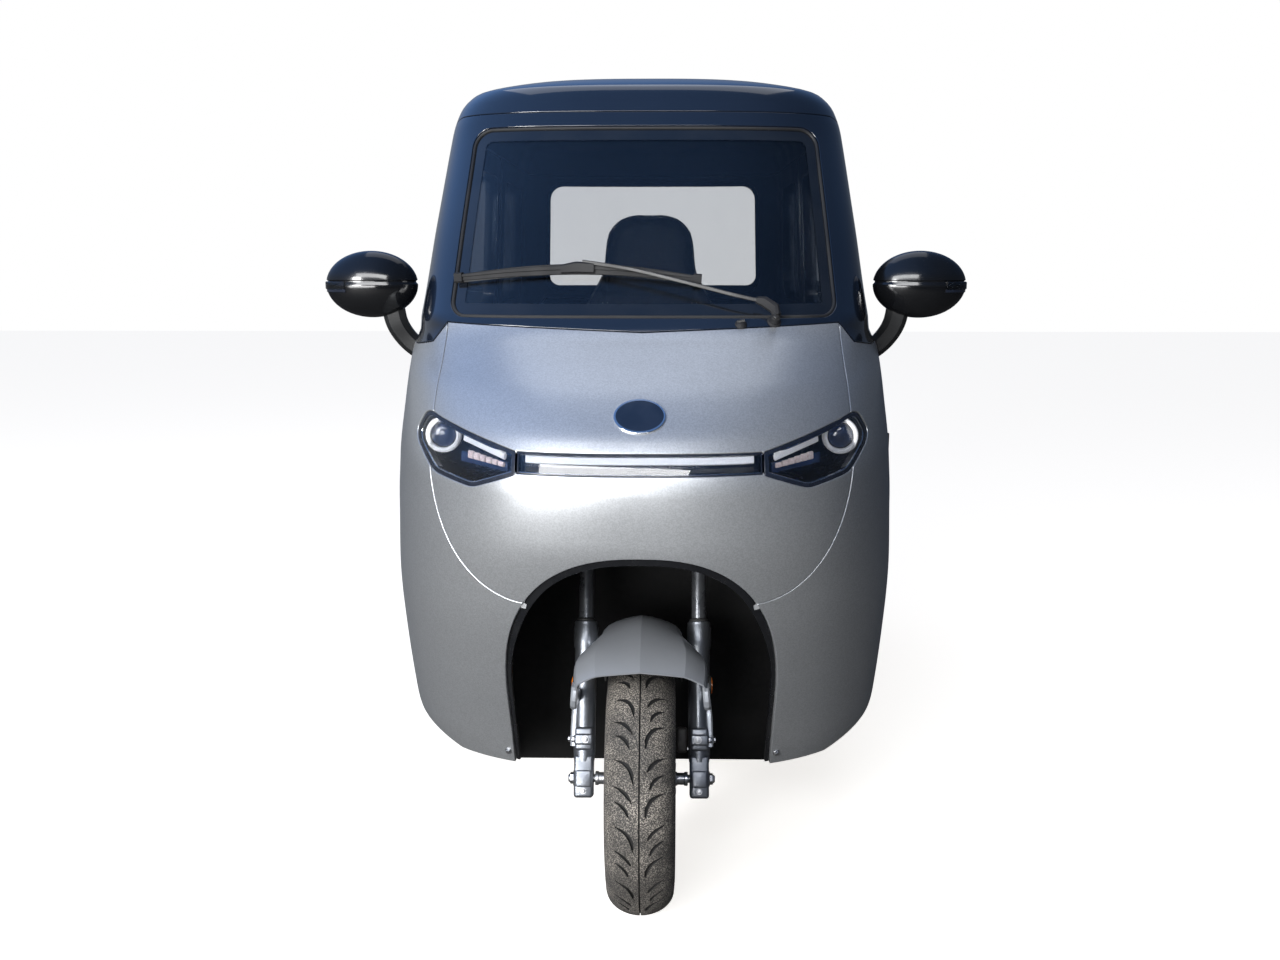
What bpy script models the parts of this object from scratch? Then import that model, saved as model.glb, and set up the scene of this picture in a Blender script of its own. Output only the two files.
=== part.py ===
# Enclosed electric tricycle: one steered front wheel, two driven rear wheels, a closed cabin.
# Run with: blender --background --python part.py
# Metres, +Z up. The nose points along -Y, and stations along the body are counted from the front axle.

import math

import bmesh
import bpy
from mathutils import Matrix, Vector

for leftover in list(bpy.data.objects):
    bpy.data.objects.remove(leftover)

# Overall layout
WHEELBASE = 1.600
FRONT_AXLE_Y = -0.892
REAR_TRACK = 0.800
TYRE_RADIUS = 0.236
TYRE_WIDTH = 0.120
RIM_RADIUS = 0.152
AXLE_Z = TYRE_RADIUS

# Gaps between pieces
FIT = 0.0003
TRIM_FIT = 0.0016
SEAM = 0.0006
MOVING_GAP = 0.007
DOOR_REAR_GAP = 0.012

# Wall thicknesses
WALL = 0.026
GLASS_WALL = 0.005
GLASS_RECESS = 0.004
LINER_WALL = 0.005

# Heights where the panels meet
BELT_Z = 1.013
DOOR_HEAD_Z = 1.428
HEADER_Z = 1.455
SILL_Z = 0.337
SIDE_SEAM = 0.520
BUMPER_Z = 0.500

# The body's outer skin as level sections. Nose stations are counted from the front axle, and tail
# overhangs from the rear axle.
SECTION_COLUMNS = ("height", "nose", "half", "tail", "nose_depth", "nose_power", "tail_depth", "tail_power")
TAIL_COLUMN = SECTION_COLUMNS.index("tail")
BODY_SECTIONS = (
    (0.160, 0.080, 0.440, 0.325, 0.42, 2.60, 0.15, 3.2),
    (0.230, 0.045, 0.466, 0.355, 0.46, 2.65, 0.16, 3.2),
    (0.300, 0.010, 0.484, 0.385, 0.50, 2.70, 0.18, 3.2),
    (0.450, -0.085, 0.492, 0.412, 0.58, 2.65, 0.20, 3.2),
    (0.600, -0.172, 0.499, 0.420, 0.72, 2.68, 0.22, 3.2),
    (0.720, -0.218, 0.500, 0.414, 0.84, 2.68, 0.23, 3.2),
    (0.800, -0.226, 0.497, 0.403, 0.86, 2.65, 0.23, 3.2),
    (0.880, -0.200, 0.490, 0.388, 0.84, 2.65, 0.22, 3.2),
    (0.950, -0.130, 0.479, 0.372, 0.72, 2.68, 0.21, 3.2),
    (0.985, -0.070, 0.472, 0.362, 0.62, 2.70, 0.20, 3.2),
    (1.010, -0.020, 0.459, 0.354, 0.50, 2.80, 0.20, 3.2),
    (1.040, 0.036, 0.434, 0.345, 0.33, 3.00, 0.20, 3.2),
    (1.070, 0.068, 0.428, 0.335, 0.27, 3.20, 0.20, 3.2),
    (1.240, 0.214, 0.418, 0.285, 0.25, 3.20, 0.20, 3.2),
    (1.420, 0.369, 0.408, 0.226, 0.25, 3.20, 0.20, 3.2),
    (1.470, 0.400, 0.396, 0.206, 0.25, 3.20, 0.20, 3.2),
    (1.505, 0.425, 0.370, 0.175, 0.26, 3.20, 0.22, 3.0),
    (1.530, 0.500, 0.310, 0.100, 0.28, 3.00, 0.25, 2.8),
    (1.548, 0.640, 0.220, -0.040, 0.28, 2.80, 0.25, 2.6),
    (1.556, 0.860, 0.100, -0.260, 0.20, 2.40, 0.20, 2.4),
)
BODY_BOTTOM = BODY_SECTIONS[0][0]
BODY_TOP = BODY_SECTIONS[-1][0]
BODY_HALF = max(row[2] for row in BODY_SECTIONS)
NOSE_TIP = min(row[1] for row in BODY_SECTIONS)
TAIL_END = WHEELBASE + max(row[TAIL_COLUMN] for row in BODY_SECTIONS)
LEVEL_PITCH = 0.120
NOSE_STEPS = 9
SIDE_STEPS = 2
TAIL_STEPS = 4

# Front wheel arch and the panels' lower edge, seen from the front
ARCH_HALF_WIDTH = 0.240
ARCH_SPRING_Z = 0.386
ARCH_TOP_Z = 0.697
ARCH_POWER = 2.55
LOWER_EDGE = ((0.0, 0.232), (0.350, 0.236), (0.430, 0.266), (0.480, 0.284), (0.700, 0.284))
# The wheel arch liner's sections: station, half width, top and bottom
LINER_SECTIONS = (
    (-0.300, 0.243, 0.702, 0.236),
    (-0.060, 0.252, 0.745, 0.236),
    (0.110, 0.276, 0.785, 0.200),
    (0.345, 0.276, 0.765, 0.130),
)

# Nose panel, lamps and windows, seen from the front as x, z and corner radius
NOSE_CORNER = (0.180, 0.860)
NOSE_CORNER_REACH = (0.180, 0.252)
HOOD_LINE = ((0.0, 1.043), (0.353, 1.057), (0.383, 1.022), (0.426, BELT_Z), (0.700, BELT_Z))
LAMP_OUTLINE = (
    (0.199, 0.866, 0.003),
    (0.372, 0.914, 0.020),
    (0.401, 0.868, 0.028),
    (0.352, 0.817, 0.040),
    (0.275, 0.803, 0.040),
    (0.199, 0.830, 0.006),
)
LIGHT_BAR_OUTLINE = ((-0.196, 0.866, 0), (0.196, 0.866, 0), (0.196, 0.832, 0), (-0.196, 0.832, 0))
SCREEN_OUTLINE = (
    (-0.352, 1.067, 0.030),
    (0.352, 1.067, 0.030),
    (0.342, 1.426, 0.040),
    (-0.342, 1.426, 0.040),
)
REAR_GLASS_OUTLINE = (
    (-0.352, 1.070, 0.050),
    (0.352, 1.070, 0.050),
    (0.335, 1.412, 0.060),
    (-0.335, 1.412, 0.060),
)
LAMP_DEPTH = 0.034
BADGE_SIZE = (0.084, 0.050)
BADGE_Z = 0.920
BADGE_RISE = 0.003

# Doors and side windows, seen from the side as station, height and corner radius
DOOR_FRONT = 0.450
DOOR_REAR = WHEELBASE - 0.440
DOOR_HEAD_FRONT = 0.655
WINDOW_SILL_Z = 1.048
WINDOW_HEAD_Z = 1.372
WINDOW_FRAME = 0.055
QUARTER_FRAME = 0.085
QUARTER_SILL_Z = 1.060
DOOR_OUTLINE = (
    (DOOR_FRONT, SILL_Z + MOVING_GAP, 0.060),
    (DOOR_REAR, SILL_Z + MOVING_GAP, 0.090),
    (DOOR_REAR, DOOR_HEAD_Z - MOVING_GAP, 0.050),
    (DOOR_HEAD_FRONT, DOOR_HEAD_Z - MOVING_GAP, 0.060),
    (DOOR_FRONT, BELT_Z + 0.047, 0.060),
)
DOOR_WINDOW_OUTLINE = (
    (DOOR_FRONT + 0.110, WINDOW_SILL_Z, 0.030),
    (DOOR_REAR - WINDOW_FRAME, WINDOW_SILL_Z, 0.040),
    (DOOR_REAR - WINDOW_FRAME, WINDOW_HEAD_Z, 0.045),
    (DOOR_HEAD_FRONT + 0.035, WINDOW_HEAD_Z, 0.045),
    (DOOR_FRONT + 0.080, WINDOW_SILL_Z + 0.052, 0.040),
)
QUARTER_WINDOW_OUTLINE = (
    (DOOR_REAR + QUARTER_FRAME, QUARTER_SILL_Z, 0.045),
    (WHEELBASE + 0.100, QUARTER_SILL_Z, 0.055),
    (WHEELBASE + 0.040, WINDOW_HEAD_Z, 0.070),
    (DOOR_REAR + QUARTER_FRAME, WINDOW_HEAD_Z, 0.045),
)
DOOR_HINGE_X = 0.5005
DOOR_HINGE_STATION = DOOR_FRONT - 0.010
DOOR_HINGE_HEIGHTS = (0.460, 0.780)
HINGE_RADIUS = 0.0075
HINGE_LENGTH = 0.032
LEAF_REACH = 0.036
LEAF_TRIM = 0.001
LEAF_SKIN = 0.0055
LEAF_BLOCK = 0.030
LEAF_PROUD = 0.0005
HANDLE_STATION = DOOR_REAR - 0.075
HANDLE_X = (0.455, 0.505)
HANDLE_SPAN = (-0.060, 0.030)
HANDLE_HALF = 0.014
HANDLE_Z = 0.930

# Tail, seen from behind
TAIL_SEAM_X = 0.390
TAIL_SEAM_STATION = WHEELBASE + 0.180
BUMPER_STATION = WHEELBASE + 0.300
BOOT_OUTLINE = ((-0.340, 0.560, 0.06), (0.340, 0.560, 0.06), (0.340, 0.965, 0.05), (-0.340, 0.965, 0.05))
BOOT_HINGE = (WHEELBASE + 0.375, 0.976)
BOOT_HINGE_X = 0.200
TAIL_LAMP_OUTLINE = ((0.405, 0.660, 0.02), (0.468, 0.660, 0.02), (0.460, 0.900, 0.02), (0.405, 0.900, 0.02))
PLATE_PAD_X = 0.130
PLATE_PAD_Z = (0.345, 0.455)
PLATE_PAD_STATION = TAIL_END - 0.002
PLATE_PAD_WALL = 0.040
REAR_ARCH_RADIUS = 0.285

# Steering head and fork, in the fork's own frame: its Z is the steering axis
RAKE = math.radians(20.0)
FORK_OFFSET = 0.035
LEG_X = 0.105
TUBE_RADIUS = 0.0135
LEG_RADIUS = 0.0205
LEG_TOP = 0.285
LEG_BOTTOM = -0.034
TUBE_ENTRY = 0.070
CROWN_Z = 0.470
CROWN_HEIGHT = 0.028
CROWN_HALF = 0.132
CROWN_DEPTH = (-0.060, 0.024)
CROWN_SINK = 0.004
STEM_RADIUS = 0.0145
STEM_TOP = 0.830
HEAD_LENGTH = 0.105
HEAD_Z = 0.545
HEAD_RADIUS = 0.026
HEAD_PLAY = 0.0005
AXLE_RADIUS = 0.0075
AXLE_PLAY = 0.0005
COLLAR_RADIUS = 0.0125
HUB_PLAY = 0.001
AXLE_NUT = 0.008
FENDER_ARC = (math.radians(-62.0), math.radians(38.0))
FENDER_PROFILE = ((0.000, 0.296), (0.078, 0.286), (0.112, 0.262), (0.116, 0.238))
FENDER_WALL = 0.003
BAR_RADIUS = 0.011
BAR_POINTS = ((0.300, 0.115, 0.022), (0.180, 0.090, 0.026), (0.085, 0.028, 0.012), (0.030, 0.000, 0.000))
GRIP_RADIUS = 0.016
GRIP_LENGTH = 0.120

# Wheels
DISC_RADIUS = 0.092
DISC_WALL = 0.004
DISC_BORE = 0.014
CALIPER_REACH = 0.010
CALIPER_DEPTH = (-0.038, 0.040)
CALIPER_TALL = (0.046, 0.092)
PAD_GAP = 0.0025
DISC_PLAY = 0.004
HUB_RADIUS = 0.034
HUB_HALF = 0.056
WEB_HALF = 0.006
RIM_WINDOWS = 5
WHEEL_STEPS = 28

# Floor, frame, seat and battery
FLOOR_Z = 0.262
FLOOR_WALL = 0.022
FLOOR_REAR = WHEELBASE - 0.305
BULKHEAD_STATION = 0.398
DASH_PROFILE = ((-0.060, 0.990), (0.100, 0.968), (0.300, 0.950), (BULKHEAD_STATION, 0.895))
DASH_WALL = 0.010
RAIL_RADIUS = 0.018
RAIL_X = 0.245
CROSS_RADIUS = 0.014
DOWN_TUBE_RADIUS = 0.017
DECK_Z = 0.516
DECK_WALL = 0.014
RAIL_GAP = 0.0005
RAIL_LOW_Z = FLOOR_Z - RAIL_RADIUS - RAIL_GAP
RAIL_HIGH_Z = DECK_Z - DECK_WALL - RAIL_RADIUS - RAIL_GAP
RAIL_PATH = (
    (0.400, RAIL_LOW_Z),
    (WHEELBASE - 0.255, RAIL_LOW_Z),
    (WHEELBASE - 0.145, RAIL_HIGH_Z),
    (WHEELBASE + 0.330, RAIL_HIGH_Z),
)
CROSS_TUBES = (
    (0.415, RAIL_LOW_Z),
    (WHEELBASE - 0.290, RAIL_LOW_Z),
    (WHEELBASE - 0.110, RAIL_HIGH_Z),
    (WHEELBASE + 0.315, RAIL_HIGH_Z),
)
BATTERY_X = 0.205
BATTERY_GAP = 0.016
BATTERY_BOTTOM = 0.130
SEAT_STATION = WHEELBASE - 0.740
SEAT_REAR = WHEELBASE - 0.310
SEAT_BOX_X = 0.300
SEAT_BOX_TOP = 0.478
CUSHION_WALL = 0.100

scene_collection = bpy.context.scene.collection
parts = bpy.data.collections.new("enclosed_electric_tricycle")
cutters = bpy.data.collections.new("cutters")
scene_collection.children.link(parts)
scene_collection.children.link(cutters)


# Materials, from what each piece is made of
def material(name, colour, roughness, metallic):
    made = bpy.data.materials.new(name)
    made.use_nodes = True
    shader = made.node_tree.nodes["Principled BSDF"]
    shader.inputs["Base Color"].default_value = (*colour, 1.0)
    shader.inputs["Roughness"].default_value = roughness
    shader.inputs["Metallic"].default_value = metallic
    return made


SILVER_PAINT = material("silver_paint", (0.50, 0.52, 0.54), 0.30, 0.70)
BLACK_PAINT = material("black_paint", (0.010, 0.012, 0.018), 0.12, 0.0)
BLACK_PLASTIC = material("black_plastic", (0.022, 0.022, 0.024), 0.55, 0.0)
GREY_PLASTIC = material("grey_plastic", (0.16, 0.16, 0.17), 0.60, 0.0)
GLASS = material("tinted_glass", (0.05, 0.06, 0.07), 0.04, 0.0)
LAMP_LENS = material("lamp_lens", (0.10, 0.10, 0.11), 0.08, 0.0)
RED_LENS = material("red_lens", (0.45, 0.02, 0.02), 0.12, 0.0)
TYRE_RUBBER = material("tyre_rubber", (0.035, 0.030, 0.027), 0.85, 0.0)
CAST_ALLOY = material("cast_alloy", (0.55, 0.56, 0.58), 0.35, 0.9)
BARE_STEEL = material("bare_steel", (0.45, 0.45, 0.46), 0.35, 1.0)
BLACK_STEEL = material("black_steel", (0.015, 0.015, 0.016), 0.40, 0.3)
SEAT_COVER = material("seat_cover", (0.030, 0.030, 0.034), 0.60, 0.0)


# Meshes and objects
def station_y(station):
    return FRONT_AXLE_Y + station


def add_object(name, mesh, surface, home=parts):
    made = bpy.data.objects.new(name, mesh)
    home.objects.link(made)
    if surface is not None and not mesh.materials:
        mesh.materials.append(surface)
    if home is cutters:
        made.hide_render = True
        made.display_type = "WIRE"
    return made


def mesh_from(name, work, smooth_angle=None):
    mesh = bpy.data.meshes.new(name)
    work.to_mesh(mesh)
    work.free()
    if smooth_angle is not None:
        mesh.shade_smooth()
        mesh.set_sharp_from_angle(angle=smooth_angle)
    return mesh


def cut(target, cutter, operation="DIFFERENCE", solver="EXACT"):
    modifier = target.modifiers.new(f"{operation.lower()}_{cutter.name}", "BOOLEAN")
    modifier.operation = operation
    modifier.object = cutter
    modifier.solver = solver
    return target


def keep(target, cutter):
    return cut(target, cutter, "INTERSECT")


def as_mesh(target, weld=0.0001):
    """The object's evaluated shape as a plain mesh in world space, with the object replaced by it."""
    graph = bpy.context.evaluated_depsgraph_get()
    graph.update()
    shape = bpy.data.meshes.new_from_object(target.evaluated_get(graph))
    work = bmesh.new()
    work.from_mesh(shape)
    bmesh.ops.transform(work, matrix=target.matrix_world, verts=work.verts)
    bmesh.ops.remove_doubles(work, verts=work.verts, dist=weld)
    bmesh.ops.recalc_face_normals(work, faces=work.faces)
    name, home = target.name, target.users_collection[0]
    bpy.data.objects.remove(target)
    made = add_object(name, mesh_from(name, work, math.radians(35)), None, home)
    for used in shape.materials:
        made.data.materials.append(used)
    return made


def rounded(corners, steps=4):
    """A flat outline whose corners, given as a, b and radius, are turned into arcs."""
    outline = []
    for index, (a, b, radius) in enumerate(corners):
        corner = Vector((a, b))
        back = (Vector(corners[index - 1][:2]) - corner).normalized()
        ahead = (Vector(corners[(index + 1) % len(corners)][:2]) - corner).normalized()
        if radius == 0:
            outline.append(corner)
            continue
        half_angle = back.angle(ahead) / 2
        centre = corner + (back + ahead).normalized() * radius / math.sin(half_angle)
        first = corner + back * radius / math.tan(half_angle) - centre
        last = corner + ahead * radius / math.tan(half_angle) - centre
        sweep = first.angle(last)
        for step in range(steps + 1):
            share = step / steps
            arm = (first * math.sin((1 - share) * sweep) + last * math.sin(share * sweep)) / math.sin(sweep)
            outline.append(centre + arm)
    return outline


def grown(outline, distance):
    """The outline moved outwards by a distance, or inwards where it is negative."""
    points = [Vector(point) for point in outline]
    pairs = zip(points, points[1:] + points[:1])
    side = math.copysign(1.0, sum(p.x * q.y - q.x * p.y for p, q in pairs))
    moved = []
    for index, point in enumerate(points):
        before = (point - points[index - 1]).normalized()
        after = (points[(index + 1) % len(points)] - point).normalized()
        normal_before = Vector((before.y, -before.x))
        normal_after = Vector((after.y, -after.x))
        along = (normal_before + normal_after).normalized()
        moved.append(point + along * distance * side / along.dot(normal_before))
    return moved


def mirrored(outline):
    return [Vector((-point[0], point[1])) for point in reversed(outline)]


def prism_mesh(name, outline, axis, low, high):
    """A prism of a flat outline: station and z along X, x and z along Y, x and station along Z."""
    places = {
        "X": lambda a, b, depth: Vector((depth, station_y(a), b)),
        "Y": lambda a, b, depth: Vector((a, station_y(depth), b)),
        "Z": lambda a, b, depth: Vector((a, station_y(b), depth)),
    }
    place = places[axis]
    work = bmesh.new()
    face = work.faces.new([work.verts.new(place(a, b, low)) for a, b in outline])
    raised = bmesh.ops.extrude_face_region(work, geom=[face])["geom"]
    tops = [item for item in raised if isinstance(item, bmesh.types.BMVert)]
    bmesh.ops.translate(work, verts=tops, vec=place(0, 0, high) - place(0, 0, low))
    bmesh.ops.recalc_face_normals(work, faces=work.faces)
    return mesh_from(name, work)


def prism_cutter(name, outline, axis, low, high):
    return add_object(name, prism_mesh(name, outline, axis, low, high), None, cutters)


def box_mesh(name, x_span, station_span, z_span, bevel=0.0):
    work = bmesh.new()
    bmesh.ops.create_cube(work, size=1.0)
    spans = (x_span, tuple(station_y(s) for s in station_span), z_span)
    size = Vector([high - low for low, high in spans])
    centre = Vector([(high + low) / 2 for low, high in spans])
    bmesh.ops.scale(work, vec=size, verts=work.verts)
    bmesh.ops.translate(work, vec=centre, verts=work.verts)
    if bevel:
        shape = {"affect": "EDGES", "segments": 2, "profile": 0.5, "material": -1}
        bmesh.ops.bevel(work, geom=work.edges, offset=bevel, **shape)
    return mesh_from(name, work, math.radians(35))


def turned(name, profile, surface, steps, home=parts):
    """A closed profile of radius and height, outer side from top to bottom, turned about its own Z."""
    work = bmesh.new()
    points = [work.verts.new((radius, 0, height)) for radius, height in profile]
    for first, second in zip(points, points[1:] + points[:1]):
        if first.co.x > 0 or second.co.x > 0:
            work.edges.new((first, second))
    made = add_object(name, mesh_from(name, work), surface, home)
    screw = made.modifiers.new("turn", "SCREW")
    screw.axis = "Z"
    screw.steps = steps
    screw.render_steps = steps
    screw.use_merge_vertices = True
    screw.merge_threshold = 0.0001
    screw.use_smooth_shade = True
    return made


def tube(name, points, radius, surface, home=parts, smooth=False, sides=2):
    """A round tube through world points, as a curve with filled ends."""
    data = bpy.data.curves.new(name, "CURVE")
    data.dimensions = "3D"
    data.bevel_depth = radius
    data.bevel_resolution = sides
    data.use_fill_caps = True
    spline = data.splines.new("BEZIER" if smooth else "POLY")
    if smooth:
        data.resolution_u = 5
        spline.bezier_points.add(len(points) - 1)
        for knot, point in zip(spline.bezier_points, points):
            knot.co = point
            knot.handle_left_type = "AUTO"
            knot.handle_right_type = "AUTO"
    else:
        spline.points.add(len(points) - 1)
        for knot, point in zip(spline.points, points):
            knot.co = (*point, 1.0)
    made = bpy.data.objects.new(name, data)
    home.objects.link(made)
    data.materials.append(surface)
    return made


def united(name, pieces, surface):
    """One closed body from touching pieces, joined by exact unions."""
    meshes = [as_mesh(piece) for piece in pieces]
    base = meshes[0]
    for other in meshes[1:]:
        cut(base, other, "UNION")
    joined = as_mesh(base)
    for other in meshes[1:]:
        bpy.data.objects.remove(other)
    joined.name = name
    joined.data.materials.clear()
    joined.data.materials.append(surface)
    return joined


# The body's skin
def smooth_value(column, height):
    """A smooth curve through one column of the section table, without overshoot."""
    heights = [row[0] for row in BODY_SECTIONS]
    start = WHEELBASE if column == TAIL_COLUMN else 0.0
    values = [start + row[column] for row in BODY_SECTIONS]
    last = len(heights) - 1
    index = max(i for i in range(last) if heights[i] <= height or i == 0)
    slopes = [(values[i + 1] - values[i]) / (heights[i + 1] - heights[i]) for i in range(last)]

    def tangent(i):
        if i == 0 or i == last:
            return slopes[min(i, last - 1)]
        below, above = slopes[i - 1], slopes[i]
        if below * above <= 0:
            return 0.0
        return 2 * below * above / (below + above)

    span = heights[index + 1] - heights[index]
    t = (height - heights[index]) / span
    return (
        (2 * t**3 - 3 * t**2 + 1) * values[index]
        + (t**3 - 2 * t**2 + t) * span * tangent(index)
        + (3 * t**2 - 2 * t**3) * values[index + 1]
        + (t**3 - t**2) * span * tangent(index + 1)
    )


def section_ring(height):
    """One level section of the skin, counted round from the nose by way of +X."""
    columns = range(1, len(SECTION_COLUMNS))
    row = [smooth_value(column, height) for column in columns]
    nose, half, tail, nose_depth, nose_power, tail_depth, tail_power = row
    side = []
    for step in range(NOSE_STEPS + 1):
        angle = math.pi / 2 * step / NOSE_STEPS
        across = math.sin(angle) ** (2 / nose_power)
        along = math.cos(angle) ** (2 / nose_power)
        side.append((half * across, nose + nose_depth * (1 - along)))
    start = nose + nose_depth
    end = tail - tail_depth
    for step in range(1, SIDE_STEPS):
        side.append((half, start + (end - start) * step / SIDE_STEPS))
    for step in range(TAIL_STEPS + 1):
        angle = math.pi / 2 * step / TAIL_STEPS
        across = math.cos(angle) ** (2 / tail_power)
        along = math.sin(angle) ** (2 / tail_power)
        side.append((half * across, tail - tail_depth * (1 - along)))
    left = [(-x, s) for x, s in reversed(side[1:-1])]
    return [Vector((x, station_y(s), height)) for x, s in side + left]


def section_heights():
    heights = []
    for lower, upper in zip(BODY_SECTIONS, BODY_SECTIONS[1:]):
        pieces = max(1, round((upper[0] - lower[0]) / LEVEL_PITCH))
        heights += [lower[0] + (upper[0] - lower[0]) * step / pieces for step in range(pieces)]
    return heights + [BODY_SECTIONS[-1][0]]


def skin_mesh(name, inset, closed):
    """The body's skin moved inwards by the inset, open below, or closed by a straight foot."""
    work = bmesh.new()
    rings = [[work.verts.new(point) for point in section_ring(height)] for height in section_heights()]
    count = len(rings[0])
    for lower, upper in zip(rings, rings[1:]):
        for index in range(count):
            after = (index + 1) % count
            work.faces.new((lower[index], lower[after], upper[after], upper[index]))
    work.faces.new(rings[-1])
    work.normal_update()
    moved = [(vert, vert.co - vert.normal * inset) for vert in work.verts]
    for vert, place in moved:
        vert.co = place
    for vert in rings[0]:
        vert.co.z = BODY_BOTTOM
    if closed:
        foot = [work.verts.new((vert.co.x, vert.co.y, BODY_BOTTOM - 0.080)) for vert in rings[0]]
        for index in range(count):
            after = (index + 1) % count
            work.faces.new((foot[index], foot[after], rings[0][after], rings[0][index]))
        work.faces.new(list(reversed(foot)))
    return mesh_from(name, work, math.radians(30))


outer_skin = skin_mesh("outer_skin", 0.0, False)
glass_skin = skin_mesh("glass_skin", GLASS_RECESS, False)
lamp_skin = skin_mesh("lamp_skin", 0.001, False)
badge_skin = skin_mesh("badge_skin", -BADGE_RISE, False)
cabin_inside = add_object("cabin_inside", skin_mesh("cabin_inside", WALL + TRIM_FIT, True), None, cutters)


def panel(name, skin, thickness, surface, inside=(), outside=()):
    """A piece of the body: its skin made solid, kept inside some prisms and cut by others."""
    made = add_object(name, skin.copy(), surface)
    solid = made.modifiers.new("wall", "SOLIDIFY")
    solid.thickness = thickness
    solid.offset = -1
    for prism in inside:
        keep(made, prism)
    for prism in outside:
        cut(made, prism)
    return made


# How far the cutters reach: past the skin outside, and short of the middle inside
BEYOND = 0.200
FRONT_REACH = (NOSE_TIP - BEYOND, DOOR_FRONT + 0.250)
REAR_REACH = (WHEELBASE + 0.100, TAIL_END + BEYOND)
SIDE_REACH = (0.100, BODY_HALF + BEYOND)
LENGTH_REACH = (NOSE_TIP - BEYOND, TAIL_END + BEYOND)
WIDTH_REACH = (-BODY_HALF - BEYOND, BODY_HALF + BEYOND)
HEIGHT_REACH = (0.050, BODY_TOP + BEYOND)
LAMP_REACH = (NOSE_TIP - BEYOND, 0.300)
BAR_REACH = (NOSE_TIP - BEYOND, 0.100)


def arch_outline(half, spring, top, bottom, steps=8):
    """The wheel arch seen from the front: straight sides and a superellipse over them."""
    points = [(half, bottom)]
    for step in range(2 * steps + 1):
        angle = math.pi * step / (2 * steps)
        across = math.copysign(abs(math.cos(angle)) ** (2 / ARCH_POWER), math.cos(angle))
        rise = abs(math.sin(angle)) ** (2 / ARCH_POWER)
        points.append((half * across, spring + (top - spring) * rise))
    return points + [(-half, bottom)]


def nose_outline():
    """The nose panel seen from the front: hood line above, quarter ellipses down to the wheel arch."""
    centre_x, centre_z = NOSE_CORNER
    reach_x, reach_z = NOSE_CORNER_REACH
    right = []
    for step in range(9):
        angle = math.pi / 2 * step / 8
        right.append((centre_x + reach_x * math.sin(angle), centre_z - reach_z * math.cos(angle)))
    left = [(-x, z) for x, z in reversed(right)]
    hood = [HOOD_LINE[1], HOOD_LINE[0], (-HOOD_LINE[1][0], HOOD_LINE[1][1])]
    return [Vector(point) for point in right + hood + left]


def above_outline(line, ceiling):
    """Everything between a line, given for its +X half, and a ceiling."""
    left = [(-x, z) for x, z in reversed(line[1:])]
    far = line[-1][0]
    return [Vector(point) for point in left + list(line) + [(far, ceiling), (-far, ceiling)]]


def below_outline(line, floor):
    left = [(-x, z) for x, z in reversed(line[1:])]
    far = line[-1][0]
    return [Vector(point) for point in left + list(line) + [(far, floor), (-far, floor)]]


half_seam = SEAM / 2
arch = arch_outline(ARCH_HALF_WIDTH, ARCH_SPRING_Z, ARCH_TOP_Z, HEIGHT_REACH[0])
door = rounded(DOOR_OUTLINE)
door_middle = (DOOR_FRONT + DOOR_REAR) / 2
rear_extra = DOOR_REAR_GAP - MOVING_GAP
door_hole = [Vector((a + (rear_extra if a > door_middle else 0), b)) for a, b in grown(door, MOVING_GAP)]
door_window = rounded(DOOR_WINDOW_OUTLINE)
quarter_window = rounded(QUARTER_WINDOW_OUTLINE)
screen = rounded(SCREEN_OUTLINE)
rear_glass_outline = rounded(REAR_GLASS_OUTLINE)
lamp = rounded(LAMP_OUTLINE)
tail_lamp = rounded(TAIL_LAMP_OUTLINE)
boot = rounded(BOOT_OUTLINE)
nose = nose_outline()

# Cutters for the openings
arch_cut = prism_cutter("arch_cut", arch, "Y", *FRONT_REACH)
nose_keep = prism_cutter("nose_keep", grown(nose, -half_seam), "Y", *FRONT_REACH)
nose_cut = prism_cutter("nose_cut", grown(nose, half_seam), "Y", *FRONT_REACH)
bar_cut = prism_cutter("bar_cut", rounded(LIGHT_BAR_OUTLINE), "Y", *BAR_REACH)
bar_keep = prism_cutter("bar_keep", grown(rounded(LIGHT_BAR_OUTLINE), -FIT), "Y", *BAR_REACH)
screen_cut = prism_cutter("screen_cut", screen, "Y", *FRONT_REACH)
screen_keep = prism_cutter("screen_keep", grown(screen, -FIT), "Y", *FRONT_REACH)
rear_glass_cut = prism_cutter("rear_glass_cut", rear_glass_outline, "Y", *REAR_REACH)
rear_glass_keep = prism_cutter("rear_glass_keep", grown(rear_glass_outline, -FIT), "Y", *REAR_REACH)
black_front = above_outline(HOOD_LINE, HEIGHT_REACH[1])
black_cut = prism_cutter("black_cut", grown(black_front, half_seam), "Y", *LENGTH_REACH)
black_keep = prism_cutter("black_keep", grown(black_front, -half_seam), "Y", *LENGTH_REACH)
under_cut = prism_cutter("under_cut", below_outline(LOWER_EDGE, HEIGHT_REACH[0]), "Y", *LENGTH_REACH)
boot_cut = prism_cutter("boot_cut", grown(boot, MOVING_GAP), "Y", *REAR_REACH)
boot_keep = prism_cutter("boot_keep", boot, "Y", *REAR_REACH)
tail_top = BELT_Z + 0.100
tail_region = [
    Vector((-TAIL_SEAM_X, BUMPER_Z)),
    Vector((TAIL_SEAM_X, BUMPER_Z)),
    Vector((TAIL_SEAM_X, tail_top)),
    Vector((-TAIL_SEAM_X, tail_top)),
]
tail_reach = (TAIL_SEAM_STATION, REAR_REACH[1])
tail_cut = prism_cutter("tail_cut", grown(tail_region, half_seam), "Y", *tail_reach)
tail_inner = (tail_reach[0] + SEAM, tail_reach[1])
tail_keep = prism_cutter("tail_keep", grown(tail_region, -half_seam), "Y", *tail_inner)
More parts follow.
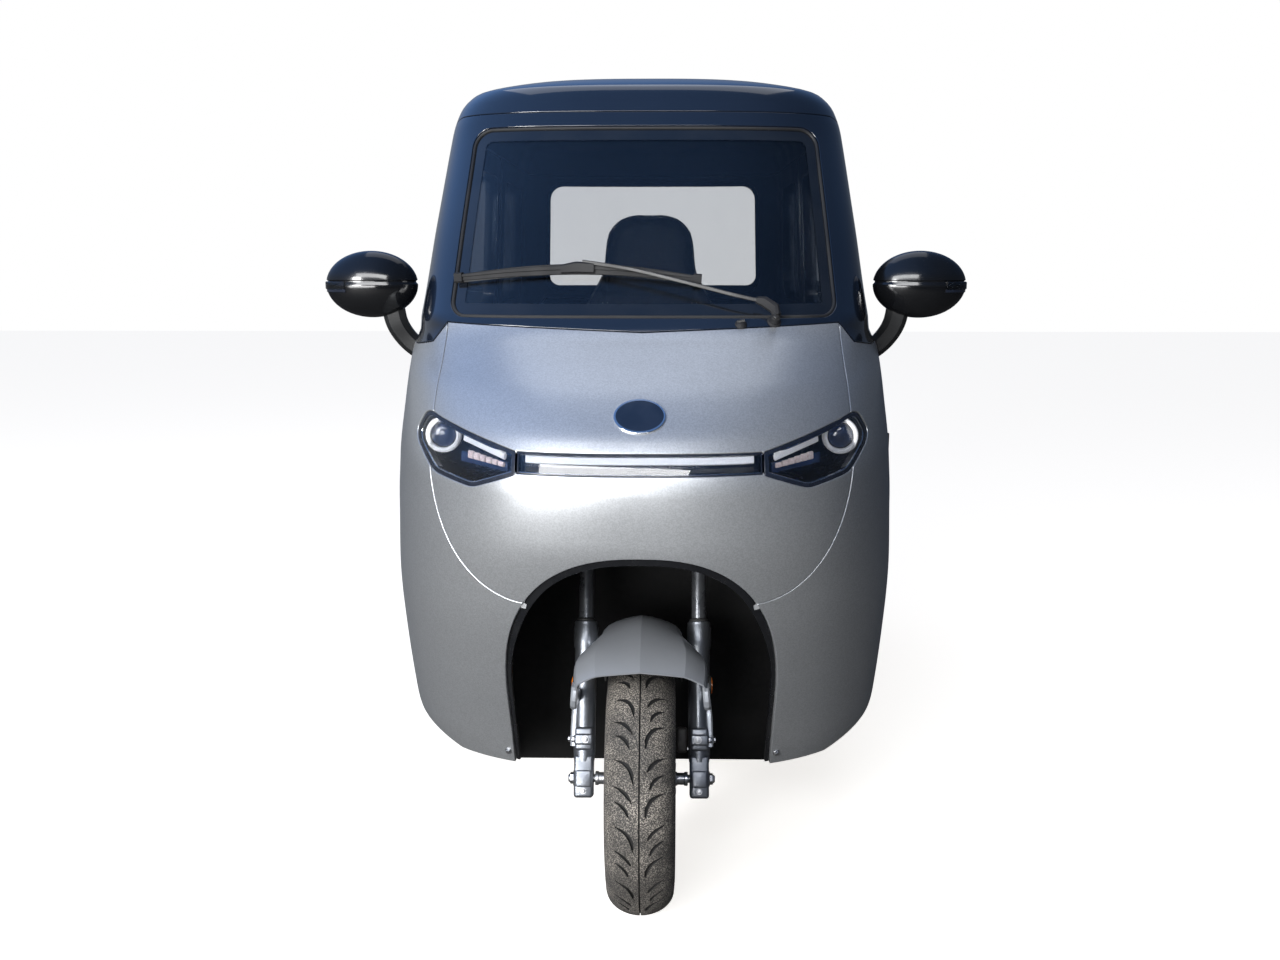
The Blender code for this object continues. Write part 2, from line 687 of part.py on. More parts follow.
roof_region = [
    Vector((LENGTH_REACH[0], HEADER_Z)),
    Vector((DOOR_FRONT + 0.040, HEADER_Z)),
    Vector((DOOR_FRONT + 0.190, DOOR_HEAD_Z)),
    Vector((LENGTH_REACH[1], DOOR_HEAD_Z)),
    Vector((LENGTH_REACH[1], HEIGHT_REACH[1])),
    Vector((LENGTH_REACH[0], HEIGHT_REACH[1])),
]
roof_cut = prism_cutter("roof_cut", grown(roof_region, half_seam), "X", *WIDTH_REACH)
roof_keep = prism_cutter("roof_keep", grown(roof_region, -half_seam), "X", *WIDTH_REACH)
ARCH_STEPS = 28
arch_turns = [math.tau * step / ARCH_STEPS for step in range(ARCH_STEPS)]
arch_arms = [Vector((math.cos(turn), math.sin(turn))) * REAR_ARCH_RADIUS for turn in arch_turns]
rear_arch = [Vector((WHEELBASE, AXLE_Z)) + arm for arm in arch_arms]
rear_arch_cut = prism_cutter("rear_arch_cut", rear_arch, "X", *WIDTH_REACH)


def block_cutter(name, stations, heights=HEIGHT_REACH, across=WIDTH_REACH):
    return add_object(name, box_mesh(name, across, stations, heights), None, cutters)


bumper_hole = (HEIGHT_REACH[0], BUMPER_Z + half_seam)
bumper_tall = (HEIGHT_REACH[0], BUMPER_Z - half_seam)
bumper_cut = block_cutter("bumper_cut", (BUMPER_STATION, REAR_REACH[1]), bumper_hole)
bumper_keep = block_cutter("bumper_keep", (BUMPER_STATION + SEAM, REAR_REACH[1]), bumper_tall)
front_span = block_cutter("front_span", (LENGTH_REACH[0], SIDE_SEAM - half_seam))
rear_span = block_cutter("rear_span", (SIDE_SEAM + half_seam, LENGTH_REACH[1]))
frame_front = block_cutter("frame_front", (LENGTH_REACH[0], DOOR_HEAD_FRONT + 0.095))
frame_rear = block_cutter("frame_rear", (DOOR_REAR - 0.110, LENGTH_REACH[1]))
SIDES = (("left", -1), ("right", 1))
side_cutters = {}
for side_name, sign in SIDES:
    reach = sorted(sign * x for x in SIDE_REACH)
    lamp_side = lamp if sign > 0 else mirrored(lamp)
    tail_side = tail_lamp if sign > 0 else mirrored(tail_lamp)
    # Each cutter's name, outline, axis and reach
    plans = (
        ("door_cut", door_hole, "X", reach),
        ("door_keep", door, "X", reach),
        ("window_cut", door_window, "X", reach),
        ("window_keep", grown(door_window, -FIT), "X", reach),
        ("quarter_cut", quarter_window, "X", reach),
        ("quarter_keep", grown(quarter_window, -FIT), "X", reach),
        ("lamp_cut", lamp_side, "Y", LAMP_REACH),
        ("lamp_keep", grown(lamp_side, -FIT), "Y", LAMP_REACH),
        ("tail_lamp_cut", tail_side, "Y", REAR_REACH),
        ("tail_lamp_keep", grown(tail_side, -FIT), "Y", REAR_REACH),
    )
    cut_at = {}
    for label, outline, axis, span in plans:
        cut_at[label] = prism_cutter(f"{label}_{side_name}", outline, axis, *span)
    half_span = sorted((sign * 0.001, sign * WIDTH_REACH[1]))
    cut_at["half"] = block_cutter(f"half_{side_name}", LENGTH_REACH, across=half_span)
    side_cutters[side_name] = cut_at

# Body panels
both_sides = [side_cutters[side_name] for side_name, sign in SIDES]
door_cuts = [cuts["door_cut"] for cuts in both_sides]
lamp_cuts = [cuts["lamp_cut"] for cuts in both_sides]
quarter_cuts = [cuts["quarter_cut"] for cuts in both_sides]
panel("nose_panel", outer_skin, WALL, SILVER_PAINT, [nose_keep], [arch_cut, bar_cut, *lamp_cuts])
screen_holes = [screen_cut, roof_cut, *door_cuts]
panel("windscreen_frame", outer_skin, WALL, BLACK_PAINT, [black_keep, frame_front], screen_holes)
rear_holes = [rear_glass_cut, roof_cut, *door_cuts, *quarter_cuts]
panel("rear_frame", outer_skin, WALL, BLACK_PAINT, [black_keep, frame_rear], rear_holes)
panel("roof_panel", outer_skin, WALL, BLACK_PAINT, [roof_keep])
panel("tail_panel", outer_skin, WALL, SILVER_PAINT, [tail_keep], [boot_cut, black_cut])
rear_bumper = panel("rear_bumper", outer_skin, WALL, SILVER_PAINT, [bumper_keep], [under_cut])
pad_stations = (PLATE_PAD_STATION - PLATE_PAD_WALL, PLATE_PAD_STATION)
plate_pad = block_cutter("plate_pad", pad_stations, PLATE_PAD_Z, (-PLATE_PAD_X, PLATE_PAD_X))
cut(rear_bumper, plate_pad, "UNION")
panel("boot_lid", outer_skin, WALL, SILVER_PAINT, [boot_keep])
panel("windscreen", glass_skin, GLASS_WALL, GLASS, [screen_keep])
panel("rear_window", glass_skin, GLASS_WALL, GLASS, [rear_glass_keep])
panel("light_bar", lamp_skin, LAMP_DEPTH, LAMP_LENS, [bar_keep])
for side_name, sign in SIDES:
    cuts = side_cutters[side_name]
    half_keep = cuts["half"]
    door_hole_cut = cuts["door_cut"]
    front_holes = [arch_cut, nose_cut, cuts["lamp_cut"], door_hole_cut, black_cut, under_cut]
    rear_holes = [door_hole_cut, black_cut, under_cut, rear_arch_cut]
    rear_holes += [tail_cut, bumper_cut, cuts["tail_lamp_cut"]]
    # Each piece's name, skin, wall, finish, what keeps it and what cuts it
    plans = (
        ("front_side", outer_skin, WALL, SILVER_PAINT, [half_keep, front_span], front_holes),
        ("rear_side", outer_skin, WALL, SILVER_PAINT, [half_keep, rear_span], rear_holes),
        ("door_panel", outer_skin, WALL, SILVER_PAINT, [cuts["door_keep"]], [cuts["window_cut"]]),
        ("door_glass", glass_skin, GLASS_WALL, GLASS, [cuts["window_keep"]], []),
        ("quarter_glass", glass_skin, GLASS_WALL, GLASS, [cuts["quarter_keep"]], []),
        ("headlamp", lamp_skin, LAMP_DEPTH, LAMP_LENS, [cuts["lamp_keep"]], []),
        ("tail_lamp", lamp_skin, LAMP_DEPTH, RED_LENS, [cuts["tail_lamp_keep"]], []),
    )
    for label, skin, thickness, surface, inside, outside in plans:
        panel(f"{label}_{side_name}", skin, thickness, surface, inside, outside)


# Hinges: a knuckle with its leaf on the body, and one on the moving panel
def knuckle(name, centre, direction, length, leaf_spans):
    """A barrel along the hinge line with the leaf that ties it to its panel."""
    work = bmesh.new()
    radii = {"radius1": HINGE_RADIUS, "radius2": HINGE_RADIUS}
    bmesh.ops.create_cone(work, cap_ends=True, segments=12, depth=length, **radii)
    turn = Vector((0, 0, 1)).rotation_difference(Vector(direction)).to_matrix().to_4x4()
    bmesh.ops.transform(work, matrix=Matrix.Translation(centre) @ turn, verts=work.verts)
    barrel = add_object(f"{name}_barrel", mesh_from(f"{name}_barrel", work, math.radians(35)), None, cutters)
    leaves = [
        add_object(f"{name}_leaf_{index}", box_mesh(f"{name}_leaf_{index}", *spans), None, cutters)
        for index, spans in enumerate(leaf_spans)
    ]
    return [barrel, *leaves]


def fuse_knuckle(owner, name, centre, direction, leaf_spans):
    for piece in knuckle(name, centre, direction, HINGE_LENGTH, leaf_spans):
        cut(bpy.data.objects[owner], piece, "UNION")


def leaf_height(middle):
    return (middle - HINGE_LENGTH / 2 + LEAF_TRIM, middle + HINGE_LENGTH / 2 - LEAF_TRIM)


half_hinge = (HINGE_LENGTH + FIT) / 2
for side_name, sign in SIDES:
    for index, height in enumerate(DOOR_HINGE_HEIGHTS):
        face = sign * (DOOR_HINGE_X + LEAF_PROUD)
        block_x = sorted((sign * (DOOR_HINGE_X - LEAF_BLOCK), face))
        plate_x = sorted((sign * (DOOR_HINGE_X - LEAF_SKIN), face))
        body_block = (DOOR_HINGE_STATION - LEAF_REACH, DOOR_HINGE_STATION)
        door_block = (DOOR_FRONT + LEAF_TRIM, DOOR_HINGE_STATION + LEAF_REACH)
        door_plate = (DOOR_HINGE_STATION, DOOR_HINGE_STATION + LEAF_REACH)
        low, high = height - half_hinge, height + half_hinge
        axis_at = (sign * DOOR_HINGE_X, station_y(DOOR_HINGE_STATION))
        body_leaf = [(block_x, body_block, leaf_height(low))]
        door_leaves = [(block_x, door_block, leaf_height(high)), (plate_x, door_plate, leaf_height(high))]
        body_name, door_name = f"front_side_{side_name}", f"door_panel_{side_name}"
        fuse_knuckle(body_name, f"{body_name}_{index}", (*axis_at, low), (0, 0, 1), body_leaf)
        fuse_knuckle(door_name, f"{door_name}_{index}", (*axis_at, high), (0, 0, 1), door_leaves)
# The lid's hinges: owner, which half, how far in the leaf starts, and its lower and upper edge
BOOT_LEAVES = (
    ("tail_panel", -1, -0.022, 0.0, 0.024),
    ("boot_lid", 1, -HINGE_RADIUS, -0.056, 0.0),
)
for side_name, sign in SIDES:
    for owner, half, inward, low, high in BOOT_LEAVES:
        middle = sign * (BOOT_HINGE_X + half * half_hinge)
        deep = (BOOT_HINGE[0] + inward, BOOT_HINGE[0] + 0.005)
        leaf = [(leaf_height(middle), deep, (BOOT_HINGE[1] + low, BOOT_HINGE[1] + high))]
        centre = (middle, station_y(BOOT_HINGE[0]), BOOT_HINGE[1])
        fuse_knuckle(owner, f"{owner}_{side_name}", centre, (1, 0, 0), leaf)

# Blank oval plaque on the nose
OVAL_STEPS = 24
oval = []
for step in range(OVAL_STEPS):
    angle = math.tau * step / OVAL_STEPS
    oval.append(Vector((BADGE_SIZE[0] / 2 * math.cos(angle), BADGE_Z + BADGE_SIZE[1] / 2 * math.sin(angle))))
oval_keep = prism_cutter("oval_keep", oval, "Y", *BAR_REACH)
panel("nose_plaque", badge_skin, BADGE_RISE - FIT, CAST_ALLOY, [oval_keep])

# Floor, luggage deck and dashboard, trimmed to the inside of the panels
floor_span = (BULKHEAD_STATION - DASH_WALL, FLOOR_REAR)
floor_box = box_mesh("floor_pan", WIDTH_REACH, floor_span, (FLOOR_Z, FLOOR_Z + FLOOR_WALL))
keep(add_object("floor_pan", floor_box, BLACK_PLASTIC), cabin_inside)
floor_top = FLOOR_Z + FLOOR_WALL + FIT
deck_profile = [
    Vector((FLOOR_REAR + FIT, floor_top)),
    Vector((FLOOR_REAR + FIT, DECK_Z)),
    Vector((LENGTH_REACH[1], DECK_Z)),
    Vector((LENGTH_REACH[1], DECK_Z - DECK_WALL)),
    Vector((FLOOR_REAR + FIT + DECK_WALL, DECK_Z - DECK_WALL)),
    Vector((FLOOR_REAR + FIT + DECK_WALL, floor_top)),
]
deck_mesh = prism_mesh("luggage_deck", deck_profile, "X", *WIDTH_REACH)
keep(add_object("luggage_deck", deck_mesh, BLACK_PLASTIC), cabin_inside)
dash_outer = [Vector(point) for point in DASH_PROFILE] + [Vector((BULKHEAD_STATION, floor_top))]
dash_inner = [Vector((BULKHEAD_STATION - DASH_WALL, floor_top))]
dash_inner += [Vector((a - DASH_WALL * 0.6, b - DASH_WALL)) for a, b in reversed(DASH_PROFILE)]
dash_mesh = prism_mesh("dash_panel", dash_outer + dash_inner, "X", *WIDTH_REACH)
dash = keep(add_object("dash_panel", dash_mesh, GREY_PLASTIC), cabin_inside)

# Steering frame: where the fork's own frame stands in the world
fork_foot = Vector((0, station_y(FORK_OFFSET * math.cos(RAKE)), AXLE_Z - FORK_OFFSET * math.sin(RAKE)))
FORK = Matrix.Translation(fork_foot) @ Matrix.Rotation(-RAKE, 4, "X")
AXLE = Matrix.Translation((0, station_y(0), AXLE_Z)) @ Matrix.Rotation(math.pi / 2, 4, "Y")


def fork_rod(name, x, y, low, high, radius, surface=None, home=cutters, sides=24):
    """A cylinder along the steering axis, placed in the fork's own frame."""
    work = bmesh.new()
    radii = {"radius1": radius, "radius2": radius}
    bmesh.ops.create_cone(work, cap_ends=True, segments=sides, depth=high - low, **radii)
    place = FORK @ Matrix.Translation((x, y, (low + high) / 2))
    bmesh.ops.transform(work, matrix=place, verts=work.verts)
    return add_object(name, mesh_from(name, work, math.radians(35)), surface, home)


def fork_box(name, x_span, y_span, z_span, surface=None, home=cutters):
    work = bmesh.new()
    bmesh.ops.create_cube(work, size=1.0)
    spans = (x_span, y_span, z_span)
    size = Matrix.Diagonal([high - low for low, high in spans] + [1])
    centre = Matrix.Translation([(high + low) / 2 for low, high in spans])
    bmesh.ops.transform(work, matrix=FORK @ centre @ size, verts=work.verts)
    return add_object(name, mesh_from(name, work, math.radians(35)), surface, home)


stem_way = fork_rod("stem_way", 0, 0, HEAD_Z + HEAD_LENGTH + 0.020, STEM_TOP, STEM_RADIUS + MOVING_GAP)
cut(dash, stem_way)

# Wheel arch liner: a tunnel over the wheel with a rear wall
liner_work = bmesh.new()
liner_rows = []
for station, half, top, bottom in LINER_SECTIONS:
    points = arch_outline(half, ARCH_SPRING_Z, top, bottom)
    liner_rows.append([liner_work.verts.new((x, station_y(station), z)) for x, z in points])
for front_row, rear_row in zip(liner_rows, liner_rows[1:]):
    for index in range(len(front_row) - 1):
        corners = (front_row[index], rear_row[index], rear_row[index + 1], front_row[index + 1])
        liner_work.faces.new(corners)
liner_work.faces.new(liner_rows[-1])
bmesh.ops.recalc_face_normals(liner_work, faces=liner_work.faces)
liner_mesh = mesh_from("wheel_arch_liner", liner_work, math.radians(35))
liner = add_object("wheel_arch_liner", liner_mesh, BLACK_PLASTIC)
liner_wall = liner.modifiers.new("wall", "SOLIDIFY")
liner_wall.thickness = LINER_WALL
liner_wall.offset = 1
liner_wall.use_even_offset = True
keep(liner, cabin_inside)
cut(liner, fork_rod("head_way", 0, 0, HEAD_Z - 0.020, HEAD_Z + HEAD_LENGTH + 0.040, HEAD_RADIUS + FIT))

# Chassis frame: two rails, cross tubes, a down tube and the steering head
rails = []
for side_name, sign in SIDES:
    rail_points = [(sign * RAIL_X, station_y(station), z) for station, z in RAIL_PATH]
    rails.append(tube(f"rail_{side_name}", rail_points, RAIL_RADIUS, BLACK_STEEL))
crosses = []
for index, (station, z) in enumerate(CROSS_TUBES):
    cross_points = [(sign * RAIL_X, station_y(station), z) for sign in (-1, 1)]
    crosses.append(tube(f"cross_{index}", cross_points, CROSS_RADIUS, BLACK_STEEL))
head_back = FORK @ Vector((0, HEAD_RADIUS * 0.6, HEAD_Z + HEAD_LENGTH * 0.75))
down_station = (LINER_SECTIONS[-1][0] + LINER_WALL + BULKHEAD_STATION - DASH_WALL) / 2
down_points = [
    head_back,
    (0, station_y(down_station), head_back.z - 0.010),
    (0, station_y(down_station), CROSS_TUBES[0][1]),
    (0, station_y(CROSS_TUBES[0][0]), CROSS_TUBES[0][1]),
]
down_tube = tube("down_tube", down_points, DOWN_TUBE_RADIUS, BLACK_STEEL)
head_tube = fork_rod("head_tube", 0, 0, HEAD_Z, HEAD_Z + HEAD_LENGTH, HEAD_RADIUS, BLACK_STEEL, parts)
chassis = united("chassis_frame", [*rails, *crosses, down_tube, head_tube], BLACK_STEEL)
head_bore_radius = STEM_RADIUS + HEAD_PLAY
cut(chassis, fork_rod("head_bore", 0, 0, HEAD_Z - 0.05, HEAD_Z + HEAD_LENGTH + 0.05, head_bore_radius))

# Traction battery: one plain block hung under the floor between the rails
battery_span = (
    CROSS_TUBES[0][0] + CROSS_RADIUS + BATTERY_GAP,
    CROSS_TUBES[1][0] - CROSS_RADIUS - BATTERY_GAP,
)
battery_tall = (BATTERY_BOTTOM, FLOOR_Z - FIT)
battery_mesh = box_mesh("battery_box", (-BATTERY_X, BATTERY_X), battery_span, battery_tall, 0.008)
add_object("battery_box", battery_mesh, BLACK_PLASTIC)

# Fork: crown with stem and upper tubes, over two lower legs
crown_top = CROWN_Z + CROWN_HEIGHT
pieces = [
    fork_box("crown", (-CROWN_HALF, CROWN_HALF), CROWN_DEPTH, (CROWN_Z, crown_top), BLACK_STEEL, parts),
    fork_rod("stem", 0, 0, CROWN_Z + CROWN_SINK, STEM_TOP, STEM_RADIUS, BLACK_STEEL, parts),
]
for side_name, sign in SIDES:
    foot = LEG_TOP - TUBE_ENTRY + FIT
    head = crown_top - CROWN_SINK
    label = f"tube_{side_name}"
    pieces.append(fork_rod(label, sign * LEG_X, -FORK_OFFSET, foot, head, TUBE_RADIUS, BLACK_STEEL, parts))
united("fork_crown", pieces, BLACK_STEEL)
leg_profile = [
    (LEG_RADIUS, LEG_TOP),
    (LEG_RADIUS, LEG_BOTTOM + 0.006),
    (LEG_RADIUS - 0.005, LEG_BOTTOM),
    (0, LEG_BOTTOM),
    (0, LEG_TOP - TUBE_ENTRY),
    (TUBE_RADIUS + FIT, LEG_TOP - TUBE_ENTRY),
    (TUBE_RADIUS + FIT, LEG_TOP),
]


def axle_rod(name, half_length, radius, home=cutters, surface=None, sides=24, x=0.0):
    work = bmesh.new()
    radii = {"radius1": radius, "radius2": radius}
    bmesh.ops.create_cone(work, cap_ends=True, segments=sides, depth=2 * half_length, **radii)
    bmesh.ops.transform(work, matrix=Matrix.Translation((x, 0, 0)) @ AXLE, verts=work.verts)
    return add_object(name, mesh_from(name, work, math.radians(35)), surface, home)


axle_hole = axle_rod("axle_hole", 0.200, AXLE_RADIUS + FIT)
for side_name, sign in SIDES:
    leg = turned(f"fork_leg_{side_name}", leg_profile, CAST_ALLOY, 24)
    leg.matrix_world = FORK @ Matrix.Translation((sign * LEG_X, -FORK_OFFSET, 0))
    cut(leg, axle_hole)
collar_end = LEG_X - LEG_RADIUS - FIT
axle_end = LEG_X + LEG_RADIUS + AXLE_NUT
hub_side = HUB_HALF + HUB_PLAY
axle_profile = [
    (0, axle_end),
    (AXLE_RADIUS, axle_end),
    (AXLE_RADIUS, collar_end),
    (COLLAR_RADIUS, collar_end),
    (COLLAR_RADIUS, hub_side),
    (AXLE_RADIUS, hub_side),
    (AXLE_RADIUS, -hub_side),
    (COLLAR_RADIUS, -hub_side),
    (COLLAR_RADIUS, -collar_end),
    (AXLE_RADIUS, -collar_end),
    (AXLE_RADIUS, -axle_end),
    (0, -axle_end),
]
front_axle = turned("front_axle", axle_profile, BARE_STEEL, 12)
front_axle.matrix_world = AXLE

# Front fender: a faceted section swept round the axle
fender_work = bmesh.new()
fender_start, fender_end = FENDER_ARC
half_section = [(x, radius) for x, radius in FENDER_PROFILE]
section = [(-x, radius) for x, radius in reversed(half_section[1:])] + half_section
start_way = Vector((0, -math.sin(fender_start), math.cos(fender_start)))
wheel_centre = Vector((0, station_y(0), AXLE_Z))
start_places = [wheel_centre + start_way * radius + Vector((x, 0, 0)) for x, radius in section]
start_points = [fender_work.verts.new(place) for place in start_places]
start_edges = [fender_work.edges.new(pair) for pair in zip(start_points, start_points[1:])]
bmesh.ops.spin(
    fender_work,
    geom=start_points + start_edges,
    cent=wheel_centre,
    axis=(1, 0, 0),
    angle=fender_end - fender_start,
    steps=10,
)
bmesh.ops.recalc_face_normals(fender_work, faces=fender_work.faces)
fender = add_object("front_fender", mesh_from("front_fender", fender_work, math.radians(12)), SILVER_PAINT)
fender_wall = fender.modifiers.new("wall", "SOLIDIFY")
fender_wall.thickness = FENDER_WALL
fender_wall.offset = -1
fender_wall.use_even_offset = True
for side_name, sign in SIDES:
    notch = fork_rod(f"notch_{side_name}", sign * LEG_X, -FORK_OFFSET, 0.150, 0.400, LEG_RADIUS + FIT)
    cut(fender, notch)

# Handlebar on the stem's top, with rubber grips
bar_half = [Vector((x, y, STEM_TOP + BAR_RADIUS + FIT + z)) for x, y, z in BAR_POINTS]
bar_path = bar_half + [Vector((-p.x, p.y, p.z)) for p in reversed(bar_half)]
clamp_span = (STEM_TOP + FIT, STEM_TOP + 2 * BAR_RADIUS + 0.006)
bar_pieces = [
    fork_box("clamp", (-0.034, 0.034), (-0.018, 0.018), clamp_span, BLACK_STEEL, parts),
    tube("bar", [FORK @ point for point in bar_path], BAR_RADIUS, BLACK_STEEL),
]
for side_name, sign in SIDES:
    outer, inner = [Vector((sign * p.x, p.y, p.z)) for p in bar_half[:2]]
    along = (outer - inner).normalized()
    ends = [FORK @ (outer - along * GRIP_LENGTH), FORK @ (outer + along * 0.004)]
    bar_pieces.append(tube(f"grip_{side_name}", ends, GRIP_RADIUS, BLACK_PLASTIC))
united("handlebar", bar_pieces, BLACK_PLASTIC)

# Wheels
tyre_half = TYRE_WIDTH / 2
bead_half = 0.044
tyre_half_profile = [
    (TYRE_RADIUS, 0.012),
    (TYRE_RADIUS - 0.005, 0.033),
    (TYRE_RADIUS - 0.018, 0.051),
    (TYRE_RADIUS - 0.042, tyre_half),
    (RIM_RADIUS + 0.0065, 0.052),
    (RIM_RADIUS + 0.0065, bead_half),
    (RIM_RADIUS, bead_half),
]
tyre_profile = [(r, x) for r, x in reversed(tyre_half_profile)] + [(r, -x) for r, x in tyre_half_profile]
rim_outer = RIM_RADIUS - FIT
rim_lip = RIM_RADIUS + 0.006
rim_low = [
    (rim_lip, -bead_half - FIT),
    (rim_lip, -0.050),
    (0.148, -0.050),
    (0.130, -0.020),
    (0.128, -WEB_HALF),
    (HUB_RADIUS + 0.006, -WEB_HALF - 0.004),
    (HUB_RADIUS - 0.002, -HUB_HALF),
]
rim_outside = [(rim_outer, -bead_half - FIT), (0.140, -0.022)]
hub_bore = AXLE_RADIUS + AXLE_PLAY
rim_window = rounded(
    [(0.066, -0.012, 0.008), (0.122, -0.034, 0.012), (0.122, 0.034, 0.012), (0.066, 0.012, 0.008)], 1
)


def wheel_pieces(label, x, station, bore):
    """Tyre and cast rim on one axis, centred at x and a station."""
    place = Matrix.Translation((x, station_y(station), AXLE_Z)) @ Matrix.Rotation(math.pi / 2, 4, "Y")
    tyre = turned(f"{label}_tyre", tyre_profile, TYRE_RUBBER, WHEEL_STEPS)
    tyre.matrix_world = place
    low_side = list(reversed(rim_outside)) + rim_low + [(bore, -HUB_HALF)]
    profile = low_side + [(r, -x) for r, x in reversed(low_side)]
    rim = turned(f"{label}_rim", profile, CAST_ALLOY, WHEEL_STEPS)
    rim.matrix_world = place
    windows = bmesh.new()
    for index in range(RIM_WINDOWS):
        turn = Matrix.Rotation(math.tau * index / RIM_WINDOWS, 4, "Z")
        face = windows.faces.new([windows.verts.new(turn @ Vector((a, b, -0.020))) for a, b in rim_window])
        raised = bmesh.ops.extrude_face_region(windows, geom=[face])["geom"]
        tops = [item for item in raised if isinstance(item, bmesh.types.BMVert)]
        bmesh.ops.translate(windows, verts=tops, vec=(0, 0, 0.040))
    bmesh.ops.recalc_face_normals(windows, faces=windows.faces)
    cutter = add_object(f"{label}_windows", mesh_from(f"{label}_windows", windows), None, cutters)
    cutter.matrix_world = place
    cut(rim, cutter)
    return tyre, rim


wheel_pieces("front", 0, 0, hub_bore)
disc_profile = [
    (DISC_RADIUS, HUB_HALF + FIT + DISC_WALL),
    (DISC_RADIUS, HUB_HALF + FIT),
    (DISC_BORE, HUB_HALF + FIT),
    (DISC_BORE, HUB_HALF + FIT + DISC_WALL),
]
disc = turned("brake_disc", disc_profile, BARE_STEEL, 32)
disc.matrix_world = AXLE
caliper_x = (HUB_HALF - CALIPER_REACH, LEG_X - LEG_RADIUS - FIT)
caliper = fork_box("brake_caliper", caliper_x, CALIPER_DEPTH, CALIPER_TALL, BLACK_STEEL, parts)
disc_middle = HUB_HALF + FIT + DISC_WALL / 2
caliper_way = axle_rod("caliper_way", DISC_WALL / 2 + PAD_GAP, DISC_RADIUS + DISC_PLAY, x=disc_middle)
cut(caliper, caliper_way)

# Rear axle: turned tube with the motor housing, brake back plates and stub ends, on two trailing arms
STUB_RADIUS = 0.0095
DRUM_RADIUS = 0.074
AXLE_TUBE_RADIUS = 0.026
MOTOR_RADIUS = 0.096
HUB_GAP = 0.002
ARM_X = 0.200
ARM_RADIUS = 0.016
wheel_x = REAR_TRACK / 2
stub_end = wheel_x + HUB_HALF - HUB_GAP
drum_face = wheel_x - HUB_HALF - HUB_GAP
rear_profile_half = [
    (0, stub_end),
    (STUB_RADIUS, stub_end),
    (STUB_RADIUS, drum_face),
    (DRUM_RADIUS - 0.004, drum_face),
    (DRUM_RADIUS, drum_face - 0.008),
    (DRUM_RADIUS, drum_face - 0.024),
    (AXLE_TUBE_RADIUS + 0.002, drum_face - 0.038),
    (AXLE_TUBE_RADIUS, 0.135),
    (MOTOR_RADIUS - 0.014, 0.085),
    (MOTOR_RADIUS, 0.060),
]
rear_profile = rear_profile_half + [(r, -x) for r, x in reversed(rear_profile_half)]
axle_tube = turned("axle_tube", rear_profile, BLACK_STEEL, 16)
REAR_AXLE = Matrix.Translation((0, station_y(WHEELBASE), AXLE_Z)) @ Matrix.Rotation(math.pi / 2, 4, "Y")
axle_tube.matrix_world = REAR_AXLE
arm_front = CROSS_TUBES[1][0] + CROSS_RADIUS + FIT
arms = []
for side_name, sign in SIDES:
    front_end = (sign * ARM_X, station_y(arm_front), CROSS_TUBES[1][1])
    rear_end = (sign * ARM_X, station_y(WHEELBASE), AXLE_Z)
    arms.append(tube(f"arm_{side_name}", [front_end, rear_end], ARM_RADIUS, BLACK_STEEL))
bpy.context.view_layer.update()
united("rear_axle", [axle_tube, *arms], BLACK_STEEL)
for side_name, sign in SIDES:
    wheel_pieces(f"rear_{side_name}", sign * wheel_x, WHEELBASE, STUB_RADIUS + AXLE_PLAY)

# Rear spring units, standing on the axle tube under the rails
COILS = 5
COIL_RADIUS = 0.026
DAMPER_RADIUS = 0.018
SPRING_CUP = (0.020, 0.018)
spring_foot = AXLE_Z + AXLE_TUBE_RADIUS + 5 * FIT
spring_head = RAIL_HIGH_Z - RAIL_RADIUS - FIT
cup_radius, cup_height = SPRING_CUP
coil_pitch = (spring_head - spring_foot - 2 * cup_height - 0.004) / COILS
spring_profile = [(0, spring_head), (cup_radius, spring_head), (cup_radius, spring_head - cup_height)]
for coil in range(COILS):
    coil_top = spring_head - cup_height - 0.002 - coil * coil_pitch
    coil_foot = coil_top - coil_pitch * 0.45
    spring_profile += [(COIL_RADIUS, coil_top), (COIL_RADIUS, coil_foot)]
    spring_profile.append((DAMPER_RADIUS, coil_top - coil_pitch * 0.7))
spring_profile += [(DAMPER_RADIUS, spring_foot + cup_height), (DAMPER_RADIUS, spring_foot), (0, spring_foot)]
for side_name, sign in SIDES:
    spring = turned(f"rear_spring_{side_name}", spring_profile, BARE_STEEL, 10)
    spring.matrix_world = Matrix.Translation((sign * RAIL_X, station_y(WHEELBASE), 0))

# Driver's seat: box, cushion and a back with its head rest
seat_box_tall = (floor_top, SEAT_BOX_TOP)
seat_box = box_mesh("seat_box", (-SEAT_BOX_X, SEAT_BOX_X), (SEAT_STATION, SEAT_REAR), seat_box_tall, 0.010)
add_object("seat_box", seat_box, BLACK_PLASTIC)
CUSHION_X = 0.225
CUSHION_SPAN = (SEAT_STATION - 0.020, SEAT_STATION + 0.320)
CUSHION_BEVEL = 0.030
cushion_foot = SEAT_BOX_TOP + FIT
cushion_top = cushion_foot + CUSHION_WALL
cushion_tall = (cushion_foot, cushion_top)
cushion = box_mesh("seat_cushion", (-CUSHION_X, CUSHION_X), CUSHION_SPAN, cushion_tall, CUSHION_BEVEL)
add_object("seat_cushion", cushion, SEAT_COVER)
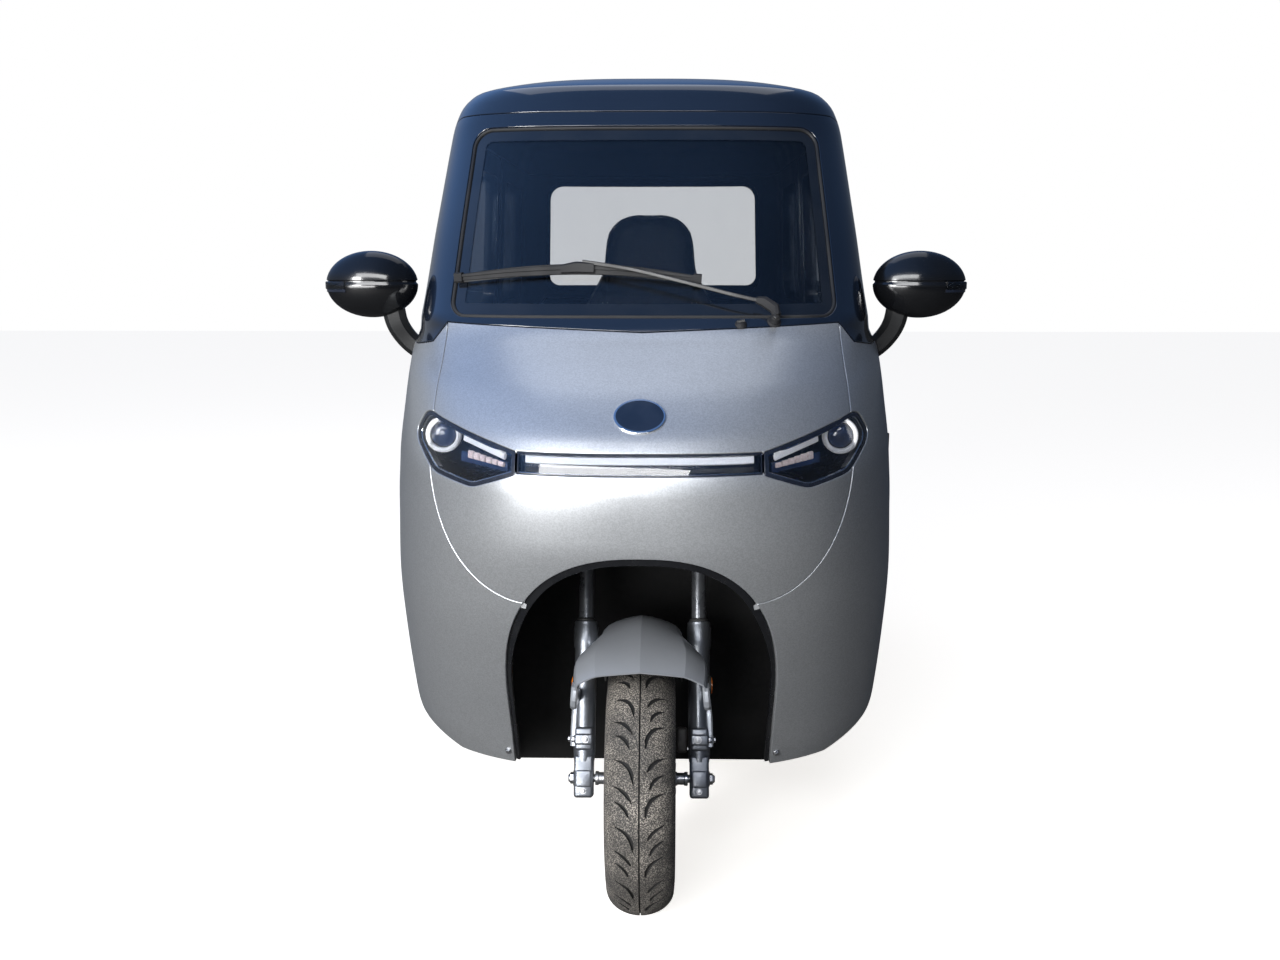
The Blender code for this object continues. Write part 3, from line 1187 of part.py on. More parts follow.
# The back's outline on its +X side, seen from the front, with its corner radii
SEAT_BACK_SIDE = (
    (0.215, cushion_top + 0.0005, 0.030),
    (0.205, 1.010, 0.080),
    (0.130, 1.140, 0.100),
    (0.110, 1.290, 0.080),
)
SEAT_BACK_SPAN = (SEAT_STATION + 0.240, SEAT_STATION + 0.325)
back_side = [(-x, z, radius) for x, z, radius in reversed(SEAT_BACK_SIDE)]
back_outline = rounded([*SEAT_BACK_SIDE, *back_side], 3)
add_object("seat_back", prism_mesh("seat_back", back_outline, "Y", *SEAT_BACK_SPAN), SEAT_COVER)

# Mirrors on curved arms from the front side panels: an ellipsoid pod cut flat behind for its glass
MIRROR_CENTRE = (0.530, 0.300, 1.121)
MIRROR_RADII = (0.091, 0.048, 0.064)
MIRROR_FACE = 0.322
MIRROR_ARM_RADIUS = 0.015
MIRROR_ARM = (
    (0.446, 0.320, 0.972),
    (0.458, 0.319, 1.010),
    (0.474, 0.314, 1.047),
    (0.503, 0.302, 1.090),
)
body_solid = add_object("body_solid", skin_mesh("body_solid", -FIT, True), None, cutters)
for side_name, sign in SIDES:
    pod_x, pod_station, pod_z = MIRROR_CENTRE
    pod_work = bmesh.new()
    bmesh.ops.create_uvsphere(pod_work, u_segments=16, v_segments=10, radius=1.0)
    pod_place = Matrix.Translation((sign * pod_x, station_y(pod_station), pod_z))
    pod_size = Matrix.Diagonal((*MIRROR_RADII, 1))
    bmesh.ops.transform(pod_work, matrix=pod_place @ pod_size, verts=pod_work.verts)
    face_at = Vector((0, station_y(MIRROR_FACE), 0))
    geometry = pod_work.verts[:] + pod_work.edges[:] + pod_work.faces[:]
    bmesh.ops.bisect_plane(pod_work, geom=geometry, plane_co=face_at, plane_no=(0, 1, 0), clear_outer=True)
    bmesh.ops.holes_fill(pod_work, edges=pod_work.edges)
    pod_mesh = mesh_from(f"pod_{side_name}", pod_work, math.radians(35))
    pod = add_object(f"pod_{side_name}", pod_mesh, BLACK_PAINT)
    arm_points = [(sign * x, station_y(station), z) for x, station, z in MIRROR_ARM]
    arm = tube(f"arm_{side_name}", arm_points, MIRROR_ARM_RADIUS, BLACK_PLASTIC)
    cut(united(f"mirror_{side_name}", [pod, arm], BLACK_PAINT), body_solid)

# Door handles
handle_stations = (HANDLE_STATION + HANDLE_SPAN[0], HANDLE_STATION + HANDLE_SPAN[1])
handle_tall = (HANDLE_Z - HANDLE_HALF, HANDLE_Z + HANDLE_HALF)
for side_name, sign in SIDES:
    span = sorted(sign * x for x in HANDLE_X)
    handle_mesh = box_mesh(f"door_handle_{side_name}", span, handle_stations, handle_tall, 0.006)
    cut(add_object(f"door_handle_{side_name}", handle_mesh, BLACK_PLASTIC), body_solid)


# Wiper, lying on the windscreen
def front_point(x, z, lift):
    """A point on the front of the skin, lifted forwards."""
    columns = range(1, 6)
    nose_at, half_at, tail_at, depth_at, power_at = (smooth_value(c, z) for c in columns)
    along = (1 - (abs(x) / half_at) ** power_at) ** (1 / power_at)
    return Vector((x, station_y(nose_at + depth_at * (1 - along) - lift), z))


WIPER_PIVOT = (0.232, 1.060)
WIPER_BLADE = (-0.334, 0.107, 1.131)
WIPER_JOINT = (-0.126, 1.134)
WIPER_RADIUS = 0.006
blade_start, blade_end, blade_z = WIPER_BLADE
blade_xs = [blade_start + (blade_end - blade_start) * step / 6 for step in range(7)]
blade_points = [front_point(x, blade_z, WIPER_RADIUS / 2) for x in blade_xs]
arm_points = [
    front_point(*WIPER_PIVOT, 2 * WIPER_RADIUS),
    front_point(0.060, 1.108, 0.020),
    front_point(*WIPER_JOINT, WIPER_RADIUS),
]
boss_points = [front_point(*WIPER_PIVOT, -0.010), front_point(*WIPER_PIVOT, 0.014)]
blade = tube("blade", blade_points, WIPER_RADIUS, BLACK_PLASTIC, sides=1)
arm = tube("wiper_arm", arm_points, WIPER_RADIUS, BLACK_PLASTIC, sides=1)
boss = tube("wiper_boss", boss_points, 1.5 * WIPER_RADIUS, BLACK_PLASTIC)
wiper = united("wiper", [blade, arm, boss], BLACK_PLASTIC)
cut(wiper, body_solid)


# Moving pieces turn about their own origins, which stand on their joints' axes
def set_origin(name, place):
    moving = bpy.data.objects[name]
    shift = Matrix.Translation(place)
    moving.data.transform(shift.inverted() @ moving.matrix_world)
    moving.matrix_world = shift


for side_name, sign in SIDES:
    hinge_foot = Vector((sign * DOOR_HINGE_X, station_y(DOOR_HINGE_STATION), DOOR_HINGE_HEIGHTS[0]))
    for label in ("door_panel", "door_glass", "door_handle"):
        set_origin(f"{label}_{side_name}", hinge_foot)
set_origin("boot_lid", Vector((0, station_y(BOOT_HINGE[0]), BOOT_HINGE[1])))
for name in ("fork_crown", "front_fender", "handlebar", "brake_caliper"):
    set_origin(name, fork_foot)
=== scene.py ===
"""Looks of the enclosed electric tricycle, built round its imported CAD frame."""

from math import atan2, copysign, cos, degrees, dist, pi, radians, sin, sqrt, tan, tau

import bmesh
import bpy
import numpy as np
from bmesh.types import BMEdge, BMFace, BMVert
from mathutils import Matrix, Vector
from mathutils.bvhtree import BVHTree
from mathutils.geometry import delaunay_2d_cdt


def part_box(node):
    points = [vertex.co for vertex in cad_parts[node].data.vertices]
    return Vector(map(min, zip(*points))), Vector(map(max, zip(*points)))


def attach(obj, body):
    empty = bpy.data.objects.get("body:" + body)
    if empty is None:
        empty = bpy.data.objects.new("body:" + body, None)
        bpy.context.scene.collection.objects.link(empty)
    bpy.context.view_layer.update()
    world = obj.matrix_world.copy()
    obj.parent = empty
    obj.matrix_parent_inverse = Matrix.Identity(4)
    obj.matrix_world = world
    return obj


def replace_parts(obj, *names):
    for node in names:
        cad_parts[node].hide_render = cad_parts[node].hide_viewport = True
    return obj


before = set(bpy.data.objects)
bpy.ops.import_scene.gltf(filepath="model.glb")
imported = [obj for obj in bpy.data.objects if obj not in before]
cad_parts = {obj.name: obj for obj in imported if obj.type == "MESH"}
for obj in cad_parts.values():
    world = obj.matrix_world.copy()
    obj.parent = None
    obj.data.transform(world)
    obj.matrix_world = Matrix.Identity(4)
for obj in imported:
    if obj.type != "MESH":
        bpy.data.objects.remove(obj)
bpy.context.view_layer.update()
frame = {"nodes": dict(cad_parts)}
nodes = frame["nodes"]


# Chassis frame. Two bent steel rails, cross tubes, a down tube and the steering head, welded and coated
# black. The tubes are swept along the centre lines of the CAD frame, with a weld bead at each joint.
def feed(tree, sockets, values):
    """Gives sockets plain values, or links from other nodes."""
    for socket, value in values.items():
        if isinstance(value, bpy.types.NodeSocket):
            tree.links.new(value, sockets[socket])
        else:
            sockets[socket].default_value = value


def add_node(tree, kind, values=None, **settings):
    """The outputs of a new node, once its settings and inputs are in place."""
    made = tree.nodes.new(kind)
    for name, value in settings.items():
        setattr(made, name, value)
    feed(tree, made.inputs, values or {})
    return made.outputs


def finish(name, colour, roughness, **values):
    """A material whose plain values sit on the shader's own sockets."""
    made = bpy.data.materials.new(name)
    made.use_nodes = True
    tree = made.node_tree
    shader = tree.nodes["Principled BSDF"].inputs
    values = {label.replace("_", " ").replace("Ior", "IOR"): value for label, value in values.items()}
    feed(tree, shader, {"Base Color": (*colour, 1), "Roughness": roughness, **values})
    return made, tree, shader


def new_group(name, inputs, outputs):
    """A node group whose inputs are given as name and start value, and outputs as name and kind."""
    tree = bpy.data.node_groups.new(name, "ShaderNodeTree")
    for label, value in inputs.items():
        kind = {float: "NodeSocketFloat", tuple: "NodeSocketColor", str: "NodeSocketVector"}[type(value)]
        socket = tree.interface.new_socket(label, in_out="INPUT", socket_type=kind)
        if kind != "NodeSocketVector":
            socket.default_value = value
    for label, kind in outputs.items():
        tree.interface.new_socket(label, in_out="OUTPUT", socket_type=kind)
    return tree, tree.nodes.new("NodeGroupInput").outputs, tree.nodes.new("NodeGroupOutput").inputs


def mixed(tree, share, first, second, colour=True):
    """Two colours, or two numbers, mixed by a share."""
    low, high, result = (6, 7, 2) if colour else (2, 3, 0)
    values = {0: share, low: first, high: second}
    return add_node(tree, "ShaderNodeMix", values, data_type="RGBA" if colour else "FLOAT")[result]


def ramp(tree, value, low, high, first=0.0, last=1.0):
    values = {"Value": value, "From Min": low, "From Max": high, "To Min": first, "To Max": last}
    return add_node(tree, "ShaderNodeMapRange", values, interpolation_type="SMOOTHSTEP")["Result"]


def noise(tree, place, scale, detail=3.0):
    return add_node(tree, "ShaderNodeTexNoise", {"Vector": place, "Scale": scale, "Detail": detail})["Fac"]


def maths(tree, operation, first, second=0.0):
    return add_node(tree, "ShaderNodeMath", {0: first, 1: second}, operation=operation)[0]


def times(tree, first, second):
    return maths(tree, "MULTIPLY", first, second)


def object_place(tree):
    return add_node(tree, "ShaderNodeTexCoord")["Object"]


def relief(tree, shader, height, distance, strength=1.0):
    bump = add_node(tree, "ShaderNodeBump", {"Height": height, "Distance": distance, "Strength": strength})
    tree.links.new(bump["Normal"], shader["Normal"])


# Worn: a finish that is uneven between two shades, and dusty below a height
worn, given, result = new_group(
    "worn_and_dusty",
    {"Place": "", "Scale": 8.0, "Shade A": (0.5, 0.5, 0.5, 1.0), "Shade B": (0.4, 0.4, 0.4, 1.0),
     "Rough A": 0.3, "Rough B": 0.5, "Dust Top": 0.5, "Dust": 0.5, "Dust Shade": (0.16, 0.135, 0.11, 1.0)},
    {"Colour": "NodeSocketColor", "Roughness": "NodeSocketFloat", "Dust": "NodeSocketFloat"},
)
uneven = ramp(worn, noise(worn, given["Place"], given["Scale"], 5.0), 0.35, 0.65)
height = add_node(worn, "ShaderNodeSeparateXYZ", {0: given["Place"]})["Z"]
low_down = ramp(worn, height, given["Dust Top"], 0.0)
speckle = ramp(worn, noise(worn, given["Place"], 42.0, 8.0), 0.35, 0.75, 0.35)
patches = ramp(worn, noise(worn, given["Place"], 6.0, 4.0), 0.3, 0.7, 0.3)
dust_here = times(worn, times(worn, low_down, given["Dust"]), times(worn, speckle, patches))
shades = mixed(worn, uneven, given["Shade A"], given["Shade B"])
sheens = mixed(worn, uneven, given["Rough A"], given["Rough B"], False)
worn.links.new(mixed(worn, dust_here, shades, given["Dust Shade"]), result["Colour"])
worn.links.new(mixed(worn, dust_here, sheens, 0.9, False), result["Roughness"])
worn.links.new(dust_here, result["Dust"])


def from_group(tree, group, values):
    return add_node(tree, "ShaderNodeGroup", values, node_tree=group)


def worn_finish(name, shade_a, shade_b, rough_a, rough_b, scale=8.0, dust=0.5, dust_top=0.5, **values):
    """A material with uneven colour and sheen, and dust that settles on its lower parts."""
    made, tree, shader = finish(name, shade_a, rough_a, **values)
    place = object_place(tree)
    found = from_group(tree, worn, {"Place": place, "Scale": scale, "Shade A": (*shade_a, 1),
        "Shade B": (*shade_b, 1), "Rough A": rough_a, "Rough B": rough_b, "Dust": dust, "Dust Top": dust_top})
    feed(tree, shader, {"Base Color": found["Colour"], "Roughness": found["Roughness"]})
    return made, tree, shader, place


def coated(name, grain, *values, **settings):
    """A worn finish with a fine relief: its scale, detail, depth and strength."""
    made, tree, shader, place = worn_finish(name, *values, **settings)
    relief(tree, shader, noise(tree, place, *grain[:2]), *grain[2:])
    return made


def vec(*values):
    return Vector(values)


def mm(*rows):
    """Rows of lengths given in millimetres."""
    return [tuple(value / 1000 for value in row) for row in rows]


def only(items, kind):
    return [item for item in items if isinstance(item, kind)]


def weld(work, reach=1e-6):
    bmesh.ops.remove_doubles(work, verts=work.verts, dist=reach)


def bevelled(part, edges, offset, segments=2):
    bmesh.ops.bevel(part, geom=edges, affect="EDGES", offset=offset, segments=segments, profile=0.5,
        material=-1)


def mirrored(work):
    """Turns a mesh for the +X side into the one for the -X side."""
    bmesh.ops.scale(work, vec=(-1, 1, 1), verts=work.verts)
    bmesh.ops.reverse_faces(work, faces=work.faces)


def as_mesh(name, work):
    mesh = bpy.data.meshes.new(name)
    work.to_mesh(mesh)
    work.free()
    return mesh


def linked(name, data):
    made = bpy.data.objects.new(name, data)
    bpy.context.scene.collection.objects.link(made)
    return made


def fitted(made, body, slot, *nodes):
    """Puts a piece on the body it rides on, with the CAD nodes it stands for hidden; its kind of material,
    slot, is not used.
    """
    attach(made, body)
    if nodes:
        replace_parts(made, *nodes)


def gather(work, part, place=None, index=0):
    """Adds a part to a piece's mesh, at its place and with its material."""
    weld(part)
    bmesh.ops.recalc_face_normals(part, faces=part.faces)
    if place is not None:
        bmesh.ops.transform(part, matrix=place, verts=part.verts)
    if index is not None:
        for face in part.faces:
            face.material_index = index
    mesh = as_mesh("part", part)
    work.from_mesh(mesh)
    bpy.data.meshes.remove(mesh)


def add_piece(name, work, surfaces, body, slot, replaces=(), angle=35):
    """The finished mesh as an object that rides on a body."""
    mesh = as_mesh(name, work)
    mesh.shade_smooth()
    mesh.set_sharp_from_angle(angle=radians(angle))
    for surface in surfaces:
        mesh.materials.append(surface)
    fitted(linked(name, mesh), body, slot, *replaces)


def towards(start, way):
    """A place at start whose Z points along a way."""
    turn = vec(0, 0, 1).rotation_difference(Vector(way)).to_matrix().to_4x4()
    return Matrix.Translation(start) @ turn


def is_level(edge):
    return abs(edge.verts[0].co.z - edge.verts[1].co.z) < 1e-6


def rod(work, start, end, radius, sides=24, bevel=0.0008, index=0):
    part = bmesh.new()
    way = Vector(end) - Vector(start)
    bmesh.ops.create_cone(part, cap_ends=True, segments=sides, radius1=radius, radius2=radius,
        depth=way.length)
    bmesh.ops.translate(part, vec=(0, 0, way.length / 2), verts=part.verts)
    if bevel:
        bevelled(part, [e for e in part.edges if is_level(e)], bevel)
    gather(work, part, towards(start, way), index)


def spun(work, profile, place, steps=48, index=0, closed=False):
    """A profile of radius and height turned about the Z axis of its place."""
    part = bmesh.new()
    points = [part.verts.new((radius, 0, height)) for radius, height in profile]
    pairs = list(zip(points, points[1:] + points[:1]))
    edges = [part.edges.new(pair) for pair in (pairs if closed else pairs[:-1])]
    bmesh.ops.spin(part, geom=points + edges, cent=(0, 0, 0), axis=(0, 0, 1), angle=tau, steps=steps,
        use_merge=True)
    bmesh.ops.dissolve_degenerate(part, dist=1e-6, edges=part.edges)
    gather(work, part, place, index)


def slab(work, x_span, y_span, z_span, bevel=0.002, place=None, index=0, segments=3):
    part = bmesh.new()
    bmesh.ops.create_cube(part, size=1)
    spans = (x_span, y_span, z_span)
    size = Matrix.Diagonal([abs(high - low) for low, high in spans] + [1])
    centre = Matrix.Translation([(high + low) / 2 for low, high in spans])
    bmesh.ops.transform(part, matrix=centre @ size, verts=part.verts)
    if bevel:
        bevelled(part, part.edges, bevel, segments)
    gather(work, part, place, index)


def smooth_path(points, steps=8):
    """A smooth line through points, as Catmull-Rom spans."""
    points = [Vector(point) for point in points]
    ends = [2 * points[0] - points[1], *points, 2 * points[-1] - points[-2]]
    path = []
    for a, b, c, d in zip(ends, ends[1:], ends[2:], ends[3:]):
        for t in (step / steps for step in range(steps)):
            curve = 2 * b + (c - a) * t + (2 * a - 5 * b + 4 * c - d) * t**2 + (3 * b - a - 3 * c + d) * t**3
            path.append(0.5 * curve)
    return path + [points[-1]]


def eased(points, radius, steps=6):
    """A path whose inner corners are bends of about a radius."""
    points = [Vector(point) for point in points]
    path = [points[0]]
    for before, corner, after in zip(points, points[1:], points[2:]):
        back, ahead = before - corner, after - corner
        reach = min(radius, back.length * 0.45, ahead.length * 0.45)
        first, last = corner + back.normalized() * reach, corner + ahead.normalized() * reach
        for t in (step / steps for step in range(steps + 1)):
            path.append(first * (1 - t) ** 2 + corner * 2 * t * (1 - t) + last * t**2)
    return path + [points[-1]]


def along_path(path):
    """The direction of a path at each of its points."""
    return [(after - before).normalized() for before, after in zip([path[0], *path], [*path[1:], path[-1]])]


def swept(work, path, radius, sides=16, index=0):
    """A tube along a path: a circle extruded from place to place, with closed ends."""
    path = [Vector(point) for point in path]
    tangents = along_path(path)
    side = tangents[0].orthogonal().normalized()
    places = []
    for point, along in zip(path, tangents):
        side = (side - along * side.dot(along)).normalized()
        turn = Matrix((side, along.cross(side), along)).transposed().to_4x4()
        places.append(Matrix.Translation(point) @ turn)
    part = bmesh.new()
    bmesh.ops.create_circle(part, cap_ends=True, segments=sides, radius=radius)
    edges = part.edges[:]
    bmesh.ops.transform(part, matrix=places[0], verts=part.verts)
    for before, after in zip(places, places[1:]):
        raised = bmesh.ops.extrude_edge_only(part, edges=edges)["geom"]
        edges = only(raised, BMEdge)
        bmesh.ops.transform(part, matrix=after @ before.inverted(), verts=only(raised, BMVert))
    bmesh.ops.contextual_create(part, geom=edges)
    gather(work, part, None, index)


def bead(work, centre, along, radius, wire=0.0028, index=0):
    """A weld bead round a tube's end."""
    rounds = [(radius + wire * cos(a), wire * sin(a)) for a in (k * pi / 4 for k in range(8))]
    spun(work, rounds, towards(centre, along), 28, index, closed=True)


def bolt(work, centre, along, radius=0.007, height=0.005, index=0, washer=True):
    """A hexagon bolt head on its washer, standing on a face."""
    place = towards(centre, along)
    if washer:
        ring = [(0, 0), (radius * 1.35, 0), (radius * 1.4, 0.0006), (radius * 1.3, 0.0014), (0, 0.0014)]
        spun(work, ring, place, 24, index)
    part = bmesh.new()
    bmesh.ops.create_cone(part, cap_ends=True, segments=6, radius1=radius, radius2=radius, depth=height)
    bmesh.ops.translate(part, vec=(0, 0, height / 2 + (0.0012 if washer else 0)), verts=part.verts)
    bevelled(part, [e for e in part.edges if min(v.co.z for v in e.verts) > height * 0.9], radius * 0.14)
    gather(work, part, place, index)


def middle_of(node):
    low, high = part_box(node)
    return (low + high) / 2


FRONT_AXLE_Y = middle_of("front_tyre").y
WHEELBASE = middle_of("rear_left_tyre").y - FRONT_AXLE_Y
AXLE_Z = middle_of("front_tyre").z
RAKE = radians(20)
FORK_OFFSET = 0.035
FLOOR_Z, DECK_Z, DECK_WALL = 0.262, 0.516, 0.014
RAIL_X, RAIL_RADIUS, CROSS_RADIUS, DOWN_RADIUS = 0.245, 0.018, 0.014, 0.017
RAIL_LOW, RAIL_HIGH = FLOOR_Z - RAIL_RADIUS - 0.0005, DECK_Z - DECK_WALL - RAIL_RADIUS - 0.0005
RAIL_STATIONS = ((0.4, RAIL_LOW), (WHEELBASE - 0.255, RAIL_LOW), (WHEELBASE - 0.145, RAIL_HIGH),
    (WHEELBASE + 0.33, RAIL_HIGH))
CROSS_STATIONS = ((0.415, RAIL_LOW), (WHEELBASE - 0.29, RAIL_LOW), (WHEELBASE - 0.11, RAIL_HIGH),
    (WHEELBASE + 0.315, RAIL_HIGH))
HEAD_Z, HEAD_LENGTH, HEAD_RADIUS, HEAD_BORE = 0.545, 0.105, 0.026, 0.015
DOWN_STATION = 0.369
FORK = Matrix.Translation((0, FRONT_AXLE_Y + FORK_OFFSET * cos(RAKE), AXLE_Z - FORK_OFFSET * sin(RAKE)))
FORK = FORK @ Matrix.Rotation(-RAKE, 4, "X")

black_steel = coated("black_steel", (240.0, 2.0, 0.0004, 0.5), (0.013, 0.013, 0.014), (0.024, 0.023, 0.022),
    0.38, 0.52, 11.0, 0.85, 0.62)


def at(x, station, z):
    return vec(x, FRONT_AXLE_Y + station, z)


work = bmesh.new()
for side in (-1, 1):
    swept(work, eased([at(side * RAIL_X, s, z) for s, z in RAIL_STATIONS], 0.06), RAIL_RADIUS - 0.0003, 20)
for station, z in CROSS_STATIONS:
    rod(work, at(-RAIL_X, station, z), at(RAIL_X, station, z), CROSS_RADIUS, 20, 0)
    for side in (-1, 1):
        bead(work, at(side * (RAIL_X - RAIL_RADIUS), station, z), (1, 0, 0), CROSS_RADIUS)
head_back = FORK @ vec(0, HEAD_RADIUS * 0.6, HEAD_Z + HEAD_LENGTH * 0.75)
down_y = FRONT_AXLE_Y + DOWN_STATION
down_path = [head_back, (0, down_y, head_back.z - 0.01), (0, down_y, RAIL_LOW), at(0, CROSS_STATIONS[0][0],
    RAIL_LOW)]
swept(work, eased(down_path, 0.016, 4), DOWN_RADIUS - 0.0005, 18)
head_profile = [
    (HEAD_BORE, 0), (HEAD_RADIUS - 0.001, 0), (HEAD_RADIUS, 0.002), (HEAD_RADIUS, 0.016),
    (HEAD_RADIUS - 0.003, 0.018),
    (HEAD_RADIUS - 0.003, HEAD_LENGTH - 0.018), (HEAD_RADIUS, HEAD_LENGTH - 0.016),
    (HEAD_RADIUS, HEAD_LENGTH - 0.002),
    (HEAD_RADIUS - 0.001, HEAD_LENGTH), (HEAD_BORE, HEAD_LENGTH),
]
spun(work, head_profile, FORK @ Matrix.Translation((0, 0, HEAD_Z)), 40, closed=True)
add_piece("chassis_tubes", work, [black_steel], "body", "black_steel", ["chassis_frame"])


# Traction battery. A pressed steel tray and lid bolted together round a flange, hung between the rails,
# with stiffening ribs pressed into its floor and a plug for the cabin's wiring at the rear.
battery_low, battery_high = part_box("battery_box")
battery_black = coated("battery_black", (160.0, 3.0, 0.0006, 0.6), (0.02, 0.02, 0.021), (0.035, 0.034, 0.032),
    0.5, 0.65, 9.0, 0.9, 0.45)
bright_zinc = coated("bright_zinc", (420.0, 2.0, 0.0002, 0.4), (0.52, 0.52, 0.53), (0.4, 0.41, 0.42), 0.28,
    0.45, 60.0, 0.5, 0.5, Metallic=1.0)
work = bmesh.new()
x0, y0, z0 = battery_low
x1, y1, z1 = battery_high
flange_z = z1 - 0.034
slab(work, (x0 + 0.014, x1 - 0.014), (y0 + 0.014, y1 - 0.014), (z0 + 0.004, z1), 0.012)
slab(work, (x0, x1), (y0, y1), (flange_z - 0.006, flange_z), 0.0025)
RIBS = 6
for index in range(RIBS):
    y = y0 + 0.08 + (y1 - y0 - 0.16) * index / (RIBS - 1)
    slab(work, (x0 + 0.045, x1 - 0.045), (y - 0.022, y + 0.022), (z0, z0 + 0.012), 0.0045)
BOLTS = 7
for index in range(BOLTS):
    y = y0 + 0.03 + (y1 - y0 - 0.06) * index / (BOLTS - 1)
    for x in (x0 + 0.007, x1 - 0.007):
        bolt(work, (x, y, flange_z - 0.006), (0, 0, -1), 0.0045, 0.004, 1)
swept(work, [(0.08, y1 - 0.016, z0 + 0.05), (0.08, y1 - 0.002, z0 + 0.05)], 0.016, 20)
add_piece("battery_tray", work, [battery_black, bright_zinc], "body", "black_plastic", ["battery_box"])


# Rear axle. A steel tube with the motor's finned housing in its middle and a brake back plate at each end,
# welded to two trailing arms that pivot in rubber bushes on the frame.
cast_alloy = coated("cast_alloy", (330.0, 3.0, 0.0003, 0.55), (0.5, 0.51, 0.53), (0.4, 0.41, 0.43), 0.32,
    0.46, 14.0, 0.55, 0.48, Metallic=0.85)
REAR_TRACK, HUB_HALF = 0.8, 0.056
WHEEL_X = REAR_TRACK / 2
DRUM_FACE = WHEEL_X - HUB_HALF - 0.002
rear_centre = at(0, WHEELBASE, AXLE_Z)
REAR_PLACE = Matrix.Translation(rear_centre) @ Matrix.Rotation(pi / 2, 4, "Y")
work = bmesh.new()
for side in (-1, 1):
    place = REAR_PLACE if side > 0 else REAR_PLACE @ Matrix.Rotation(pi, 4, "X")
    stub = 2 * HUB_HALF
    drum = [
        (0, DRUM_FACE + stub - 0.002), (0.0085, DRUM_FACE + stub - 0.002), (0.0092, DRUM_FACE + stub - 0.003),
        (0.0092, DRUM_FACE), (0.068, DRUM_FACE), (0.072, DRUM_FACE - 0.003), (0.0735, DRUM_FACE - 0.008),
        (0.0735, DRUM_FACE - 0.02), (0.07, DRUM_FACE - 0.024), (0.045, DRUM_FACE - 0.026),
        (0.04, DRUM_FACE - 0.032),
        (0.028, DRUM_FACE - 0.036), (0.0255, DRUM_FACE - 0.042), (0.0255, 0.132),
    ]
    spun(work, drum, place, 48)
    for index in range(6):
        turn = tau * index / 6
        head = place @ vec(0.056 * cos(turn), 0.056 * sin(turn), DRUM_FACE - 0.0245)
        bolt(work, head, (-side, 0, 0), 0.0045, 0.0035, 1)
    slab(work, (side * (DRUM_FACE - 0.033), side * (DRUM_FACE - 0.027)),
        (rear_centre.y + 0.02, rear_centre.y + 0.062), (AXLE_Z + 0.01, AXLE_Z + 0.024), 0.002, None, 1)
motor = [(0.0255, -0.133)]
for step in range(8):
    x = -0.1 + step * 0.0286
    tall = min(0.0955, 0.08 + 0.0155 * sin(pi * (step + 1) / 9) ** 0.5)
    motor += [(0.074, x - 0.009), (tall, x - 0.006), (tall, x - 0.002), (0.074, x + 0.001)]
motor += [(0.078, 0.118), (0.06, 0.128), (0.0255, 0.133)]
spun(work, motor, REAR_PLACE, 56, 2)
ARM_X, ARM_RADIUS = 0.2, 0.0158
for side in (-1, 1):
    front = at(side * ARM_X, CROSS_STATIONS[1][0] + CROSS_RADIUS + 0.0006, RAIL_LOW)
    back = at(side * ARM_X, WHEELBASE, AXLE_Z)
    rod(work, front, back, ARM_RADIUS, 24, 0.0015)
    bead(work, back - vec(side * 0.0, 0.0255, -0.0008), (0, 1, 0), ARM_RADIUS, 0.003)
add_piece("rear_axle_assembly", work, [black_steel, bright_zinc, cast_alloy], "body", "black_steel",
    ["rear_axle"])


# Rear springs. A painted coil spring over a plated damper on each side, between a cup on the axle tube and
# a cup under the rail.
spring_black = coated("spring_black", (260.0, 2.0, 0.0003, 0.4), (0.016, 0.016, 0.018), (0.03, 0.029, 0.028),
    0.25, 0.4, 20.0, 0.7, 0.5, Coat_Weight=0.4)
for label, side in (("left", -1), ("right", 1)):
    low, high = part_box(f"rear_spring_{label}")
    centre = vec((low.x + high.x) / 2, (low.y + high.y) / 2, 0)
    foot, head = low.z, high.z
    work = bmesh.new()
    upright = Matrix.Translation(centre)
    damper = [(0, foot), (0.012, foot), (0.0165, foot + 0.003), (0.0165, foot + 0.01), (0.011, foot + 0.014),
        (0.011, foot + (head - foot) * 0.55), (0.006, foot + (head - foot) * 0.56), (0.006, head - 0.02),
        (0, head - 0.02)]
    spun(work, damper, upright, 32, 1)
    cup = [(0, head), (0.0185, head), (0.02, head - 0.002), (0.02, head - 0.01), (0.016, head - 0.014),
        (0, head - 0.014)]
    spun(work, cup, upright, 32, 0)
    TURNS, WIRE = 6.5, 0.0037
    coil = []
    for step in range(131):
        share = step / 130
        z = foot + 0.01 + (head - foot - 0.028) * share
        coil.append(centre + vec(0.0218 * cos(tau * TURNS * share), 0.0218 * sin(tau * TURNS * share), z))
    swept(work, coil, WIRE, 12, 0)
    add_piece(f"spring_unit_{label}", work, [spring_black, bright_zinc], "body", "bare_steel",
        [f"rear_spring_{label}"])


# Wheel arch liner, floor, luggage deck, seat box and dash. Black mouldings pressed from one grained sheet,
# seen as plain surfaces: the liner is trimmed into a new piece, and the other CAD nodes stay and take a
# moulded finish with scuffs and road dust.
grain, given, result = new_group("moulded_grain", {"Place": "", "Scale": 260.0, "Depth": 1.0},
    {"Height": "NodeSocketFloat"})
cells = add_node(grain, "ShaderNodeTexVoronoi", {"Vector": given["Place"], "Scale": given["Scale"]},
    feature="SMOOTH_F1")
pebbles = times(grain, cells["Distance"], given["Depth"])
waviness = times(grain, noise(grain, given["Place"], 12.0, 2.0), 0.6)
grain.links.new(maths(grain, "ADD", pebbles, waviness), result["Height"])


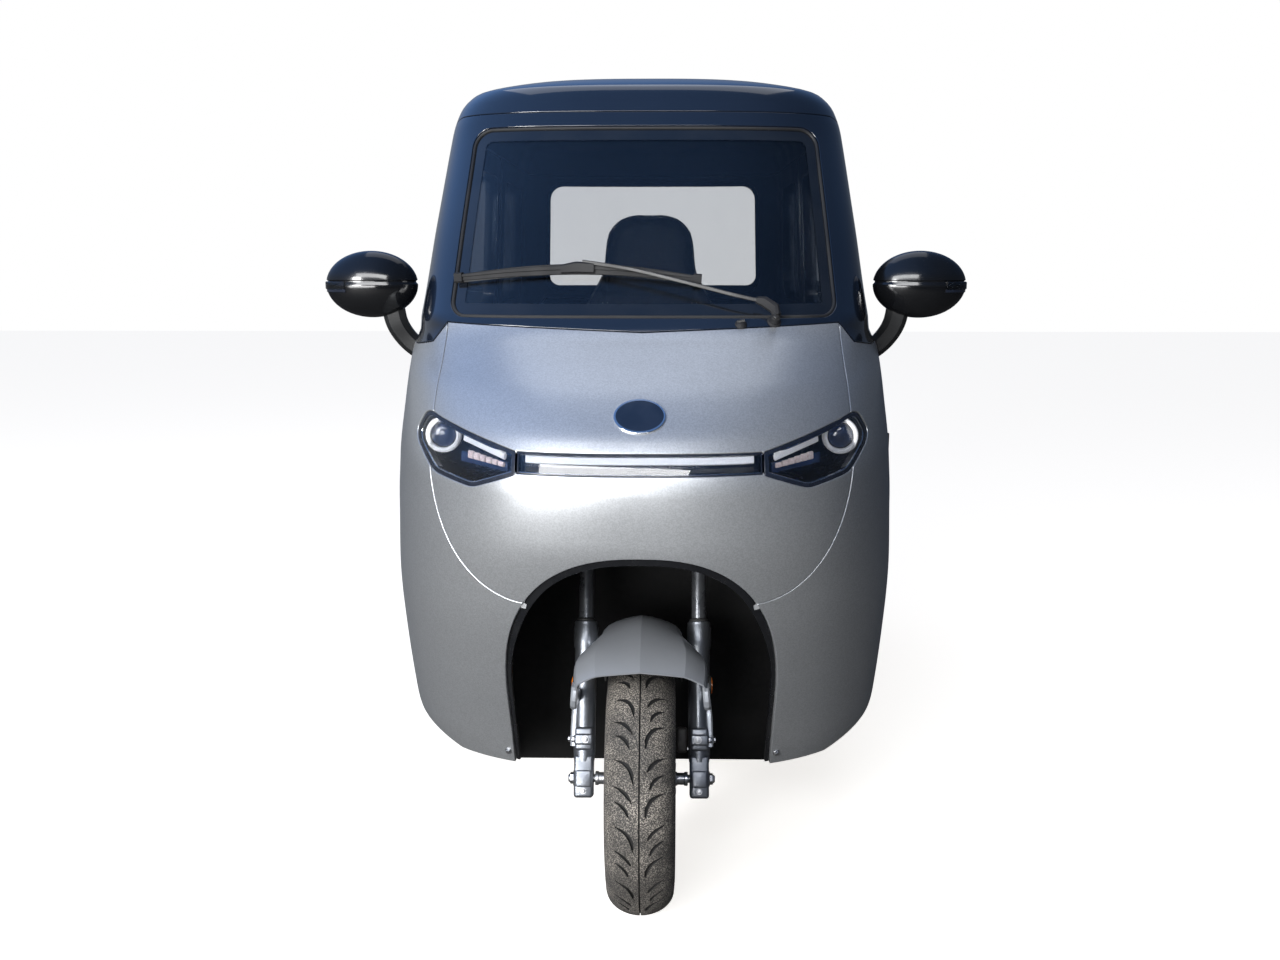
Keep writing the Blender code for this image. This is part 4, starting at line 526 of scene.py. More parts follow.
def moulded(name, shade_a, shade_b, rough_a, rough_b, grain_scale=260.0, depth=0.0005, dust=0.5, dust_top=0.5,
        **values):
    """Moulded plastic with a fine leather grain."""
    made, tree, shader, place = worn_finish(name, shade_a, shade_b, rough_a, rough_b, 9.0, dust, dust_top,
        **values)
    height = from_group(tree, grain, {"Place": place, "Scale": grain_scale, "Depth": 1.0})["Height"]
    relief(tree, shader, height, depth, 0.6)
    return made


black_plastic = moulded("black_plastic", (0.014, 0.014, 0.015), (0.024, 0.024, 0.025), 0.42, 0.58)
floor_plastic = moulded("floor_plastic", (0.016, 0.016, 0.017), (0.03, 0.029, 0.028), 0.55, 0.72, 200.0,
    0.0007, 0.75, 0.6)
dash_plastic = moulded("dash_plastic", (0.03, 0.031, 0.034), (0.04, 0.041, 0.044), 0.5, 0.62, 300.0, 0.0004,
    0.3, 1.0)
work = bmesh.new()
work.from_mesh(nodes["wheel_arch_liner"].data)
weld(work, 1e-5)
# The liner ends just above the lower edge of the nose, and slopes from there to its foot behind the wheel
# Its low foot behind the wheel is painted shade: a dark sheet standing where the shade under the body falls
FOOT = ((-1.0, 0.265), (0.06, 0.265), (0.345, 0.13))
for station, _ in FOOT[1:]:
    bmesh.ops.bisect_plane(work, geom=work.verts[:] + work.edges[:] + work.faces[:],
        plane_co=at(0, station, 0), plane_no=(0, 1, 0), dist=1e-5)
for vert in work.verts:
    vert.co.z = max(vert.co.z, float(np.interp(vert.co.y - FRONT_AXLE_Y, *zip(*FOOT))))
bmesh.ops.dissolve_degenerate(work, dist=1e-5, edges=work.edges)
# The liner is coloured darker than black plastic: painted shade for the dark arch
liner_with_painted_shade = moulded("liner_with_painted_shade", (0.003, 0.003, 0.0034), (0.005, 0.005, 0.0054), 0.7, 0.85, 260.0,
    0.0004, 0.15, 0.3)
add_piece("arch_liner_moulding", work, [liner_with_painted_shade], "body", "black_plastic", ["wheel_arch_liner"])
for node, surface in (("floor_pan", floor_plastic), ("luggage_deck", floor_plastic),
        ("seat_box", black_plastic), ("dash_panel", dash_plastic)):
    for place in nodes[node].material_slots:
        place.material = surface


# Floor mat. A loose ribbed rubber mat in front of the seat, with a raised rim.
mat_rubber = moulded("mat_rubber", (0.018, 0.018, 0.018), (0.032, 0.031, 0.03), 0.7, 0.85, 420.0, 0.0004, 0.9,
    0.6)
MAT_X, MAT_STATIONS, MAT_Z = 0.33, (0.425, 0.835), FLOOR_Z + 0.0225
work = bmesh.new()
y0, y1 = (FRONT_AXLE_Y + s for s in MAT_STATIONS)
slab(work, (-MAT_X, MAT_X), (y0, y1), (MAT_Z, MAT_Z + 0.0025), 0.0008)
for index in range(26):
    x = -MAT_X + 0.034 + index * (2 * MAT_X - 0.068) / 25
    slab(work, (x - 0.006, x + 0.006), (y0 + 0.02, y1 - 0.02), (MAT_Z + 0.001, MAT_Z + 0.0055), 0.0016,
        segments=2)
rim = [(-MAT_X + 0.008, y0 + 0.008), (MAT_X - 0.008, y0 + 0.008), (MAT_X - 0.008, y1 - 0.008),
    (-MAT_X + 0.008, y1 - 0.008)]
for (xa, ya), (xb, yb) in zip(rim, rim[1:] + rim[:1]):
    slab(work, (min(xa, xb) - 0.004, max(xa, xb) + 0.004), (min(ya, yb) - 0.004, max(ya, yb) + 0.004),
        (MAT_Z + 0.001, MAT_Z + 0.006), 0.0015, segments=2)
add_piece("floor_mat", work, [mat_rubber], "body", "black_plastic")


# Seat cushion and seat back. Foam in a dark imitation leather cover, sewn with sunken channels, with piping
# round the edge. Each starts as its CAD solid a little smaller, and swells as cloth under pressure.
seat_cover, tree, shader, place = worn_finish("seat_cover", (0.02, 0.021, 0.024), (0.03, 0.031, 0.034), 0.42,
    0.58, 26.0, 0.0, 0.5, Sheen_Weight=0.15)
hide = add_node(tree, "ShaderNodeTexVoronoi", {"Vector": place, "Scale": 340.0}, feature="DISTANCE_TO_EDGE")
creases = maths(tree, "ADD", ramp(tree, hide["Distance"], 0.0, 0.25),
    times(tree, noise(tree, place, 30.0, 4.0), 1.6))
relief(tree, shader, creases, 0.0007, 0.6)
piping_cover = moulded("piping_cover", (0.11, 0.115, 0.12), (0.14, 0.145, 0.15), 0.45, 0.6, 380.0, 0.0002,
    0.0)
seam_thread = moulded("seam_thread", (0.3, 0.31, 0.32), (0.22, 0.23, 0.24), 0.6, 0.8, 900.0, 0.0002, 0.0)


def padding(name, node, shrink, cap, channels, depth=0.006, width=0.007):
    """The CAD solid swollen into a covered pad, with sewn channels pressed into its front or top.
    A channel is the axis that it is measured along, its place there, and the outward axis and sign."""
    work = bmesh.new()
    work.from_mesh(nodes[node].data)
    weld(work, 1e-5)
    low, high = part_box(node)
    centre, size = (low + high) / 2, high - low
    factor = Matrix.Diagonal([(s - 2 * shrink) / s for s in size] + [1])
    bmesh.ops.transform(work, matrix=Matrix.Translation(centre) @ factor @ Matrix.Translation(-centre),
        verts=work.verts)
    mesh = as_mesh(name, work)
    pad = linked(name, mesh)
    remesh = pad.modifiers.new("remesh", "REMESH")
    remesh.mode = "VOXEL"
    remesh.voxel_size = 0.0055

    def applied():
        graph = bpy.context.evaluated_depsgraph_get()
        graph.update()
        shape = bpy.data.meshes.new_from_object(pad.evaluated_get(graph))
        pad.modifiers.clear()
        pad.data = shape
        return np.array([tuple(v.co) for v in shape.vertices])

    start = applied()
    cloth = pad.modifiers.new("cloth", "CLOTH")
    cover = cloth.settings
    cover.quality, cover.use_pressure, cover.uniform_pressure_force = 4, True, 4.0
    cover.effector_weights.gravity = 0.0
    cover.tension_stiffness, cover.compression_stiffness, cover.bending_stiffness = 12, 12, 2.0
    cloth.point_cache.frame_start, cloth.point_cache.frame_end = 1, 20
    for step in range(1, 21):
        bpy.context.scene.frame_set(step)
    moved = applied() - start
    length = np.linalg.norm(moved, axis=1)[:, None]
    start = start + moved * np.minimum(1, cap / np.maximum(length, 1e-9))
    bpy.context.scene.frame_set(1)
    pad.data.vertices.foreach_set("co", start.astype(np.float32).ravel())
    smoother = pad.modifiers.new("smooth", "SMOOTH")
    smoother.iterations = 6
    divide = pad.modifiers.new("divide", "SUBSURF")
    divide.levels = divide.render_levels = 1
    places = applied()
    normals = np.array([tuple(v.normal) for v in pad.data.vertices])
    for axis, where, out_axis, sign in channels:
        fall = np.exp(-(((places[:, axis] - where) / width) ** 2)) * np.clip(normals[:, out_axis] * sign, 0,
            1)
        places[:, out_axis] -= sign * depth * fall
    pad.data.vertices.foreach_set("co", places.astype(np.float32).ravel())
    pad.data.update()
    pad.data.materials.clear()
    pad.data.materials.append(seat_cover)
    pad.data.shade_smooth()
    fitted(pad, "body", "seat_cover", node)
    return pad


def surface_of(pad):
    mesh = pad.data
    return BVHTree.FromPolygons([v.co for v in mesh.vertices], [tuple(p.vertices) for p in mesh.polygons])


def around(pad, centre, plane, count=120, radius=0.0032):
    """A closed line of piping round a pad, found where rays from its middle leave it."""
    surface = surface_of(pad)
    path = []
    for step in range(count + 1):
        turn = tau * (step % count) / count
        way = plane[0] * cos(turn) + plane[1] * sin(turn)
        hit = surface.ray_cast(Vector(centre) + way * 0.8, -way)[0]
        path.append(hit + way * (radius * 0.25))
    return path


def stitches(work, pad, axis_points, out, count, index=1):
    """Short threads along a channel, dropped on the pad's surface."""
    surface = surface_of(pad)
    first, last = (Vector(point) for point in axis_points)
    for step in range(count):
        ends = []
        for share in ((step + 0.2) / count, (step + 0.75) / count):
            point = first.lerp(last, share)
            hit = surface.ray_cast(point + out * 0.3, -out)[0]
            if hit:
                ends.append(hit + out * 0.0004)
        if len(ends) == 2:
            rod(work, ends[0], ends[1], 0.0007, 6, 0, index)


cushion_low, cushion_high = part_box("seat_cushion")
cushion_pad = padding("seat_cushion_pad", "seat_cushion", 0.006, 0.009, [(0, -0.125, 2, 1), (0, 0.125, 2, 1),
    (1, cushion_low.y + 0.11, 2, 1), (1, cushion_low.y + 0.21, 2, 1)])
back_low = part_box("seat_back")[0]
back_pad = padding("seat_back_pad", "seat_back", 0.006, 0.012, [(0, -0.115, 1, -1), (0, 0.115, 1, -1),
    (2, 0.76, 1, -1), (2, 0.9, 1, -1), (2, 1.085, 1, -1)])
work = bmesh.new()
cushion_middle = (cushion_low + cushion_high) / 2
swept(work, around(cushion_pad, (cushion_middle.x, cushion_middle.y, cushion_high.z - 0.03),
    (vec(1, 0, 0), vec(0, 1, 0))), 0.0032, 10)
for x in (-0.125, 0.125):
    for shift in (-0.006, 0.006):
        ends = ((x + shift, cushion_low.y + 0.03, 0), (x + shift, cushion_high.y - 0.03, 0))
        stitches(work, cushion_pad, [Vector(p) + vec(0, 0, cushion_high.z) for p in ends], vec(0, 0, 1), 48)
add_piece("seat_cushion_piping", work, [piping_cover, seam_thread], "body", "seat_cover")
work = bmesh.new()
swept(work, around(back_pad, (0, back_low.y + 0.022, 0.92), (vec(1, 0, 0), vec(0, 0, 1)), 160), 0.0032, 10)
for x in (-0.115, 0.115):
    for shift in (-0.006, 0.006):
        ends = [vec(x + shift, back_low.y, z) for z in (0.64, 1.06)]
        stitches(work, back_pad, ends, vec(0, -1, 0), 60)
add_piece("seat_back_piping", work, [piping_cover, seam_thread], "body", "seat_cover")


# Body skin. The real body is a set of moulded shells that follow one smooth form, so its level sections are
# repeated here from the part's source, and a flat map of the skin gives every panel its exact place. Along
# the map, run counts round half the body from the nose to the tail, and height is the real height.
# Columns: height, nose station, half width, tail station, nose depth and power, tail depth and power
BODY_SECTIONS = np.array((
    (0.160, 0.080, 0.440, 1.925, 0.42, 2.60, 0.15, 3.2),
    (0.230, 0.045, 0.466, 1.955, 0.46, 2.65, 0.16, 3.2),
    (0.300, 0.010, 0.484, 1.985, 0.50, 2.70, 0.18, 3.2),
    (0.450, -0.085, 0.492, 2.012, 0.58, 2.65, 0.20, 3.2),
    (0.600, -0.172, 0.499, 2.020, 0.72, 2.68, 0.22, 3.2),
    (0.720, -0.218, 0.500, 2.014, 0.84, 2.68, 0.23, 3.2),
    (0.800, -0.226, 0.497, 2.003, 0.86, 2.65, 0.23, 3.2),
    (0.880, -0.200, 0.490, 1.988, 0.84, 2.65, 0.22, 3.2),
    (0.950, -0.130, 0.479, 1.972, 0.72, 2.68, 0.21, 3.2),
    (0.985, -0.070, 0.472, 1.962, 0.62, 2.70, 0.20, 3.2),
    (1.010, -0.020, 0.459, 1.954, 0.50, 2.80, 0.20, 3.2),
    (1.040, 0.036, 0.434, 1.945, 0.33, 3.00, 0.20, 3.2),
    (1.070, 0.068, 0.428, 1.935, 0.27, 3.20, 0.20, 3.2),
    (1.240, 0.214, 0.418, 1.885, 0.25, 3.20, 0.20, 3.2),
    (1.420, 0.369, 0.408, 1.826, 0.25, 3.20, 0.20, 3.2),
    (1.470, 0.400, 0.396, 1.806, 0.25, 3.20, 0.20, 3.2),
    (1.505, 0.425, 0.370, 1.775, 0.26, 3.20, 0.22, 3.0),
    (1.530, 0.500, 0.310, 1.700, 0.28, 3.00, 0.25, 2.8),
    (1.548, 0.640, 0.220, 1.560, 0.28, 2.80, 0.25, 2.6),
    (1.556, 0.860, 0.100, 1.340, 0.20, 2.40, 0.20, 2.4),
))
LEVELS = BODY_SECTIONS[:, 0]
RISES = np.diff(LEVELS)
SLOPES = np.diff(BODY_SECTIONS, axis=0) / RISES[:, None]
steady = SLOPES[:-1] * SLOPES[1:] > 0
middle_slopes = np.where(steady, 2 * SLOPES[:-1] * SLOPES[1:] / np.where(steady, SLOPES[:-1] + SLOPES[1:], 1),
    0)
TANGENTS = np.vstack([SLOPES[:1], middle_slopes, SLOPES[-1:]])
NOSE_RUN, SIDE_RUN, TAIL_RUN = 0.9, 1.28, 0.62
FULL_RUN = NOSE_RUN + SIDE_RUN + TAIL_RUN
PITCH = 0.014
COLUMNS = np.concatenate([
    np.linspace(0, NOSE_RUN, 65)[:-1],
    np.linspace(NOSE_RUN, NOSE_RUN + SIDE_RUN, 45)[:-1],
    np.linspace(NOSE_RUN + SIDE_RUN, FULL_RUN, 41),
])
WALL = 0.026
SEAM = 0.0006
ROLL = 0.0016
shell_facing = {}


def section_at(height):
    """Nose, half width, tail, nose depth, nose power, tail depth and tail power at some heights."""
    height = np.clip(np.asarray(height, float), LEVELS[0], LEVELS[-1])
    index = np.clip(np.searchsorted(LEVELS, height, side="right") - 1, 0, len(RISES) - 1)
    span = RISES[index][..., None]
    t = (height[..., None] - LEVELS[index][..., None]) / span
    row = (2 * t**3 - 3 * t**2 + 1) * BODY_SECTIONS[index] + (t**3 - 2 * t**2 + t) * span * TANGENTS[index]
    row = row + (3 * t**2 - 2 * t**3) * BODY_SECTIONS[index + 1] + (t**3 - t**2) * span * TANGENTS[index + 1]
    return np.moveaxis(row, -1, 0)[1:]


def corner_place(share, power):
    """How far across and along a rounded corner a share of its run is."""
    share = np.clip(share, 0, 1)
    far, near = share ** (power / 2), (1 - share) ** (power / 2)
    angle = np.pi / 2 * far / (far + near)
    return np.sin(angle) ** (2 / power), 1 - np.cos(angle) ** (2 / power)


def corner_share(angle, power):
    part = np.clip(angle / (np.pi / 2), 0, 1)
    ratio = (part / np.maximum(1 - part, 1e-12)) ** (2 / power)
    return ratio / (1 + ratio)


def skin_place(run, height):
    """Across, station and height of places on the flat map, as one array."""
    nose, half, tail, nose_depth, nose_power, tail_depth, tail_power = section_at(height)
    nose_across, nose_along = corner_place(run / NOSE_RUN, nose_power)
    tail_across, tail_along = corner_place((FULL_RUN - run) / TAIL_RUN, tail_power)
    start, end = nose + nose_depth, tail - tail_depth
    side = start + (end - start) * (run - NOSE_RUN) / SIDE_RUN
    across = half * np.where(run < NOSE_RUN, nose_across, np.where(run > NOSE_RUN + SIDE_RUN, tail_across, 1))
    station = np.where(run < NOSE_RUN, nose + nose_depth * nose_along, side)
    station = np.where(run > NOSE_RUN + SIDE_RUN, tail - tail_depth * tail_along, station)
    return np.stack([across, station, np.asarray(height, float) + 0 * run], -1)


def skin_field(across, station, height):
    """Zero on the skin, above zero outside it."""
    nose, half, tail, nose_depth, nose_power, tail_depth, tail_power = section_at(height)
    ahead = np.clip(1 - (station - nose) / nose_depth, 0, None)
    behind = np.clip(1 - (tail - station) / tail_depth, 0, None)
    power = np.where(station < (nose + tail) / 2, nose_power, tail_power)
    return (np.abs(across) / half) ** power + ahead**nose_power + behind**tail_power - 1


def skin_normal(places):
    """The outward direction of the skin at places on it."""
    step = 0.0004
    parts = []
    for axis in range(3):
        shift = np.zeros(3)
        shift[axis] = step
        parts.append(skin_field(*(places + shift).T) - skin_field(*(places - shift).T))
    normal = np.stack(parts, -1)
    normal[places[:, 2] > LEVELS[-1] - 0.0006] = (0, 0, 1)
    return normal / np.linalg.norm(normal, axis=1)[:, None]


def rounded(corners, steps=10):
    """A flat outline whose corners, given as a, b and radius, are turned into arcs."""
    outline = []
    for index, (a, b, radius) in enumerate(corners):
        corner = vec(a, b)
        back = (Vector(corners[index - 1][:2]) - corner).normalized()
        ahead = (Vector(corners[(index + 1) % len(corners)][:2]) - corner).normalized()
        if radius == 0:
            outline.append(corner)
            continue
        half_angle = back.angle(ahead) / 2
        centre = corner + (back + ahead).normalized() * radius / sin(half_angle)
        first = corner + back * radius / tan(half_angle) - centre
        last = corner + ahead * radius / tan(half_angle) - centre
        sweep = first.angle(last)
        for step in range(steps + 1):
            share = step / steps
            turned = first * sin((1 - share) * sweep) + last * sin(share * sweep)
            outline.append(centre + turned / sin(sweep))
    return outline


def grown(outline, distance):
    """The outline moved outwards by a distance, or inwards where it is negative."""
    points = [Vector(point) for point in outline]
    pairs = zip(points, points[1:] + points[:1])
    side = copysign(1.0, sum(p.x * q.y - q.x * p.y for p, q in pairs))
    moved = []
    for index, point in enumerate(points):
        before = (point - points[index - 1]).normalized()
        after = (points[(index + 1) % len(points)] - point).normalized()
        normal_before = vec(before.y, -before.x)
        normal_after = vec(after.y, -after.x)
        along = (normal_before + normal_after).normalized()
        moved.append(point + along * distance * side / along.dot(normal_before))
    return moved


def fine(points, closed=True, pitch=0.006):
    """The same line with a point at least every few millimetres."""
    points = np.array([tuple(point) for point in points], float)
    following = np.roll(points, -1, axis=0)
    result = []
    for point, after in zip(points[: None if closed else -1], following):
        count = max(1, int(np.ceil(np.linalg.norm(after - point) / pitch)))
        result += [point + (after - point) * step / count for step in range(count)]
    return np.array(result if closed else result + [points[-1]])


def front_runs(points, rear=False):
    nose, half, tail, nose_depth, nose_power, tail_depth, tail_power = section_at(points[:, 1])
    power = tail_power if rear else nose_power
    share = corner_share(np.arcsin(np.clip(points[:, 0] / half, 0, 1) ** (power / 2)), power)
    return np.stack([FULL_RUN - TAIL_RUN * share if rear else NOSE_RUN * share, points[:, 1]], -1)


def rear_runs(points):
    return front_runs(points, True)


def side_runs(points):
    nose, half, tail, nose_depth, nose_power, tail_depth, tail_power = section_at(points[:, 1])
    station = points[:, 0]
    ahead = np.clip(1 - (station - nose) / nose_depth, 0, 1)
    behind = np.clip(1 - (tail - station) / tail_depth, 0, 1)
    nose_angle = np.arccos(ahead ** (nose_power / 2))
    tail_angle = np.arccos(behind ** (tail_power / 2))
    start, end = nose + nose_depth, tail - tail_depth
    run = NOSE_RUN + SIDE_RUN * (station - start) / (end - start)
    run = np.where(station < start, NOSE_RUN * corner_share(nose_angle, nose_power), run)
    run = np.where(station > end, FULL_RUN - TAIL_RUN * corner_share(tail_angle, tail_power), run)
    return np.stack([run, points[:, 1]], -1)


def seen_front(outline, distance=0.0):
    """The flat map's polygon for an outline seen from the front, moved outwards by a distance."""
    return front_runs(fine(grown(outline, distance)))


def seen_rear(outline, distance=0.0):
    return rear_runs(fine(grown(outline, distance)))


def seen_side(outline, distance=0.0):
    return side_runs(fine(grown(outline, distance)))


def all_round(line, far_height, distance=0.0):
    """The map's polygon for everything between a line round the whole body and a far height."""
    left = [(-x, z) for x, z in reversed(line[1:])]
    far = line[-1][0]
    closed = left + list(line) + [(far, far_height), (-far, far_height)]
    moved = grown(closed, distance)[len(left): len(left) + len(line)]
    points = fine(moved, closed=False)
    ends = [(FULL_RUN, far_height), (0, far_height)]
    return np.concatenate([front_runs(points), rear_runs(points)[::-1], np.array(ends)])


def inside(polygon, places):
    """Which places lie in a polygon of the flat map."""
    x, y = places[:, 0][:, None], places[:, 1][:, None]
    ax, ay = polygon[:, 0][None], polygon[:, 1][None]
    bx, by = np.roll(polygon[:, 0], -1)[None], np.roll(polygon[:, 1], -1)[None]
    rising = (ay > y) != (by > y)
    meets = ax + (y - ay) * (bx - ax) / np.where(by == ay, 1, by - ay)
    return (np.count_nonzero(rising & (x < meets), axis=1) % 2) == 1


def triangles(loops, levels=(), rows=(), near=1e-7):
    """Points and triangles of a plane that closed loops and a grid's lines are cut into."""
    count = len(levels)
    verts = [(a, b) for b in rows for a in levels]
    edges = [(r * count + i, r * count + i + 1) for r in range(len(rows)) for i in range(count - 1)]
    edges += [(r * count + i, (r + 1) * count + i) for r in range(len(rows) - 1) for i in range(count)]
    for loop in loops:
        first, size = len(verts), len(loop)
        verts += [tuple(point) for point in loop]
        edges += [(first + i, first + (i + 1) % size) for i in range(size)]
    flat, _, faces, *_ = delaunay_2d_cdt([Vector(v) for v in verts], edges, [], 1, near, False)
    return np.array([tuple(v) for v in flat]), faces


def skin_patch(keep, cut, bands=(), pitch=PITCH, levels=None):
    """Vertices and triangles of the skin inside all polygons to keep and outside all to cut, with each
    triangle's band: how many of the band polygons hold it."""
    low = np.max([polygon.min(0) for polygon in keep], axis=0)
    high = np.min([polygon.max(0) for polygon in keep], axis=0)
    columns = COLUMNS[(COLUMNS > low[0] - 0.03) & (COLUMNS < high[0] + 0.03)]
    if pitch < PITCH:
        columns = np.linspace(columns[0], columns[-1], int((columns[-1] - columns[0]) / pitch) + 1)
    if levels is None:
        bottom, top = max(low[1] - pitch, LEVELS[0]), min(high[1] + pitch, LEVELS[-1])
        levels = np.linspace(bottom, top, max(2, int((top - bottom) / pitch) + 1))
    flat, faces = triangles((*keep, *cut, *bands), columns, levels, 1e-6)
    faces = np.array(faces)
    centres = flat[faces].mean(1)
    chosen = np.all([inside(polygon, centres) for polygon in keep], axis=0)
    chosen &= (centres[:, 0] > columns[0]) & (centres[:, 0] < columns[-1])
    chosen &= (centres[:, 1] > levels[0]) & (centres[:, 1] < levels[-1])
    for polygon in cut:
        chosen &= ~inside(polygon, centres)
    band = sum((inside(polygon, centres).astype(int) for polygon in bands), np.zeros(len(faces), int))
    return flat, faces[chosen], band[chosen]


def joined(work, flatness, shape):
    """Pairs of triangles made into quads, within two angles in degrees."""
    bmesh.ops.join_triangles(work, faces=work.faces, cmp_seam=False, cmp_sharp=False, cmp_uvs=False,
        cmp_vcols=False, cmp_materials=True, angle_face_threshold=radians(flatness),
        angle_shape_threshold=radians(shape))


def ways_out(verts):
    """The skin's outward directions at vertices, without a sideways part on the body's middle."""
    places = np.array([tuple(v.co) for v in verts])
    ways = skin_normal(places - (0, FRONT_AXLE_Y, 0))
    ways[np.abs(places[:, 0]) < 1e-6, 0] = 0
    return [Vector(way).normalized() for way in ways]


def shell(name, patch, surfaces, inset=0.0, wall=WALL, roll=ROLL, whole=False, lining=1, cap=False):
    """A closed shell over a patch of the skin: its outer face, a rolled edge, its wall and its inner face.
    It is made for the +X side, and whole mirrors it over the middle of the body first."""
    flat, faces, band = patch
    used, faces = np.unique(faces, return_inverse=True)
    places = skin_place(*flat[used].T)
    normals = skin_normal(places)
    if whole:
        normals[places[:, 0] < 1e-6, 0] = 0
    places = places + (0, FRONT_AXLE_Y, 0) - normals * inset
    work = bmesh.new()
    for side in (1, -1) if whole else (1,):
        verts = [work.verts.new((x * side, y, z)) for x, y, z in places]
        for corners, level in zip(faces.reshape(-1, 3), band):
            work.faces.new([verts[i] for i in corners[::side]]).material_index = int(level)
    weld(work, 2e-6)
    if cap:
        rim = [e for e in work.edges if e.is_boundary and min(v.co.z for v in e.verts) > LEVELS[-1] - 1e-4]
        bmesh.ops.holes_fill(work, edges=rim, sides=0)
    joined(work, 3, 25)
    facing = dict(zip(work.verts, ways_out(work.verts)))
    base = {vert: vert.co.copy() for vert in work.verts}
    work.normal_update()
    sample = work.faces[:][0]
    if sample.normal.dot(facing[sample.verts[0]]) < 0:
        bmesh.ops.reverse_faces(work, faces=work.faces)
    edges = [edge for edge in work.edges if edge.is_boundary]
    tone, outward, shade = {}, {}, dict(facing)
    for edge in edges:
        loop = edge.link_loops[0]
        one, two = loop.vert, loop.link_loop_next.vert
        for vert in (one, two):
            tone[vert] = loop.face.material_index
            way = (two.co - one.co).normalized().cross(facing[vert])
            outward.setdefault(vert, []).append(way.normalized())
    for vert, ways in outward.items():
        total = sum(ways, Vector()).normalized()
        outward[vert] = total / max(0.6, total.dot(ways[0]))
    inner = bmesh.ops.duplicate(work, geom=work.faces[:])["geom"]
    inner_faces, inner_verts = only(inner, BMFace), only(inner, BMVert)
    for vert, way in zip(inner_verts, ways_out(inner_verts)):
        vert.co -= way * wall
        shade[vert] = -way
    bmesh.ops.reverse_faces(work, faces=inner_faces)
    if lining is not None:
        for face in inner_faces:
            face.material_index = lining
    lip = min(0.001, wall / 4)
    steps = [(roll * sin(radians(a)), roll * (1 - cos(radians(a))), a) for a in (30, 60, 90)]
    steps += [(roll, wall - lip, 90), (roll - lip, wall, 180), (0, wall, 180)]
    source = {vert: vert for vert in outward}
    for out, down, angle in steps:
        made = bmesh.ops.extrude_edge_only(work, edges=edges)["geom"]
        edges, follows, turn = only(made, BMEdge), {}, radians(angle)
        for vert in only(made, BMVert):
            old = next(e.other_vert(vert) for e in vert.link_edges if e.other_vert(vert) in source)
            origin = follows[vert] = source[old]
            vert.co = base[origin] + outward[origin] * out - facing[origin] * down
            shade[vert] = facing[origin] * cos(turn) + outward[origin].normalized() * sin(turn)
        for face in only(made, BMFace):
            face.material_index = min(tone[follows[vert]] for vert in face.verts if vert in follows)
        source = follows
    ways = [shade[vert] for vert in work.verts]
    key = work.verts.layers.float_vector.new("facing")
    for vert, way in zip(work.verts, ways):
        vert[key] = way
    weld(work)
    mesh = as_mesh(name, work)
    facing = np.zeros(len(mesh.vertices) * 3, np.float32)
    mesh.attributes["facing"].data.foreach_get("vector", facing)
    mesh.attributes.remove(mesh.attributes["facing"])
    return faced(name, mesh, facing.reshape(-1, 3), surfaces)


def faced(name, mesh, facing, surfaces):
    """An object whose mesh is shaded by the given direction at each vertex."""
    for surface in surfaces:
        mesh.materials.append(surface)
    mesh.shade_smooth()
    mesh.normals_split_custom_set_from_vertices(facing.tolist())
    shell_facing[name] = facing
    return linked(name, mesh)


def other_side(piece, name):
    """The same piece on the -X side."""
    work = bmesh.new()
    work.from_mesh(piece.data)
    mirrored(work)
    return faced(name, as_mesh(name, work), shell_facing[piece.name] * (-1, 1, 1), piece.data.materials)


# Silver panels. Moulded shells sprayed metallic silver under clear lacquer: a nose over the front wheel, a
# front and a rear side each way round the doors, the tail, and the bumper below it.
NOSE_CORNER = (0.18, 0.86)
NOSE_CORNER_REACH = (0.18, 0.252)
HOOD_LINE = mm((0, 1043), (353, 1057), (383, 1022), (426, 1013), (700, 1013))
LOWER_EDGE = mm((0, 232), (350, 236), (430, 266), (480, 284), (700, 284))
LAMP_OUTLINE = mm((199, 866, 3), (372, 914, 20), (401, 868, 28), (352, 817, 40), (275, 803, 40),
    (199, 830, 6))
LIGHT_BAR = mm((-196, 866), (196, 866), (196, 832), (-196, 832))
ARCH_HALF, ARCH_SPRING, ARCH_TOP, ARCH_POWER = 0.24, 0.386, 0.697, 2.55
SIDE_SEAM = 0.52
SILL_Z, DOOR_HEAD_Z, HEADER_Z = 0.337, 1.428, 1.455
DOOR_FRONT, DOOR_REAR, DOOR_GAP, DOOR_REAR_GAP = 0.45, 1.16, 0.007, 0.012
DOOR_OUTLINE = (
    (DOOR_FRONT, SILL_Z + DOOR_GAP, 0.06), (DOOR_REAR, SILL_Z + DOOR_GAP, 0.09),
    (DOOR_REAR, DOOR_HEAD_Z - DOOR_GAP, 0.05), (0.655, DOOR_HEAD_Z - DOOR_GAP, 0.06),
    (DOOR_FRONT, 1.06, 0.06),
)
REAR_ARCH_RADIUS = 0.285
TAIL_SEAM_X, BUMPER_STATION, BUMPER_Z = 0.39, 1.9, 0.5
BOOT_OUTLINE = mm((-340, 560, 60), (340, 560, 60), (340, 965, 50), (-340, 965, 50))
TAIL_LAMP_OUTLINE = mm((405, 660, 20), (468, 660, 20), (460, 900, 20), (405, 900, 20))
EDGE = SEAM / 2 + ROLL

